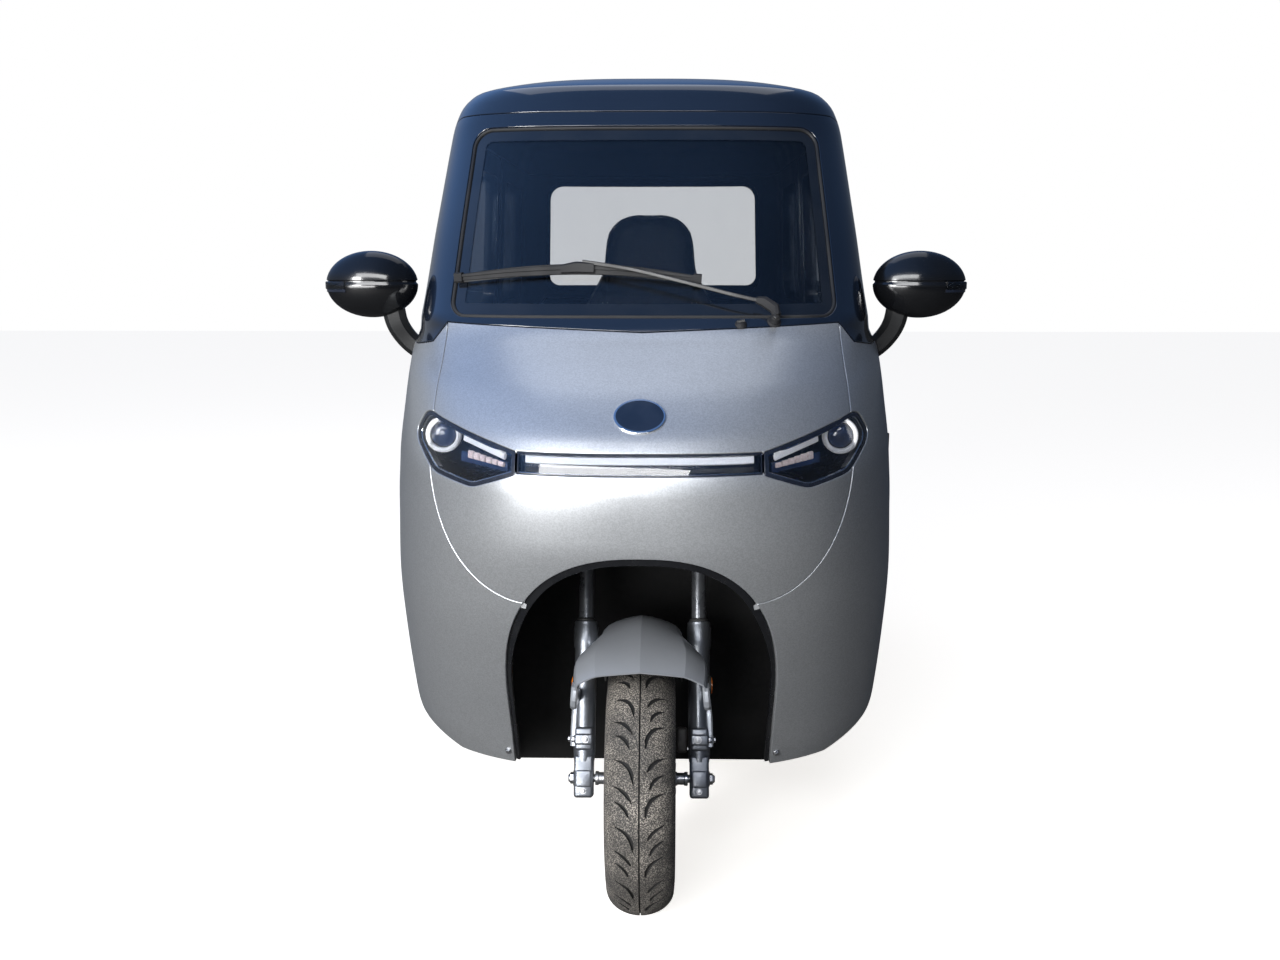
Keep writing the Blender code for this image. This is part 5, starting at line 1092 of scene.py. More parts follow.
# Silver lacquer: aluminium flake under a clear coat, with dust low down and a faint orange peel
silver_paint, tree, shader, place = worn_finish("silver_paint", (0.5, 0.515, 0.53), (0.47, 0.485, 0.5), 0.34,
    0.4, 2.2, 0.42, 0.42, Metallic=0.75, Coat_Weight=0.3, Coat_Roughness=0.18)
flake = add_node(tree, "ShaderNodeTexVoronoi", {"Vector": place, "Scale": 620.0})
flake_value = add_node(tree, "ShaderNodeSeparateColor", {0: flake["Color"]})[0]
base = shader["Base Color"].links[0].from_socket
bright = add_node(tree, "ShaderNodeHueSaturation", {"Color": base, "Value": ramp(tree, flake_value, 0.0, 1.0,
    0.9, 1.1)})["Color"]
tree.links.new(bright, shader["Base Color"])
relief(tree, shader, maths(tree, "ADD", noise(tree, place, 70.0, 2.0), times(tree, flake_value, 0.12)),
    0.0004, 0.1)
# The lining inside the shells is near black and bluish: painted shade for the dark cabin behind the glass
lining_with_painted_shade = moulded("lining_with_painted_shade", (0.006, 0.008, 0.013), (0.01, 0.013, 0.02), 0.8, 0.95, 420.0, 0.00006,
    0.0)
# Black lacquer: deep blue-black under a clear coat, with fine dust and wiping marks
black_gloss, tree, shader, place = worn_finish("black_gloss", (0.005, 0.0085, 0.0175),
    (0.0065, 0.0105, 0.0205), 0.1, 0.16, 3.0, 0.0, 0.5, Coat_Weight=1.0, Coat_Roughness=0.03)
marks = maths(tree, "ADD", noise(tree, place, 60.0, 2.0), times(tree, noise(tree, place, 500.0, 2.0), 0.3))
relief(tree, shader, marks, 0.0003, 0.1)


def oval_corner(centre, reach, first, last, steps=24):
    angles = [first + (last - first) * step / steps for step in range(steps + 1)]
    return [(centre[0] + reach[0] * cos(a), centre[1] + reach[1] * sin(a)) for a in angles]


nose_right = oval_corner(NOSE_CORNER, NOSE_CORNER_REACH, -pi / 2, 0)
nose_outline = nose_right + [HOOD_LINE[1], HOOD_LINE[0], (-HOOD_LINE[1][0], HOOD_LINE[1][1])]
nose_outline += [(-x, z) for x, z in reversed(nose_right)]
arch_outline = [(ARCH_HALF, 0.05)]
for step in range(49):
    turn = pi * step / 48
    across = copysign(abs(cos(turn)) ** (2 / ARCH_POWER), cos(turn))
    arch_outline.append((ARCH_HALF * across, ARCH_SPRING + (ARCH_TOP - ARCH_SPRING) * sin(turn) ** (
        2 / ARCH_POWER)))
arch_outline.append((-ARCH_HALF, 0.05))
lamp_outline = rounded(LAMP_OUTLINE)
door_outline = rounded(DOOR_OUTLINE)
door_middle = (DOOR_FRONT + DOOR_REAR) / 2
door_hole = [
    vec(a + (DOOR_REAR_GAP - DOOR_GAP if a > door_middle else 0), b) for a, b in grown(door_outline, DOOR_GAP)
]
rear_arch = oval_corner((WHEELBASE, AXLE_Z), (REAR_ARCH_RADIUS, REAR_ARCH_RADIUS), 0, tau, 72)[:-1]
tail_region = [(-TAIL_SEAM_X, BUMPER_Z), (TAIL_SEAM_X, BUMPER_Z), (TAIL_SEAM_X, 1.2), (-TAIL_SEAM_X, 1.2)]
boot_outline = rounded(BOOT_OUTLINE)
tail_lamp_outline = rounded(TAIL_LAMP_OUTLINE)


def behind(station, low, high):
    """Everything behind a station, between two heights, on the flat map."""
    edge = side_runs(fine([(station, low), (station, high)], closed=False))
    return np.concatenate([edge, [(FULL_RUN, high), (FULL_RUN, low)]])


def ahead_of(station, low=0.0, high=2.0):
    edge = side_runs(fine([(station, low), (station, high)], closed=False))
    return np.concatenate([edge, [(0, high), (0, low)]])


black_region = {d: all_round(HOOD_LINE, 1.9, d) for d in (-EDGE, EDGE)}
under_region = all_round(LOWER_EDGE, 0.0, EDGE)
nose_shell = shell(
    "nose_shell",
    skin_patch([seen_front(nose_outline, -EDGE)], [
        seen_front(arch_outline, ROLL), seen_front(lamp_outline, ROLL), seen_front(LIGHT_BAR, ROLL)]),
    [silver_paint, lining_with_painted_shade], whole=True,
)
fitted(nose_shell, "body", "silver_paint", "nose_panel")
side_shells = {
    "front_side": skin_patch([ahead_of(SIDE_SEAM - EDGE)], [
        seen_front(arch_outline, ROLL), seen_front(nose_outline, EDGE), seen_front(lamp_outline, ROLL),
        seen_side(door_hole, ROLL), black_region[EDGE], under_region]),
    "rear_side": skin_patch([behind(SIDE_SEAM + EDGE, 0.0, 2.0)], [
        seen_side(door_hole, ROLL), black_region[EDGE], under_region, seen_side(rear_arch, ROLL),
        seen_rear(tail_region, EDGE), behind(BUMPER_STATION - EDGE, 0.0, BUMPER_Z + EDGE),
        seen_rear(tail_lamp_outline, ROLL)]),
}
for label, patch in side_shells.items():
    right = shell(f"{label}_shell_right", patch, [silver_paint, lining_with_painted_shade])
    for piece, side in ((right, "right"), (other_side(right, f"{label}_shell_left"), "left")):
        fitted(piece, "body", "silver_paint", f"{label}_{side}")


# Tail panel, bumper and boot lid. Silver shells like those of the sides: the tail between the rear sides,
# the bumper screwed on below it, and the lid that hangs in the tail's opening.
tail_shells = {
    "tail": ("tail_panel", "body", skin_patch([seen_rear(tail_region, -EDGE)], [
        black_region[EDGE], seen_rear(boot_outline, DOOR_GAP + ROLL)])),
    "bumper": ("rear_bumper", "body", skin_patch([behind(BUMPER_STATION + EDGE, 0.0, BUMPER_Z - EDGE)],
    [under_region])),
    "boot": ("boot_lid", "boot", skin_patch([seen_rear(boot_outline, -ROLL)], [])),
}
for label, (node, body, patch) in tail_shells.items():
    piece = shell(f"{label}_shell", patch, [silver_paint, lining_with_painted_shade], whole=True)
    fitted(piece, body, "silver_paint", node)


# Doors. Silver shells with a blue-black band above the belt line and a window opening in it, hung on two
# hinges each in the gap between the front and rear sides.
DOOR_WINDOW = mm((560, 1048, 30), (1105, 1048, 40), (1105, 1372, 45), (690, 1372, 45), (530, 1100, 40))
door_window = rounded(DOOR_WINDOW)
above_belt = np.array([(0, 1.013), (FULL_RUN, 1.013), (FULL_RUN, 1.5), (0, 1.5)])
door_shell = shell(
    "door_shell_right", skin_patch([seen_side(door_outline, -ROLL)], [seen_side(door_window, ROLL)],
    [above_belt, above_belt]),
    [silver_paint, lining_with_painted_shade, black_gloss],
)
for piece, side in ((door_shell, "right"), (other_side(door_shell, "door_shell_left"), "left")):
    fitted(piece, f"door_{side}", "silver_paint", f"door_panel_{side}")


# Windscreen surround, rear surround and roof. Moulded shells sprayed blue-black, bonded to the silver ones
# along the belt line and to each other along the header.
HEADER_LINE = ((-0.5, HEADER_Z), (0.49, HEADER_Z), (0.64, DOOR_HEAD_Z), (2.5, DOOR_HEAD_Z))
SCREEN = mm((-352, 1067, 30), (352, 1067, 30), (342, 1426, 40), (-342, 1426, 40))
REAR_GLASS = mm((-352, 1070, 50), (352, 1070, 50), (335, 1412, 60), (-335, 1412, 60))
QUARTER = mm((1245, 1060, 45), (1700, 1060, 55), (1640, 1372, 70), (1245, 1372, 45))
screen_outline = rounded(SCREEN)
rear_glass_outline = rounded(REAR_GLASS)
quarter_outline = rounded(QUARTER)


def above_header(distance):
    points = grown(list(HEADER_LINE) + [(2.5, 1.9), (-0.5, 1.9)], distance)[:4]
    return np.concatenate([side_runs(fine(points, closed=False)), [(FULL_RUN, 1.9), (0, 1.9)]])


frame_front, frame_rear = ahead_of(0.75), behind(1.05, 0.0, 2.0)
upper_shells = {
    "screen_surround": ("windscreen_frame", skin_patch([black_region[-EDGE], frame_front], [
        seen_front(screen_outline, ROLL), above_header(EDGE), seen_side(door_hole, ROLL)], pitch=0.012)),
    "rear_surround": ("rear_frame", skin_patch([black_region[-EDGE], frame_rear], [
        seen_rear(rear_glass_outline, ROLL), above_header(EDGE), seen_side(door_hole, ROLL),
        seen_side(quarter_outline, ROLL)])),
}
for label, (node, patch) in upper_shells.items():
    piece = shell(label, patch, [black_gloss, lining_with_painted_shade], whole=True)
    fitted(piece, "body", "black_paint", node)
ROOF_LEVELS = np.concatenate([np.linspace(1.41, 1.5, 10), np.linspace(1.505, 1.53, 6),
    np.linspace(1.5335, 1.548, 7)[:-1], np.linspace(1.548, 1.5555, 7), [1.556]])
roof_shell = shell(
    "roof_shell", skin_patch([above_header(-EDGE)], [], levels=ROOF_LEVELS), [black_gloss, lining_with_painted_shade],
    whole=True, cap=True,
)
fitted(roof_shell, "body", "black_paint", "roof_panel")


# Glass. A laminated windscreen and tempered side and rear panes, pressed to the body's form, with a black
# border fired on round the edge and a rubber seal pushed into the gap round each pane.
GLASS_INSET, GLASS_WALL, GLASS_ROLL = 0.004, 0.005, 0.0008
PANE_GAP = 0.0003 + GLASS_ROLL

# Film: wiped marks and dust that dull the glass a little, more of it low on the pane
film, given, result = new_group("glass_film", {"Place": "", "Tint": (0.7, 0.7, 0.7, 1.0), "Edge": 0.5},
    {"Colour": "NodeSocketColor", "Roughness": "NodeSocketFloat", "Height": "NodeSocketFloat"})
smears = noise(film, given["Place"], 7.0, 6.0)
spots = ramp(film, noise(film, given["Place"], 160.0, 3.0), 0.62, 0.78)
dull = times(film, ramp(film, smears, 0.45, 0.75), 0.35)
dull = maths(film, "ADD", dull, times(film, spots, 0.25))
film.links.new(mixed(film, times(film, dull, 0.16), given["Tint"], (0.52, 0.54, 0.56, 1)), result["Colour"])
film.links.new(times(film, dull, 0.07), result["Roughness"])
film.links.new(smears, result["Height"])


def clear(name, tint, **values):
    """Glass or clear plastic with a thin film of wiped dust."""
    made, tree, shader = finish(name, tint, 0.0, Transmission_Weight=1.0, Ior=1.46, **values)
    found = from_group(tree, film, {"Place": object_place(tree), "Tint": (*tint, 1)})
    tree.links.new(found["Colour"], shader["Base Color"])
    tree.links.new(found["Roughness"], shader["Roughness"])
    relief(tree, shader, found["Height"], 0.0006, 0.02)
    return made


tinted_glass = clear("tinted_glass", (0.77, 0.78, 0.79))
privacy_glass = clear("privacy_glass", (0.03, 0.04, 0.055))
screen_border = coated("screen_border", (500.0, 2.0, 0.0002, 0.15), (0.006, 0.008, 0.012),
    (0.009, 0.011, 0.015), 0.08, 0.14, 12.0, 0.0, 0.5, Coat_Weight=0.6)
seal_rubber = moulded("seal_rubber", (0.01, 0.01, 0.011), (0.018, 0.018, 0.018), 0.55, 0.7, 600.0, 0.0002,
    0.1)


def on_body(runs, points, inset=0.0, side=1):
    """Points on the skin, or sunk below it, from points seen from the front, the side or the rear."""
    places = skin_place(*runs(np.array(points)).T)
    places = (places - skin_normal(places) * inset) * np.stack([side + 0 * places[:, 0]] + 2 * [
        np.ones(len(places))], -1)
    return [Vector(place) for place in places + (0, FRONT_AXLE_Y, 0)]


def skin_line(outline, runs, inset=0.0, pitch=0.01):
    """A closed line on the skin, or sunk below it, round an outline."""
    points = fine(outline, pitch=pitch)
    signs = np.where((points[:, 0] < 0) & (runs is not side_runs), -1.0, 1.0)
    path = on_body(runs, points * np.stack([signs, np.ones(len(signs))], -1), inset, signs)
    return path + path[:2]


def pane(name, node, body, outline, seen, runs, border, whole, mirror=False, tint=tinted_glass):
    """A pane with its border and seal, and its twin on the other side where it is mirrored."""
    patch = skin_patch([seen(outline, -PANE_GAP)], [], [seen(outline, -border)])
    first = None
    for side in ("_right", "_left") if mirror else ("",):
        label, rider = name + side, body.format(side=side.strip("_"))
        glass = other_side(first, label) if first else shell(label, patch, [screen_border, tint], GLASS_INSET,
            GLASS_WALL, GLASS_ROLL, whole, None)
        first = first or glass
        fitted(glass, rider, "tinted_glass", node + side)
        work = bmesh.new()
        swept(work, skin_line(grown(outline, -0.003), runs, 0.003), 0.0032, 10)
        if side == "_left":
            mirrored(work)
        add_piece(f"{label}_seal", work, [seal_rubber], rider, "black_plastic")


pane("windscreen_pane", "windscreen", "body", screen_outline, seen_front, front_runs, 0.026, True)
pane("rear_pane", "rear_window", "body", rear_glass_outline, seen_rear, rear_runs, 0.018, True)
pane("quarter_pane", "quarter_glass", "body", quarter_outline, seen_side, side_runs, 0.02, False, True,
    privacy_glass)
pane("door_pane", "door_glass", "door_{side}", door_window, seen_side, side_runs, 0.014, False, True,
    privacy_glass)


# Headlamps. A clear moulded lens over a deep blue-black housing, with a bright ring round the projector, a
# white position light above, six small lamps in a row below it and a bright line along the lower edge.
lamp_clear = clear("lamp_clear", (0.95, 0.96, 0.98), Specular_IOR_Level=0.02)
lamp_black = coated("lamp_black", (420.0, 2.0, 0.00003, 0.1), (0.008, 0.011, 0.02), (0.012, 0.016, 0.028),
    0.2, 0.3, 30.0, 0.0, 0.5, Coat_Weight=0.3)
lamp_blue = coated("lamp_blue", (420.0, 2.0, 0.0002, 0.1), (0.016, 0.032, 0.085), (0.022, 0.042, 0.105), 0.12,
    0.2, 24.0, 0.0, 0.5, Coat_Weight=0.8)
chrome = coated("chrome", (260.0, 2.0, 0.0002, 0.08), (0.78, 0.79, 0.81), (0.7, 0.71, 0.73), 0.06, 0.13, 40.0,
    0.05, 0.5, Metallic=1.0)
lamp_white = coated("lamp_white", (700.0, 2.0, 0.0003, 0.3), (0.78, 0.79, 0.8), (0.7, 0.71, 0.73), 0.22, 0.34,
    50.0, 0.0, 0.5, Emission_Color=(1, 1, 1, 1), Emission_Strength=0.12)
small_lamp = coated("small_lamp", (900.0, 2.0, 0.0006, 0.5), (0.62, 0.5, 0.48), (0.72, 0.62, 0.6), 0.15, 0.3,
    300.0, 0.0, 0.5, Emission_Color=(1, 0.85, 0.82, 1), Emission_Strength=0.06)
EYE = at(0.04, -2.134, 1.165)


def sunk(x, z, station, depth):
    """A place behind the skin, along the line of sight from the photographer."""
    point = at(x, station, z)
    return point + (point - EYE).normalized() * depth


UP = (0, 0, 1)


def strip(work, path, up, tall, thick, chamfer=0.0006, index=0, shares=None):
    """A bar of chamfered rectangular section along a path: tall along up, thick across it."""
    part = bmesh.new()
    path = [Vector(point) for point in path]
    rings = []
    for i, point in enumerate(path):
        along = (path[min(i + 1, len(path) - 1)] - path[max(i - 1, 0)]).normalized()
        across = along.cross(Vector(up)).normalized()
        rise = across.cross(along)
        size = shares[i] if shares else 1.0
        a, b = tall / 2 * size, thick / 2 * size
        c = min(chamfer, a * 0.6, b * 0.6)
        ring = [(a, b - c), (a - c, b), (c - a, b), (-a, b - c), (-a, c - b), (c - a, -b), (a - c, -b),
            (a, c - b)]
        rings.append([part.verts.new(point + rise * u + across * v) for u, v in ring])
    for first, second in zip(rings, rings[1:]):
        for k in range(8):
            part.faces.new((first[k], first[(k + 1) % 8], second[(k + 1) % 8], second[k]))
    part.faces.new(rings[0])
    part.faces.new(rings[-1][::-1])
    gather(work, part, None, index)


def bucket(work, front, rear, index=0):
    """A housing behind a lens: its walls from the lens's edge to a closed back, with a thickness."""
    part = bmesh.new()
    rows = [[part.verts.new(a.lerp(b, share)) for a, b in zip(front, rear)] for share in (0, 0.4, 1)]
    for one, two in zip(rows, rows[1:]):
        for k in range(len(one)):
            following = (k + 1) % len(one)
            part.faces.new((one[k], one[following], two[following], two[k]))
    part.faces.new(rows[-1])
    bmesh.ops.recalc_face_normals(part, faces=part.faces)
    bmesh.ops.triangulate(part, faces=[face for face in part.faces if len(face.verts) > 4])
    bmesh.ops.solidify(part, geom=part.faces[:], thickness=0.002)
    gather(work, part, None, index)


BACK_START, BACK_SLOPE = -0.085, 0.75
headlamp_lens = shell("headlamp_lens_right", skin_patch([seen_front(lamp_outline, -PANE_GAP)], [],
    [seen_front(lamp_outline, -0.0062)], 0.01), [lamp_black, lamp_clear], 0.001, 0.003, GLASS_ROLL, False,
    None)
for lens, side in ((headlamp_lens, "right"), (other_side(headlamp_lens, "headlamp_lens_left"), "left")):
    fitted(lens, "body", "lamp_lens", f"headlamp_{side}")
    work = bmesh.new()
    rim = skin_line(grown(lamp_outline, -0.0022), front_runs, 0.0046)[:-2]
    back = [vec(p.x * 0.97 + 0.008, FRONT_AXLE_Y + BACK_START + (p.x - 0.199) * BACK_SLOPE, p.z) for p in rim]
    bucket(work, rim, back)
    line = skin_line(grown(lamp_outline, -0.007), front_runs, 0.006)[:-2]
    top = max(range(len(line)), key=lambda k: line[k].z)
    strip(work, line[: top - 2], UP, 0.0036, 0.003, 0.001, 1)
    swept(work, line[top:], 0.0017, 8, 2)
    middle = sunk(0.3325, 0.878, -0.068, 0.044)
    facing = towards(middle, (0, -1, 0))
    ring = mm((22.5, 10), (23.5, 12.5), (26.5, 14), (29.5, 12.5), (31.2, 9), (31.2, 2), (22.5, 2))
    spun(work, ring, facing, 48, 3, closed=True)
    glass = [(0.0224 * sin(k * pi / 20), 0.001 + 0.011 * cos(k * pi / 20)) for k in range(11)]
    spun(work, glass + [(0.0224, -0.002), (0, -0.002)], facing, 40, 1)
    spun(work, mm((0, -18), (31.5, -18), (32.5, -4), (32.5, 4), (30, 5), (0, 5)), facing, 40, 0)
    upper = [sunk(0.289, 0.8785, -0.108, 0.01), sunk(0.215, 0.8575, -0.175, 0.008)]
    strip(work, upper, UP, 0.0125, 0.006, 0.002, 3)
    rail = [sunk(0.292, 0.849, -0.122, 0.018), sunk(0.209, 0.84, -0.18, 0.012)]
    strip(work, rail, UP, 0.018, 0.006, 0.002, 1)
    for step in range(6):
        share = (step + 0.5) / 6
        spot = sunk(0.281, 0.8545, -0.13, 0.012).lerp(sunk(0.216, 0.8435, -0.178, 0.0075), share)
        along = (rail[1] - rail[0]).normalized() * 0.0052
        strip(work, [spot - along, spot + along], UP, 0.0135 - 0.006 * share, 0.005, 0.0016, 4)
    if side == "left":
        mirrored(work)
    add_piece(f"headlamp_unit_{side}", work, [lamp_black, lamp_blue, chrome, lamp_white, small_lamp], "body",
        "lamp_lens")


# Light bar between the headlamps. A white light guide above a dark strip, behind one curved clear lens that
# bright trims edge above and below.
BAR_X, BAR_LOW, BAR_TOP = 0.196, 0.832, 0.866


def bar_part(name, x, low, top, surfaces, inset, wall, roll, border=None):
    """A part of the light bar that follows the nose: x to each side, between two heights."""
    outline = [(-x, top), (x, top), (x, low), (-x, low)]
    bands = [seen_front(outline, -border)] if border else []
    piece = shell(name, skin_patch([seen_front(outline, -0.0003 - roll)], [], bands, 0.012), surfaces, inset,
        wall, roll, True, None)
    fitted(piece, "body", "lamp_lens")
    return piece


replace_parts(bar_part("light_bar_lens", BAR_X, BAR_LOW, BAR_TOP, [lamp_black, lamp_clear], 0.001, 0.0025,
    0.0008, 0.0028), "light_bar")
bar_part("light_bar_housing", BAR_X - 0.002, BAR_LOW + 0.002, BAR_TOP - 0.002, [lamp_black], 0.012, 0.018,
    0.0008)
bar_part("light_bar_guide", BAR_X - 0.012, 0.8505, 0.8625, [lamp_white], 0.005, 0.006, 0.0012)
bar_part("light_bar_sill", BAR_X - 0.012, 0.8365, 0.8465, [seal_rubber], 0.007, 0.004, 0.0012)
work = bmesh.new()
for height in (BAR_TOP - 0.0022, BAR_LOW + 0.003):
    half = on_body(front_runs, [(x, height) for x in np.linspace(0, BAR_X - 0.003, 40)], 0.0052)
    swept(work, [vec(-p.x, p.y, p.z) for p in reversed(half[1:])] + half, 0.0014, 8)
add_piece("light_bar_trim", work, [chrome], "body", "bare_steel")


# Tail lamps. A red moulded lens round each rear corner, over a bright reflector with five light pipes.
red_lens = clear("red_lens", (0.62, 0.022, 0.02))
tail_lens = shell("tail_lens_right", skin_patch([seen_rear(tail_lamp_outline, -PANE_GAP)], [],
    [seen_rear(tail_lamp_outline, -0.005)], 0.01), [lamp_black, red_lens], 0.001, 0.003, GLASS_ROLL, False,
    None)
tail_back = shell("tail_reflector_right", skin_patch([seen_rear(tail_lamp_outline, -0.003)], []), [chrome],
    0.02, 0.012, 0.001, False, None)
for side, lens, reflector in (("right", tail_lens, tail_back),
        ("left", other_side(tail_lens, "tail_lens_left"), other_side(tail_back, "tail_reflector_left"))):
    for piece in (lens, reflector):
        fitted(piece, "body", "red_lens")
    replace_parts(lens, f"tail_lamp_{side}")
    work = bmesh.new()
    for height in (0.69, 0.735, 0.78, 0.825, 0.87):
        line = [(x, height) for x in np.linspace(0.412, 0.458, 24)]
        swept(work, on_body(rear_runs, line, 0.013, 1 if side == "right" else -1), 0.0075, 12)
    add_piece(f"tail_light_pipes_{side}", work, [lamp_white], "body", "red_lens")


# Nose plaque. A blank domed oval of dark enamel in a bright rim, stuck on the middle of the nose.
enamel = coated("enamel", (150.0, 2.0, 0.0003, 0.15), (0.006, 0.01, 0.022), (0.009, 0.014, 0.028), 0.06, 0.12,
    40.0, 0.0, 0.5, Coat_Weight=1.0)
plaque_outline = [vec(0.042 * cos(k * tau / 56), 0.92 + 0.025 * sin(k * tau / 56)) for k in range(56)]
plaque = shell("plaque", skin_patch([seen_front(plaque_outline, -0.0012)], [],
    [seen_front(plaque_outline, -0.0034)], 0.006), [chrome, enamel], -0.003, 0.0034, 0.0012, True, None)
fitted(plaque, "body", "black_paint", "nose_plaque")


# Arch trim. A black moulded lip clipped inside the front wheel arch, with steel spring clips over it and a
# plated screw at each lower corner of the nose.
trim_black = coated("trim_black", (300.0, 2.0, 0.0002, 0.2), (0.005, 0.0055, 0.007), (0.008, 0.0085, 0.01),
    0.2, 0.34, 14.0, 0.12, 0.4, Coat_Weight=0.3)
# The lip is broad over the top and slim down the sides, where the fender swings past it
lip = [vec(p.x + copysign(0.007 * min(1, max(0, (0.56 - p.y) / 0.1)), p.x), p.y) for p in grown(arch_outline,
    -0.0135)]
arch_trim = shell("arch_trim", skin_patch([seen_front(arch_outline, -0.0005 - ROLL)],
    [seen_front(lip), under_region]), [trim_black], 0.006, 0.007, 0.0012, True, None)
fitted(arch_trim, "body", "black_plastic")


def on_skin(x, z, runs=front_runs):
    """A place on the skin seen from the front or rear, and the way that the skin faces there."""
    found = runs(np.array([(abs(x), z)]))
    place = skin_place(found[:, 0], found[:, 1])
    normal = skin_normal(place)[0]
    side = copysign(1, x)
    return vec(place[0][0] * side, place[0][1] + FRONT_AXLE_Y, z), vec(normal[0] * side, normal[1], normal[2])


work = bmesh.new()
for side in (-1, 1):
    place, facing = on_skin(side * 0.2505, 0.2612)
    bolt(work, place - facing * 0.0008, facing, 0.005, 0.004)
    place, facing = on_skin(side * 0.201, 0.607)
    across = vec(-side, 0, -0.35).normalized()
    middle = place - facing * 0.006 + across * 0.008
    rise = vec(-side * 0.25, 0, 1).normalized() * 0.009
    strip(work, [middle - rise, middle + rise], across, 0.01, 0.003, 0.0008)
add_piece("arch_fasteners", work, [bright_zinc], "body", "bare_steel")


# Number plate carrier. A blank black moulded carrier screwed to the rear bumper, without a plate.
PLATE_X, PLATE_LOW, PLATE_TOP, PLATE_Y = 0.13, 0.345, 0.455, FRONT_AXLE_Y + 2.018
work = bmesh.new()
slab(work, (-PLATE_X, PLATE_X), (PLATE_Y - 0.03, PLATE_Y - 0.0015), (PLATE_LOW, PLATE_TOP), 0.005)
for x in (-1, 1):
    slab(work, (x * PLATE_X - 0.004, x * PLATE_X + 0.004), (PLATE_Y - 0.012, PLATE_Y), (PLATE_LOW, PLATE_TOP),
        0.0015)
for z in (PLATE_LOW, PLATE_TOP):
    slab(work, (-PLATE_X, PLATE_X), (PLATE_Y - 0.012, PLATE_Y), (z - 0.004, z + 0.004), 0.0015)
for x in (-0.075, 0.075):
    bolt(work, (x, PLATE_Y - 0.0045, 0.4), (0, 1, 0), 0.005, 0.003, 1)
add_piece("plate_carrier", work, [black_plastic, bright_zinc], "body", "black_plastic")


# Hinges. Pressed steel leaves, coated black and screwed to the panels, on barrels outside the gap; two to
# each door and two to the boot lid.
def hinge(work, pin, along, leaf, flat, reach, moving):
    """Half a hinge: its barrel above or below the pin's middle, and its leaf from the barrel on one side."""
    length = 0.032
    shift = 0.0003 if moving else -0.0003
    start = pin + along * shift
    end = start + along * (length if moving else -length)
    rod(work, start, end, 0.0075, 28, 0.001)
    middle = (start + end) / 2
    place = Matrix.Translation(middle) @ Matrix((leaf, along, flat)).transposed().to_4x4()
    slab(work, (0, reach), (-length / 2 + 0.001, length / 2 - 0.001), (-0.005, -0.0008), 0.0012, place)
    for share in (0.45, 0.8):
        head = middle + leaf * reach * share - flat * 0.0008
        bolt(work, head, flat, 0.0032, 0.0016, 1, washer=False)


for side, label in ((-1, "left"), (1, "right")):
    for moving, body in ((False, "body"), (True, f"door_{label}")):
        work = bmesh.new()
        for height in (0.46, 0.78):
            pin = at(side * 0.5005, 0.44, height)
            hinge(work, pin, vec(0, 0, 1), vec(0, 1 if moving else -1, 0), vec(side, 0, 0), 0.036, moving)
        add_piece(f"door_hinge_{label}_{'leaf' if moving else 'base'}", work, [black_steel, bright_zinc],
            body, "black_steel")
for moving, body in ((False, "body"), (True, "boot")):
    work = bmesh.new()
    for side in (-1, 1):
        pin = at(side * 0.2, 1.975, 0.976)
        way = vec(0, -0.16, 1).normalized()
        flat = vec(0, 1, 0.16).normalized()
        along = vec(side, 0, 0)
        hinge(work, pin, along, -way if moving else way, flat, 0.044 if moving else 0.024, moving)
    add_piece(f"boot_hinge_{'leaf' if moving else 'base'}", work, [black_steel, bright_zinc], body,
        "black_steel")


# Door handles and door seals. A black moulded pull on a base with a lock barrel, and a rubber seal that
# lies in the gap round each door.
for side, label in ((-1, "left"), (1, "right")):
    work = bmesh.new()
    low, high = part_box(f"door_handle_{label}")
    edge = high.x if side > 0 else low.x
    inner, outer = sorted((edge - side * 0.018, edge - side * 0.0065))
    slab(work, (inner, outer), (low.y, high.y), (low.z, high.z), 0.0045)
    inner, outer = sorted((edge - side * 0.01, edge))
    slab(work, (inner, outer), (low.y + 0.002, high.y - 0.022), (low.z + 0.006, high.z - 0.004), 0.004)
    lock = vec(edge - side * 0.007, high.y - 0.011, (low.z + high.z) / 2)
    rod(work, lock, lock + vec(side * 0.003, 0, 0), 0.0068, 28, 0.0008, 1)
    slab(work, sorted((lock.x + side * 0.0028, lock.x + side * 0.0034)), (lock.y - 0.0007, lock.y + 0.0007),
        (lock.z - 0.0036, lock.z + 0.0036), 0)
    add_piece(f"door_pull_{label}", work, [black_plastic, bright_zinc], f"door_{label}", "black_plastic",
        [f"door_handle_{label}"])
    work = bmesh.new()
    swept(work, skin_line(grown(door_outline, 0.003), side_runs, 0.018, 0.014), 0.0038, 10)
    if side < 0:
        mirrored(work)
    add_piece(f"door_seal_{label}", work, [seal_rubber], "body", "black_plastic")


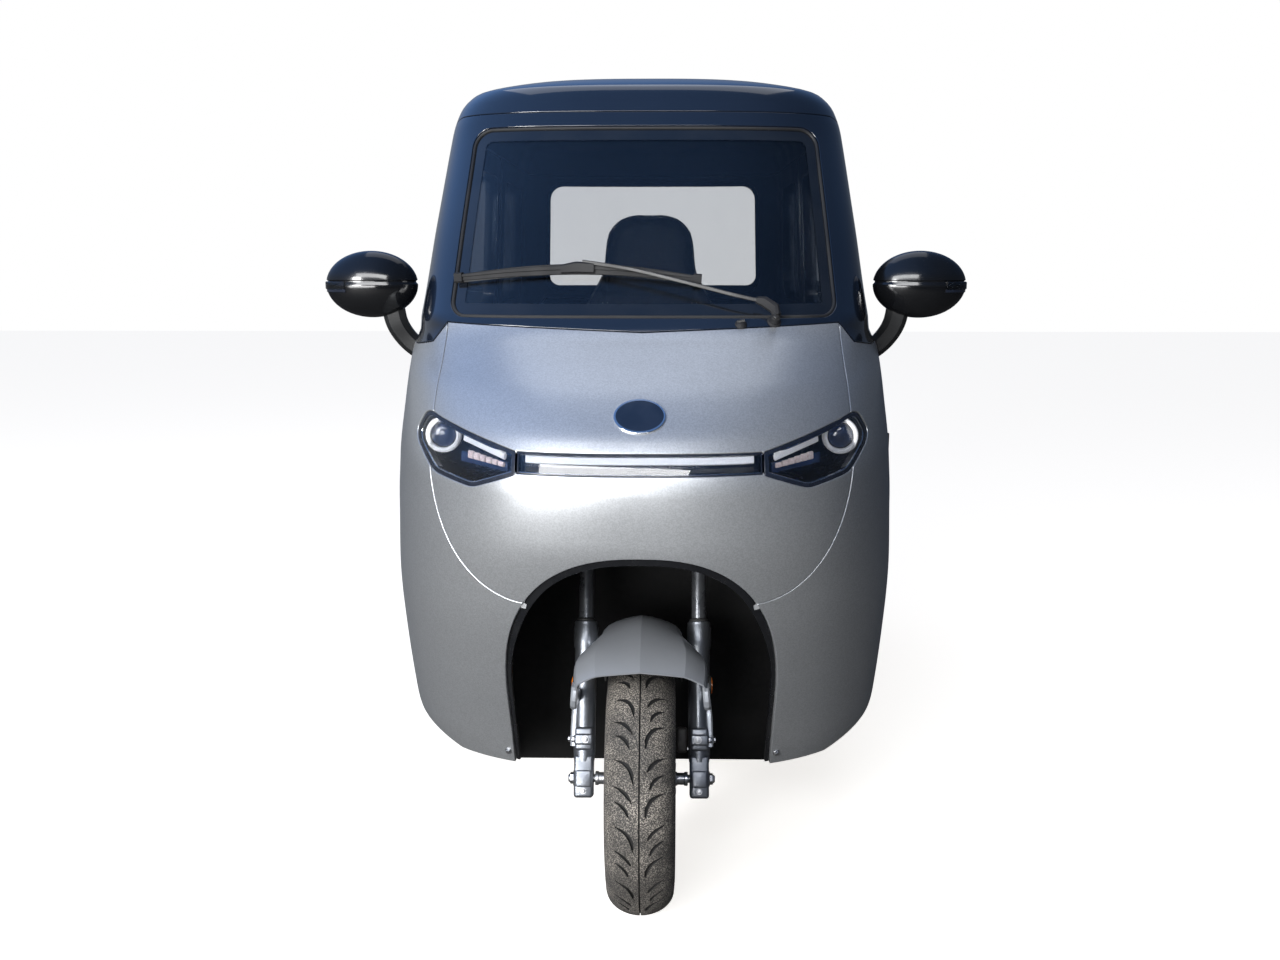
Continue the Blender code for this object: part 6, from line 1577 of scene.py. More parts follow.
# Door mirrors. A glossy black egg-shaped pod with a crease round it and a clear side lamp at its outer end,
# on a thick satin arm that bends up from the front side panel.
mirror_glass = coated("mirror_glass", (40.0, 2.0, 0.0002, 0.02), (0.82, 0.84, 0.86), (0.78, 0.8, 0.82), 0.015,
    0.04, 30.0, 0.0, 0.5, Metallic=1.0)
satin_black = moulded("satin_black", (0.01, 0.0105, 0.011), (0.016, 0.0165, 0.017), 0.34, 0.46, 700.0,
    0.00015, 0.0)
pod_black = coated("pod_black", (200.0, 2.0, 0.0001, 0.15), (0.003, 0.0033, 0.004), (0.0045, 0.0048, 0.0056),
    0.1, 0.17, 12.0, 0.0, 0.5, Coat_Weight=0.25)
POD_CENTRE, POD_RADII, POD_FACE = (0.53, 0.3, 1.121), (0.0892, 0.048, 0.064), 0.322
for side, label in ((-1, "left"), (1, "right")):
    work = bmesh.new()
    centre = at(side * POD_CENTRE[0], POD_CENTRE[1], POD_CENTRE[2])
    egg = bmesh.new()
    profile = []
    for step in range(49):
        turn = pi * step / 48 - pi / 2
        profile.append((cos(turn), sin(turn)))
    for height, radius in ((0.065, 0.96), (0.1, 0.96)):
        profile.append((radius, height))
    profile = [point for point in profile if not 0.05 < point[1] < 0.115 or point[0] < 0.97]
    profile.sort(key=lambda point: point[1])
    spun(egg, profile, Matrix.Translation(centre) @ Matrix.Diagonal((*POD_RADII, 1)), 72)
    face = vec(0, FRONT_AXLE_Y + POD_FACE, 0)
    bmesh.ops.bisect_plane(egg, geom=egg.verts[:] + egg.edges[:] + egg.faces[:], plane_co=face,
        plane_no=(0, 1, 0), clear_outer=True)
    bmesh.ops.holes_fill(egg, edges=egg.edges)
    gather(work, egg, None, None)
    flat = sqrt(1 - ((POD_FACE - POD_CENTRE[1]) / POD_RADII[1]) ** 2)
    wide, tall = POD_RADII[0] * flat, POD_RADII[2] * flat
    ways = [(cos(k * tau / 64), sin(k * tau / 64)) for k in range(66)]
    swept(work, [vec(centre.x + (wide - 0.002) * a, face.y - 0.0008, centre.z + (tall - 0.002) * b) for a,
        b in ways], 0.0026, 10, 0)
    spun(work, mm((0, 1.2), (985, 1.2), (1000, 0.6), (1000, -1), (0, -1)),
        Matrix.Translation((centre.x, face.y, centre.z)) @ Matrix.Rotation(-pi / 2, 4, "X") @ Matrix.Diagonal(
        (wide - 0.0055, tall - 0.0055, 1, 1)), 64, 1)
    lamp = []
    for step in range(17):
        turn = radians(-35 + 95 * step / 16)
        lamp.append(centre + vec(side * 0.0882 * cos(turn), -0.0482 * sin(turn), -0.002))
    strip(work, lamp, UP, 0.015, 0.0052, 0.0018, 2)
    strip(work, [p + vec(-side * 0.002, 0.0008, -0.01) for p in lamp], UP, 0.006, 0.0048, 0.001, 3)
    arm = smooth_path([at(side * x, s, z) for x, s, z in mm((425, 322, 983), (449, 320, 997),
        (471, 316, 1019), (486, 310, 1047), (493, 304, 1085))], 8)
    shares = [0.9 + 0.15 * step / (len(arm) - 1) for step in range(len(arm))]
    strip(work, arm, (0, 1, 0), 0.032, 0.041, 0.011, 4, shares)
    add_piece(f"mirror_pod_{label}", work, [pod_black, mirror_glass, lamp_clear, lamp_black, satin_black],
        "body", "black_paint", [f"mirror_{label}"], 30)


# Wiper. A flat blade with a rubber edge in a clip, on a sprung steel arm that comes from a capped spindle
# in the cowl, with the washer nozzle beside it.
wiper_black = moulded("wiper_black", (0.003, 0.003, 0.0035), (0.005, 0.005, 0.006), 0.62, 0.75, 500.0, 0.0002,
    0.0)


def lifted(x, z, lift):
    """A place in front of the screen's skin."""
    place, facing = on_skin(x, z)
    return place + facing * lift


work = bmesh.new()
BLADE = mm((-340, 1131), (-226.4, 1142), (-115.5, 1146.5), (-9, 1142), (102.2, 1129))
blade_path = []
for point in smooth_path([(x, z, 0) for x, z in BLADE], 10):
    blade_path.append(lifted(point.x, point.y, 0.0065))
last = len(blade_path) - 1
shares = [0.62 + 0.38 * min(1, 3.2 * min(k, last - k) / last) for k in range(last + 1)]
strip(work, blade_path, UP, 0.019, 0.004, 0.0014, 0, shares)
strip(work, [p + vec(0, -0.0022, 0.003) for p in blade_path], UP, 0.008, 0.0035, 0.0012, 0, shares)
strip(work, [p + vec(0, 0.003, -0.0072) for p in blade_path], UP, 0.005, 0.003, 0.0006, 2)
for x, z, near in ((BLADE[0][0], BLADE[0][1], 1), (BLADE[-1][0], BLADE[-1][1], -1)):
    strip(work, [lifted(x - near * 0.003, z, 0.007), lifted(x + near * 0.012, z + 0.001, 0.007)], UP, 0.018,
        0.0085, 0.002, 0)
clip = [lifted(x, z, 0.0105) for x, z in ((-0.148, 1.144), (-0.12, 1.1475), (-0.088, 1.146))]
strip(work, clip, UP, 0.021, 0.0105, 0.0028, 0, (0.75, 1.0, 0.95))
ARM = mm((-108.5, 1153), (-40, 1143), (9, 1133), (98.1, 1111), (160, 1095), (204, 1085))
arm_path = [lifted(p.x, p.y, 0.0175) for p in smooth_path([(x, z, 0) for x, z in ARM], 8)]
strip(work, arm_path, UP, 0.007, 0.0042, 0.0012, 3)
knuckle = [lifted(x, z, lift) for x, z, lift in mm((199, 1086.5, 17), (212, 1083, 18), (230, 1072, 17),
    (234.5, 1062, 14))]
strip(work, knuckle, UP, 0.019, 0.013, 0.004, 0, (0.62, 1.0, 1.05, 0.9))
pivot, facing = on_skin(0.232, 1.06)
spun(work, mm((0, -4), (12.5, -4), (12.5, 1), (9.5, 3), (8.5, 14), (0, 14)), towards(pivot, facing), 28, 0)
bolt(work, pivot + facing * 0.0135, facing, 0.0055, 0.004, 3)
nozzle, facing = on_skin(0.173, 1.0555)
spun(work, mm((0, -3), (10.5, -3), (10.5, 1), (8, 4.5), (5, 6.5), (0, 7)), towards(nozzle, facing), 28, 0)
strip(work, [nozzle + facing * 0.004 + vec(-0.007, 0, 0.002), nozzle + facing * 0.005 + vec(0.006, 0, 0.004)],
    (0, 0, 1), 0.0065, 0.0065, 0.0018, 1)
add_piece("wiper_set", work, [wiper_black, satin_black, seal_rubber, black_steel], "body", "black_plastic",
    ["wiper"])


# Front fork. A forged crown and stem, coated black, with chromed upper tubes in cast lower legs that are
# painted silver; tubes and legs are coloured darker, as painted shade from the arch and fender above them.
# Each leg carries a bolted boss, the axle's clamp and an orange side reflector.
# The legs' silver is a dark grey: painted shade for the fender's shadow over them
fork_silver_painted_shade = coated("fork_silver_painted_shade", (260.0, 3.0, 0.0004, 0.45), (0.205, 0.218, 0.24), (0.165, 0.176, 0.195),
    0.28, 0.4, 16.0, 0.2, 0.4, Metallic=0.85, Coat_Weight=0.2)
# The upper tubes are dark grey rather than chrome: painted shade for the arch above them
tube_grey_painted_shade = coated("tube_grey_painted_shade", (300.0, 2.0, 0.0001, 0.2), (0.095, 0.1, 0.11), (0.12, 0.125, 0.135), 0.26,
    0.36, 40.0, 0.25, 0.6, Metallic=0.6, Coat_Weight=0.2)
reflector_orange, tree, shader, place = worn_finish("reflector_orange", (0.62, 0.16, 0.015),
    (0.48, 0.11, 0.012), 0.12, 0.22, 90.0, 0.3, 0.5, Coat_Weight=0.6)
relief(tree, shader, add_node(tree, "ShaderNodeTexVoronoi", {"Vector": place, "Scale": 700.0})["Distance"],
    0.0006, 0.8)
FORK_WAY = FORK.to_3x3()
front_way = FORK_WAY @ vec(0, -1, 0)
LEG_X, LEG_RADIUS, LEG_TOP, LEG_BOTTOM, TUBE_RADIUS = 0.105, 0.0205, 0.285, -0.034, 0.0135
CROWN_Z, CROWN_TOP, CROWN_HALF, CROWN_DEPTH, STEM_RADIUS, STEM_TOP = 0.47, 0.498, 0.132, (-0.06,
    0.024), 0.0145, 0.83
work = bmesh.new()
slab(work, (-CROWN_HALF, CROWN_HALF), CROWN_DEPTH, (CROWN_Z, CROWN_TOP), 0.006, FORK)
spun(work, [(0, CROWN_TOP - 0.004), (0.0215, CROWN_TOP - 0.004), (0.0215, CROWN_TOP + 0.02),
    (STEM_RADIUS, CROWN_TOP + 0.026), (STEM_RADIUS, STEM_TOP - 0.0012), (STEM_RADIUS - 0.0012, STEM_TOP),
    (0, STEM_TOP)], FORK, 36)
for height in (HEAD_Z + HEAD_LENGTH + 0.003, HEAD_Z + HEAD_LENGTH + 0.014):
    spun(work, [(STEM_RADIUS, height), (0.0235, height), (0.0245, height + 0.0012), (0.0245, height + 0.0078),
        (0.0235, height + 0.009), (STEM_RADIUS, height + 0.009)], FORK, 8, 1, closed=True)
for side in (-1, 1):
    leg_axis = FORK @ Matrix.Translation((side * LEG_X, -FORK_OFFSET, 0))
    spun(work, [(0, LEG_TOP - 0.069), (TUBE_RADIUS, LEG_TOP - 0.069), (TUBE_RADIUS, CROWN_TOP + 0.001),
        (0, CROWN_TOP + 0.001)], leg_axis, 36, 2)
    spun(work, [(TUBE_RADIUS, CROWN_Z - 0.01), (0.02, CROWN_Z - 0.01), (0.0215, CROWN_Z - 0.007),
        (0.0215, CROWN_TOP + 0.004), (0.02, CROWN_TOP + 0.006), (TUBE_RADIUS, CROWN_TOP + 0.006)], leg_axis,
        36, 0, closed=True)
    rod(work, leg_axis @ vec(0, 0, CROWN_TOP + 0.004), leg_axis @ vec(0, 0, CROWN_TOP + 0.009), 0.0125, 32,
        0.001, 1)
    bolt(work, FORK @ vec(side * LEG_X, CROWN_DEPTH[0] + 0.001, (CROWN_Z + CROWN_TOP) / 2), front_way, 0.0055,
        0.0045, 1)
add_piece("fork_crown_and_stem", work, [black_steel, bright_zinc, tube_grey_painted_shade], "steering", "black_steel",
    ["fork_crown"])
for side, label in ((-1, "left"), (1, "right")):
    work = bmesh.new()
    leg_axis = FORK @ Matrix.Translation((side * LEG_X, -FORK_OFFSET, 0))
    bore, lip = TUBE_RADIUS + 0.0003, LEG_TOP
    spun(work, [(bore, lip - 0.069), (0, lip - 0.069), (0, 0.03), (0.0185, 0.03),
        (LEG_RADIUS - 0.0005, 0.046), (LEG_RADIUS - 0.0005, lip - 0.052), (LEG_RADIUS + 0.0016, lip - 0.046),
        (LEG_RADIUS + 0.002, lip - 0.036), (LEG_RADIUS + 0.002, lip - 0.012),
        (LEG_RADIUS + 0.0008, lip - 0.008), (LEG_RADIUS + 0.0008, lip - 0.002), (LEG_RADIUS - 0.0012, lip),
        (bore + 0.003, lip), (bore, lip - 0.004)], leg_axis, 44)
    spun(work, [(bore, lip - 0.002), (bore + 0.0035, lip - 0.002), (bore + 0.004, lip + 0.003),
        (bore + 0.0012, lip + 0.006), (bore, lip + 0.006)], leg_axis, 36, 2, closed=True)
    slab(work, (-0.0175, 0.0175), (-0.018, 0.018), (LEG_BOTTOM, 0.042), 0.005, leg_axis)
    slab(work, (-0.015, 0.015), (-0.0195, 0.0195), (-0.016, 0.016), 0.004, leg_axis)
    slab(work, (-0.0165, 0.0165), (-0.029, -0.01), (0.06, 0.08), 0.0035, leg_axis)
    slab(work, (-0.0165, 0.0165), (-0.024, -0.008), (0.05, 0.092), 0.005, leg_axis)
    head = leg_axis @ vec(side * 0.016, -0.02, 0.07)
    bolt(work, head, (side, 0, 0), 0.0056, 0.005, 1)
    bolt(work, leg_axis @ vec(-side * 0.003, -0.0285, 0.07), front_way, 0.0052, 0.0045, 1)
    bolt(work, leg_axis @ vec(0, -0.017, -0.022), front_way, 0.004, 0.0035, 1)
    plate = leg_axis @ vec(side * (LEG_RADIUS - 0.004), -0.004, 0.168)
    spun(work, mm((0, 0), (17.5, 0), (18, 1), (18, 4.5), (17, 5.5), (0, 5.5)), towards(plate, (side, 0, 0)),
        36, 2)
    spun(work, mm((0, 5), (15, 5), (15, 7), (13.5, 7.8), (0, 8)), towards(plate, (side, 0, 0)), 36, 3)
    strip(work, [plate - FORK_WAY @ vec(0, -0.004, 0.018), plate - FORK_WAY @ vec(0, -0.01, 0.044)],
        (side, 0, 0), 0.0035, 0.012, 0.001, 0)
    add_piece(f"fork_leg_cast_{label}", work, [fork_silver_painted_shade, bright_zinc, seal_rubber, reflector_orange],
        "steering", "cast_alloy", [f"fork_leg_{label}"])


# Front axle. A plated steel spindle through both legs, with a turned spacer each side of the hub, washers,
# and a nut and thread at each end.
AXLE = Matrix.Translation(at(0, 0, AXLE_Z)) @ Matrix.Rotation(pi / 2, 4, "Y")
work = bmesh.new()
spun(work, mm((0, -133.5), (5.5, -133.5), (6.5, -132.5), (7.4, -131), (7.4, 131), (6.5, 132.5), (5.5, 133.5),
    (0, 133.5)), AXLE, 28)
for side in (-1, 1):
    way = AXLE if side > 0 else AXLE @ Matrix.Rotation(pi, 4, "X")
    spacer = mm((7.6, 57.5), (11.8, 57.5), (12.5, 58.5), (12.5, 64), (10.8, 65.5), (10.8, 77), (12.5, 78.5),
        (12.5, 83.5), (11.8, 84.2), (7.6, 84.2))
    spun(work, spacer, way, 36, closed=True)
    spun(work, mm((7.6, 122.6), (13.5, 122.6), (14, 123.2), (13.5, 124.2), (7.6, 124.2)), way, 32,
        closed=True)
    bolt(work, at(side * 0.1242, 0, AXLE_Z), (side, 0, 0), 0.0105, 0.006, 0, washer=False)
add_piece("front_spindle", work, [bright_zinc], "steering", "bare_steel", ["front_axle"])


# Front fender. A silver moulded mudguard with a sharp ridge along its middle, flared ahead of the legs, and
# an arm on each side that runs down to a bolt on the leg; dull grey plastic underneath.
fender_silver = coated("fender_silver", (240.0, 2.0, 0.0002, 0.2), (0.47, 0.495, 0.535), (0.43, 0.453, 0.49),
    0.3, 0.4, 10.0, 0.25, 0.4, Metallic=0.6, Coat_Weight=0.3)
fender_under = moulded("fender_under", (0.05, 0.052, 0.056), (0.07, 0.072, 0.076), 0.55, 0.7, 300.0, 0.0004,
    0.8, 0.6)
FENDER_START, FENDER_END = radians(-62), radians(30.5)
FENDER_WALL = 0.003
# Half of the fender's section, across and from the axle: broad ahead of the legs, narrow between them
BROAD = mm((0, 296), (20, 293.4), (42, 290.6), (62, 287.8), (77.5, 285), (89, 279), (101, 270.5),
    (111, 262.2), (114, 256), (115.5, 247), (116, 238))
NARROW = mm((0, 296), (17, 293.6), (34, 289.2), (50, 283.6), (62, 277.2), (69, 270), (73, 262), (75, 254),
    (76.2, 248.5), (76.8, 243), (77, 238))
work = bmesh.new()
part = bmesh.new()
rings = []
STEPS = 44
for step in range(STEPS + 1):
    share = step / STEPS
    turn = FENDER_START + (FENDER_END - FENDER_START) * share
    nip = 1 - 0.06 * max(0.0, 1 - (1 - share) / 0.12) ** 2
    way = vec(0, -sin(turn), cos(turn))
    spread = min(1.0, max(0.0, (degrees(turn) + 6) / 26))
    spread = spread * spread * (3 - 2 * spread)
    half = [Vector(a).lerp(Vector(b), spread) for a, b in zip(NARROW, BROAD)]
    half = [vec(p.x * (1 - 0.6 * (1 - nip)), p.y) for p in half]
    section = [vec(-p.x, p.y) for p in reversed(half[1:])] + half
    inner = grown(section + [vec(0.05, 0.1), vec(-0.05, 0.1)], -FENDER_WALL)[: len(section)]
    closed_section = section + inner[::-1]
    ring = [at(0, 0, AXLE_Z) + way * (0.238 + (p.y - 0.238) * nip) + vec(p.x, 0, 0) for p in closed_section]
    rings.append([part.verts.new(place) for place in ring])
count = len(closed_section)
for one, two in zip(rings, rings[1:]):
    for k in range(count):
        face = part.faces.new((one[k], one[(k + 1) % count], two[(k + 1) % count], two[k]))
        face.material_index = 0 if k < len(section) - 1 else 1
for ring in (rings[0], rings[-1]):
    for k in range(len(section) - 1):
        part.faces.new((ring[k], ring[k + 1], ring[count - 2 - k], ring[count - 1 - k]))
bmesh.ops.recalc_face_normals(part, faces=part.faces)
for side in (-1, 1):
    leg = bmesh.new()
    rod(leg, FORK @ vec(side * LEG_X, -FORK_OFFSET, 0.14), FORK @ vec(side * LEG_X, -FORK_OFFSET, 0.42),
        LEG_RADIUS + 0.0035, 40, 0)
    mesh = as_mesh("notch", leg)
    notch = linked("notch", mesh)
    body_mesh = as_mesh("fender", part)
    body = linked("fender", body_mesh)
    for surface in (fender_silver, fender_under):
        body_mesh.materials.append(surface)
    cutting = body.modifiers.new("notch", "BOOLEAN")
    cutting.object, cutting.operation, cutting.solver = notch, "DIFFERENCE", "EXACT"
    graph = bpy.context.evaluated_depsgraph_get()
    graph.update()
    part = bmesh.new()
    part.from_mesh(body.evaluated_get(graph).data)
    for made in (body, notch):
        bpy.data.objects.remove(made)
mesh = as_mesh("fender_shell", part)
work.from_mesh(mesh)
corner = vec(0, -sin(FENDER_END), cos(FENDER_END)) * 0.246
for side in (-1, 1):
    arm = [at(side * 0.111, 0, AXLE_Z) + corner + vec(0, 0.011, 0.006), at(side * 0.1145, -0.1, 0.416)]
    arm += [FORK @ vec(side * x, y, z) for x, y, z in ((0.119, -0.049, 0.15), (0.1232, -0.04, 0.11),
        (0.1246, -0.037, 0.058))]
    strip(work, smooth_path(arm, 5), (0, 1, 0), 0.022, 0.0115, 0.003, 0)
    bolt(work, FORK @ vec(side * 0.1305, -0.0365, 0.07), (side, 0, 0), 0.005, 0.0035, 2)
add_piece("fender_shell", work, [fender_silver, fender_under, bright_zinc], "steering", "silver_paint",
    ["front_fender"], 14)


# Handlebar. A bent black steel bar in a cast clamp on the stem, with ribbed rubber grips, a lever each side
# and a switch block beside each grip.
grip_rubber = moulded("grip_rubber", (0.016, 0.016, 0.017), (0.026, 0.026, 0.027), 0.6, 0.75, 500.0, 0.0003,
    0.0)
BAR_RADIUS, GRIP_LENGTH = 0.011, 0.12
BAR_POINTS = mm((300, 115, 22), (180, 90, 26), (85, 28, 12), (30, 0, 0))
bar_half = [vec(x, y, STEM_TOP + BAR_RADIUS + 0.0003 + z) for x, y, z in BAR_POINTS]
bar_line = [FORK @ p for p in bar_half] + [FORK @ vec(-p.x, p.y, p.z) for p in reversed(bar_half)]
work = bmesh.new()
swept(work, eased(bar_line, 0.035, 6), BAR_RADIUS, 20)
slab(work, (-0.034, 0.034), (-0.018, 0.018), (STEM_TOP + 0.0003, STEM_TOP + 0.013), 0.003, FORK)
slab(work, (-0.034, 0.034), (-0.0175, 0.0175), (STEM_TOP + 0.0145, STEM_TOP + 0.028), 0.005, FORK)
for x in (-0.024, 0.024):
    for y in (-0.012, 0.012):
        bolt(work, FORK @ vec(x, y, STEM_TOP + 0.0275), FORK_WAY @ vec(0, 0, 1), 0.0042, 0.0038, 2,
            washer=False)
for side in (-1, 1):
    outer, inner = [FORK @ vec(side * p.x, p.y, p.z) for p in bar_half[:2]]
    along = (outer - inner).normalized()
    profile = [(0, 0.004), (0.015, 0.004), (0.016, 0.002)]
    for step in range(22):
        reach = -0.004 - step * 0.0051
        profile += [(0.016, reach), (0.0152, reach - 0.0014), (0.0152, reach - 0.003),
            (0.016, reach - 0.0042)]
    profile += [(0.016, -GRIP_LENGTH), (0.0112, -GRIP_LENGTH)]
    place = towards(outer, along)
    spun(work, profile, place, 28, 1)
    spun(work, mm((11.2, -121.5), (16.5, -121.5), (18, -123.5), (18, -148), (16.5, -150), (11.2, -150)),
        place, 28, 3, closed=True)
    ahead = (FORK_WAY @ vec(0, -1, 0.15)).normalized()
    root = outer - along * 0.14
    lever = [root + ahead * 0.016, root + ahead * 0.034 + along * 0.014, root + ahead * 0.046 + along * 0.05,
        root + ahead * 0.044 + along * 0.112]
    strip(work, smooth_path(lever, 8), UP, 0.0125, 0.006, 0.0018, 2)
    for shift, index in ((-0.0115, 1), (0.0005, 2)):
        rod(work, root + along * shift - ahead * 0.014, root + along * shift - ahead * 0.02, 0.0035, 20,
            0.0006, index)
add_piece("handlebar_set", work, [black_steel, grip_rubber, bright_zinc, satin_black], "steering",
    "black_plastic", ["handlebar"])


# Front brake. A drilled steel disc bolted to the hub, and a two-piston caliper, coated black, that
# straddles it.
def plate(work, outer, holes, low, high, place, index=0, bevel=0.0):
    """A flat plate with holes, between two heights along the Z axis of its place."""
    part = bmesh.new()
    flat, faces = triangles((outer, *holes))
    made = [part.verts.new((x, y, low)) for x, y in flat]
    centres = np.array([flat[list(face)].mean(0) for face in faces])
    solid = inside(np.array([tuple(p) for p in outer]), centres)
    for hole in holes:
        solid &= ~inside(np.array([tuple(p) for p in hole]), centres)
    for face in (face for face, keep in zip(faces, solid) if keep):
        part.faces.new([made[i] for i in face])
    for vert in [v for v in part.verts if not v.link_faces]:
        part.verts.remove(vert)
    bmesh.ops.dissolve_limit(part, angle_limit=0.01, verts=part.verts, edges=part.edges)
    raised = bmesh.ops.extrude_face_region(part, geom=part.faces[:])["geom"]
    bmesh.ops.translate(part, verts=only(raised, BMVert), vec=(0, 0, high - low))
    bmesh.ops.recalc_face_normals(part, faces=part.faces)
    if bevel:
        rims = [e for e in part.edges if len(e.link_faces) == 2 and e.calc_face_angle() > 1.2 and is_level(e)]
        bevelled(part, rims, bevel, 2)
    gather(work, part, place, index)


def circle(radius, steps, centre=(0, 0)):
    return [vec(centre[0] + radius * cos(k * tau / steps), centre[1] + radius * sin(k * tau / steps))
        for k in range(steps)]


disc_steel, tree, shader, place = worn_finish("disc_steel", (0.42, 0.42, 0.43), (0.34, 0.34, 0.35), 0.26,
    0.36, 30.0, 0.35, 0.5, Metallic=1.0)
rings_worn = add_node(tree, "ShaderNodeTexWave", {"Vector": place, "Scale": 90.0, "Distortion": 1.5})
relief(tree, shader, rings_worn["Fac"], 0.0001, 0.25)
work = bmesh.new()
DISC_X = 0.0563
holes = [circle(0.014, 24)]
for index in range(12):
    turn = tau * index / 12
    for radius, shift in ((0.071, 0.0), (0.08, 0.16), (0.062, -0.14)):
        holes.append(circle(0.0028, 10, (radius * cos(turn + shift), radius * sin(turn + shift))))
for index in range(6):
    turn = tau * (index + 0.5) / 6
    holes.append([vec(cos(turn + a) * r, sin(turn + a) * r) for r, a in ((0.034, -0.28), (0.05, -0.36),
        (0.053, 0.0), (0.05, 0.36), (0.034, 0.28), (0.033, 0.0))])
plate(work, circle(0.092, 96), holes, DISC_X, DISC_X + 0.004, AXLE, 0, 0.0004)
for index in range(6):
    turn = tau * index / 6
    head = AXLE @ vec(0.026 * cos(turn), 0.026 * sin(turn), DISC_X + 0.0035)
    bolt(work, head, (1, 0, 0), 0.0042, 0.003, 1, washer=False)
add_piece("brake_disc_drilled", work, [disc_steel, bright_zinc], "front_wheel", "bare_steel", ["brake_disc"])
work = bmesh.new()
slab(work, (0.0632, 0.0842), (-0.038, 0.04), (0.046, 0.092), 0.006, FORK)
slab(work, (0.0465, 0.0532), (-0.03, 0.04), (0.05, 0.092), 0.002, FORK)
slab(work, (0.048, 0.07), (0.0195, 0.04), (0.081, 0.092), 0.0035, FORK)
for y in (-0.018, 0.016):
    spun(work, mm((0, -1.5), (12.5, -1.5), (12.5, 0.5), (11.2, 1.8), (0, 1.8)),
        FORK @ Matrix.Translation((0.0834, y, 0.069)) @ Matrix.Rotation(pi / 2, 4, "Y"), 32)
for y in (-0.031, 0.032):
    bolt(work, FORK @ vec(0.0838, y, 0.053), (1, 0, 0), 0.0038, 0.0022, 1, washer=False)
add_piece("caliper_body", work, [black_steel, bright_zinc], "steering", "black_steel", ["brake_caliper"])


# Wheels. Cast alloy rims with five spokes, painted silver, and scooter tyres with a fine centre groove and
# curved side grooves, brown with road dust on their treads.
rim_silver = coated("rim_silver", (300.0, 3.0, 0.0003, 0.4), (0.4, 0.41, 0.425), (0.31, 0.318, 0.33), 0.32,
    0.46, 12.0, 0.8, 0.5, Metallic=0.7, Coat_Weight=0.3)
tyre_rubber, tree, shader, place = worn_finish("tyre_rubber", (0.02, 0.019, 0.0185), (0.03, 0.028, 0.026),
    0.7, 0.85, 14.0, 0.0, 0.5)
grit = ramp(tree, noise(tree, place, 520.0, 3.0), 0.5, 0.59)
cloud = ramp(tree, noise(tree, place, 16.0, 6.0), 0.3, 0.68, 0.35)
fine_dust = times(tree, maths(tree, "ADD", times(tree, grit, 0.85), 0.07), cloud)
rubber_shade = shader["Base Color"].links[0].from_socket
tree.links.new(mixed(tree, fine_dust, rubber_shade, (0.37, 0.335, 0.29, 1)), shader["Base Color"])
relief(tree, shader, maths(tree, "ADD", noise(tree, place, 900.0, 3.0), noise(tree, place, 160.0, 4.0)),
    0.0007, 0.8)
# The grooves are near black, darker than the rubber itself: painted shade in the recesses
groove_rubber_painted_shade = coated("groove_rubber_painted_shade", (500.0, 3.0, 0.0005, 0.6), (0.003, 0.003, 0.003),
    (0.005, 0.005, 0.005), 0.8, 0.9, 60.0, 0.06, 0.5)
TYRE_RADIUS, GROOVE_DEPTH = 0.236, 0.0042
PITCHES = 13
PITCH_LENGTH = tau * TYRE_RADIUS / PITCHES
# The tread's section from its middle to the shoulder and on to the bead: across, then radius
CROWN = [(0.0595 * sin(a) ** 1.02, 0.1925 + 0.0435 * cos(a)) for a in (k * pi / 2 / 26 for k in range(27))]
SIDEWALL = mm((60, 187), (59.7, 181), (60.6, 179.8), (60, 178.2), (58, 174), (56.8, 172.2), (57.2, 170.8),
    (56, 169), (54, 162), (52.8, 159), (50, 158))
reach = np.concatenate([[0], np.cumsum([dist(a, b) for a, b in zip(CROWN, CROWN[1:])])])
TREAD_EDGE = float(reach[-1])
GROOVES = (
    (((0.0105, 0.004), (0.0125, 0.018), (0.0195, 0.031), (0.03, 0.0385), (0.043, 0.043)), 0.0034),
    (mm((18, 50), (22.5, 60.5), (32, 69), (43, 73.5)), 0.003),
    (mm((13.5, 78.5), (21, 89), (31, 97), (45, 102.5)), 0.0032),
)


def comma(points, width, slim):
    """A curved groove's outline: broad in its middle and slim at its ends."""
    path = smooth_path([(a, b, 0) for a, b in points], 6)
    one, two = [], []
    for k, point in enumerate(path):
        along = (path[min(k + 1, len(path) - 1)] - path[max(k - 1, 0)]).normalized()
        across = vec(-along.y, along.x, 0)
        share = k / (len(path) - 1)
        half = (width * min(1.0, 0.35 + 3.0 * share, 0.22 + 1.9 * (1 - share))) - slim
        one.append((point + across * half).xy)
        two.append((point - across * half).xy)
    return one + two[::-1]


def tread_place(across, along, depth):
    """A place on the tyre, about its own axle, from its place on the unrolled tread."""
    side, turn = copysign(1, across), tau * along / (PITCH_LENGTH * PITCHES)
    x = float(np.interp(abs(across), reach, [p[0] for p in CROWN]))
    radius = float(np.interp(abs(across), reach, [p[1] for p in CROWN]))
    lean = atan2(x / 0.0595, (radius - 0.1925) / 0.0435)
    x, radius = x - depth * sin(lean), radius - depth * cos(lean)
    return vec(side * x, radius * sin(turn), radius * cos(turn))


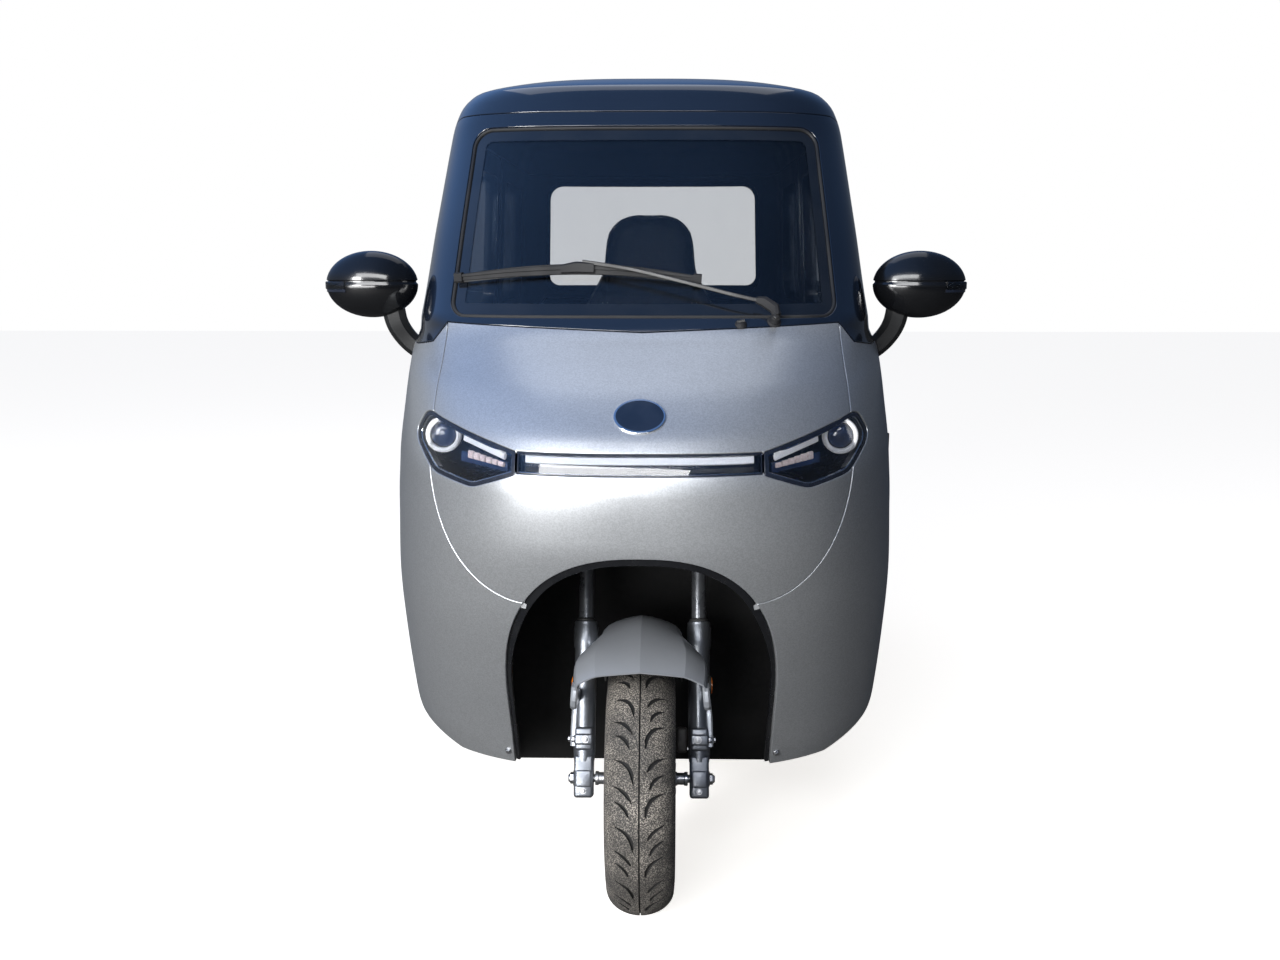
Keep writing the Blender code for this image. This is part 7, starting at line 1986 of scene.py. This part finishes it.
loops = []
for mirror in (1, -1):
    for points, width in GROOVES:
        low = points[0][1] if mirror > 0 else {0.004: 0.06, 0.05: 0.0045, 0.0785: 0.03}[points[0][1]]
        moved = [(a, b - points[0][1] + low) for a, b in points]
        for slim in (0.0, 0.0007):
            loops.append([vec(mirror * p.x, p.y) for p in comma(moved, width, slim)])
centre_lines = (-0.0013, -0.0009, 0.0009, 0.0013)
levels = sorted(set([*np.linspace(-TREAD_EDGE, TREAD_EDGE, 23)[:11], *centre_lines, *np.linspace(-TREAD_EDGE,
    TREAD_EDGE, 23)[12:]]))
rows = np.linspace(0, PITCH_LENGTH, 14)
flat, faces = triangles(loops, levels, rows)
centres = np.array([flat[list(face)].mean(0) for face in faces])
sunk_in = np.zeros(len(flat), bool)
grooved = np.zeros(len(faces), bool)
for outer, inner in zip(loops[::2], loops[1::2]):
    swollen = np.array([tuple(p) for p in grown(inner, 0.0001)])
    sunk_in |= inside(swollen, flat)
    grooved |= inside(np.array([tuple(p) for p in outer]), centres)
sunk_in |= np.abs(flat[:, 0]) < 0.00095
grooved |= np.abs(centres[:, 0]) < 0.0013
tread = bmesh.new()
for pitch in range(PITCHES):
    made = [tread.verts.new(tread_place(x, y + pitch * PITCH_LENGTH, GROOVE_DEPTH if low else 0)) for (x, y),
        low in zip(flat, sunk_in)]
    for face, dark in zip(faces, grooved):
        fresh = tread.faces.new([made[i] for i in face])
        fresh.material_index = 1 if dark else 0
weld(tread, 2e-5)
joined(tread, 8, 40)
walls = bmesh.new()
for side in (-1, 1):
    profile = [(r, side * x) for x, r in [CROWN[-1], *SIDEWALL]]
    spun(walls, profile, Matrix.Rotation(pi / 2, 4, "Y"), 13 * 13)
spun(walls, mm((158, -50), (152.5, -44), (152.5, 44), (158, 50)), Matrix.Rotation(pi / 2, 4, "Y"), 13 * 13)
carcass = as_mesh("carcass", walls)
tread.from_mesh(carcass)
weld(tread, 2e-4)
bmesh.ops.recalc_face_normals(tread, faces=tread.faces)
tread.to_mesh(carcass)
tread.free()
window = [(radius * cos(turn), radius * sin(turn), 0.006) for radius, turn in ((0.056, -0.2), (0.056, 0.2),
    (0.126, 0.42), (0.126, -0.42))]
window_outline = rounded([*window[:3], (0.131, 0.0, 0), window[3]], 5)
BARREL = mm((158, 44.2), (158, 47.5), (157, 49.8), (154.5, 50.5), (150, 49.8), (147.5, 47), (144, 38),
    (132, 24), (131, 0), (132, -24), (144, -38), (147.5, -47), (150, -49.8), (154.5, -50.5), (157, -49.8),
    (158, -47.5), (158, -44.2), (151.7, -44.2), (148, -34), (140, -21), (140, 21), (148, 34), (151.7, 44.2))
for label, body, x, station, bore in (("front", "front_wheel", 0, 0, 0.0082), ("rear_left", "rear_wheel_left",
        -WHEEL_X, WHEELBASE, 0.0101), ("rear_right", "rear_wheel_right", WHEEL_X, WHEELBASE, 0.0101)):
    centre = at(x, station, AXLE_Z)
    work = bmesh.new()
    work.from_mesh(carcass)
    bmesh.ops.translate(work, verts=work.verts, vec=centre)
    add_piece(f"{label}_tyre_tread", work, [tyre_rubber, groove_rubber_painted_shade], body, "tyre_rubber",
        [f"{label}_tyre"], 38)
    spin = Matrix.Translation(centre) @ Matrix.Rotation(pi / 2, 4, "Y")
    work = bmesh.new()
    spun(work, BARREL, spin, 80, closed=True)
    hub = [(bore, -0.0558), (0.03, -0.0558), (0.032, -0.0545), (0.0345, -0.03), (0.04, -0.0105),
        (0.04, 0.0105), (0.0345, 0.03), (0.032, 0.0545), (0.03, 0.0558), (bore, 0.0558)]
    spun(work, hub, spin, 48, closed=True)
    turns = [tau * k / 5 for k in range(5)]
    holes = [[vec(p.x * cos(t) - p.y * sin(t), p.x * sin(t) + p.y * cos(t)) for p in window_outline]
        for t in turns]
    plate(work, circle(0.1335, 80), holes + [circle(0.035, 40)], -0.0095, 0.0095, spin, 0, 0.0028)
    valve = spin @ vec(0.128 * cos(0.628), 0.128 * sin(0.628), 0.012)
    rod(work, valve, valve + (spin.to_3x3() @ vec(-0.01, -0.007, 0.02)), 0.0028, 16, 0.0004, 1)
    add_piece(f"{label}_rim_cast", work, [rim_silver, seal_rubber], body, "cast_alloy", [f"{label}_rim"])


# Studio. A pale floor under soft light, with a white background behind it, and the camera where the
# photographer stood: low, close and almost straight ahead of the nose.
def watched(tree):
    """The kinds of ray, and which see white: those straight from the camera or from it through glass."""
    rays = add_node(tree, "ShaderNodeLightPath")
    bounces = maths(tree, "ADD", rays["Diffuse Depth"], rays["Glossy Depth"])
    through = times(tree, rays["Is Transmission Ray"], maths(tree, "LESS_THAN", bounces, 0.5))
    return rays, maths(tree, "MAXIMUM", rays["Is Camera Ray"], through)


floor_mesh = bpy.data.meshes.new("studio_floor")
floor_mesh.from_pydata([(-14, -10, 0), (14, -10, 0), (14, 18, 0), (-14, 18, 0)], [], [(0, 1, 2, 3)])
floor = linked("studio_floor", floor_mesh)
floor_finish, tree, shader = finish("studio_floor", (0.8, 0.8, 0.8), 0.9, Emission_Color=(1.0, 0.975, 0.94,
    1))
rays, seen = watched(tree)
tree.links.new(times(tree, seen, 0.8), shader["Emission Strength"])
dull = mixed(tree, rays["Is Glossy Ray"], (0.17, 0.167, 0.164, 1), (0.09, 0.088, 0.086, 1))
tree.links.new(mixed(tree, seen, dull, (0.8, 0.8, 0.8, 1)), shader["Base Color"])
floor_mesh.materials.append(floor_finish)

world = bpy.data.worlds.new("studio_light")
world.use_nodes = True
bpy.context.scene.world = world
tree = world.node_tree
background = tree.nodes["Background"]
rays, seen = watched(tree)
way = add_node(tree, "ShaderNodeSeparateXYZ", {0: add_node(tree, "ShaderNodeTexCoord")["Generated"]})
sky = mixed(tree, ramp(tree, way["Z"], 0.02, 0.6), (0.24, 0.26, 0.29, 1), (0.17, 0.34, 0.74, 1))
soft = mixed(tree, rays["Is Glossy Ray"], (0.26, 0.29, 0.34, 1), sky)
soft = mixed(tree, ramp(tree, way["X"], -0.7, 0.7, 0.0, 0.85), soft, (0.02, 0.03, 0.05, 1))
tree.links.new(mixed(tree, seen, soft, (1, 1, 1, 1)), background.inputs["Color"])

for name, place, target, width, length, power in (("key_light", (-2.9, -5.0, 2.1), (0, -0.5, 0.7), 1.1, 1.1,
        150), ("nose_light", (-2.2, -5.1, 1.1), (0, -0.9, 0.72), 3.4, 1.4, 205),
        ("hood_light", (-0.9, -4.6, 2.8), (0, -1.0, 0.9), 3.6, 0.8, 100), ("top_light", (0.0, 1.4, 5.2),
        (0, 0.2, 0.9), 3.6, 3.6, 28)):
    lamp = bpy.data.lights.new(name, "AREA")
    lamp.shape = "RECTANGLE"
    lamp.size, lamp.size_y = width, length
    lamp.energy = power
    stand = linked(name, lamp)
    stand.location = place
    stand.rotation_euler = (Vector(target) - Vector(place)).to_track_quat("-Z", "Y").to_euler()

view = bpy.data.cameras.new("camera")
view.lens = 34.9
view.sensor_width = 36
camera = linked("camera", view)
camera.location = EYE
camera.rotation_euler = (radians(80), 0, radians(1.15))
bpy.context.scene.camera = camera
bpy.context.scene.view_settings.view_transform = "Standard"
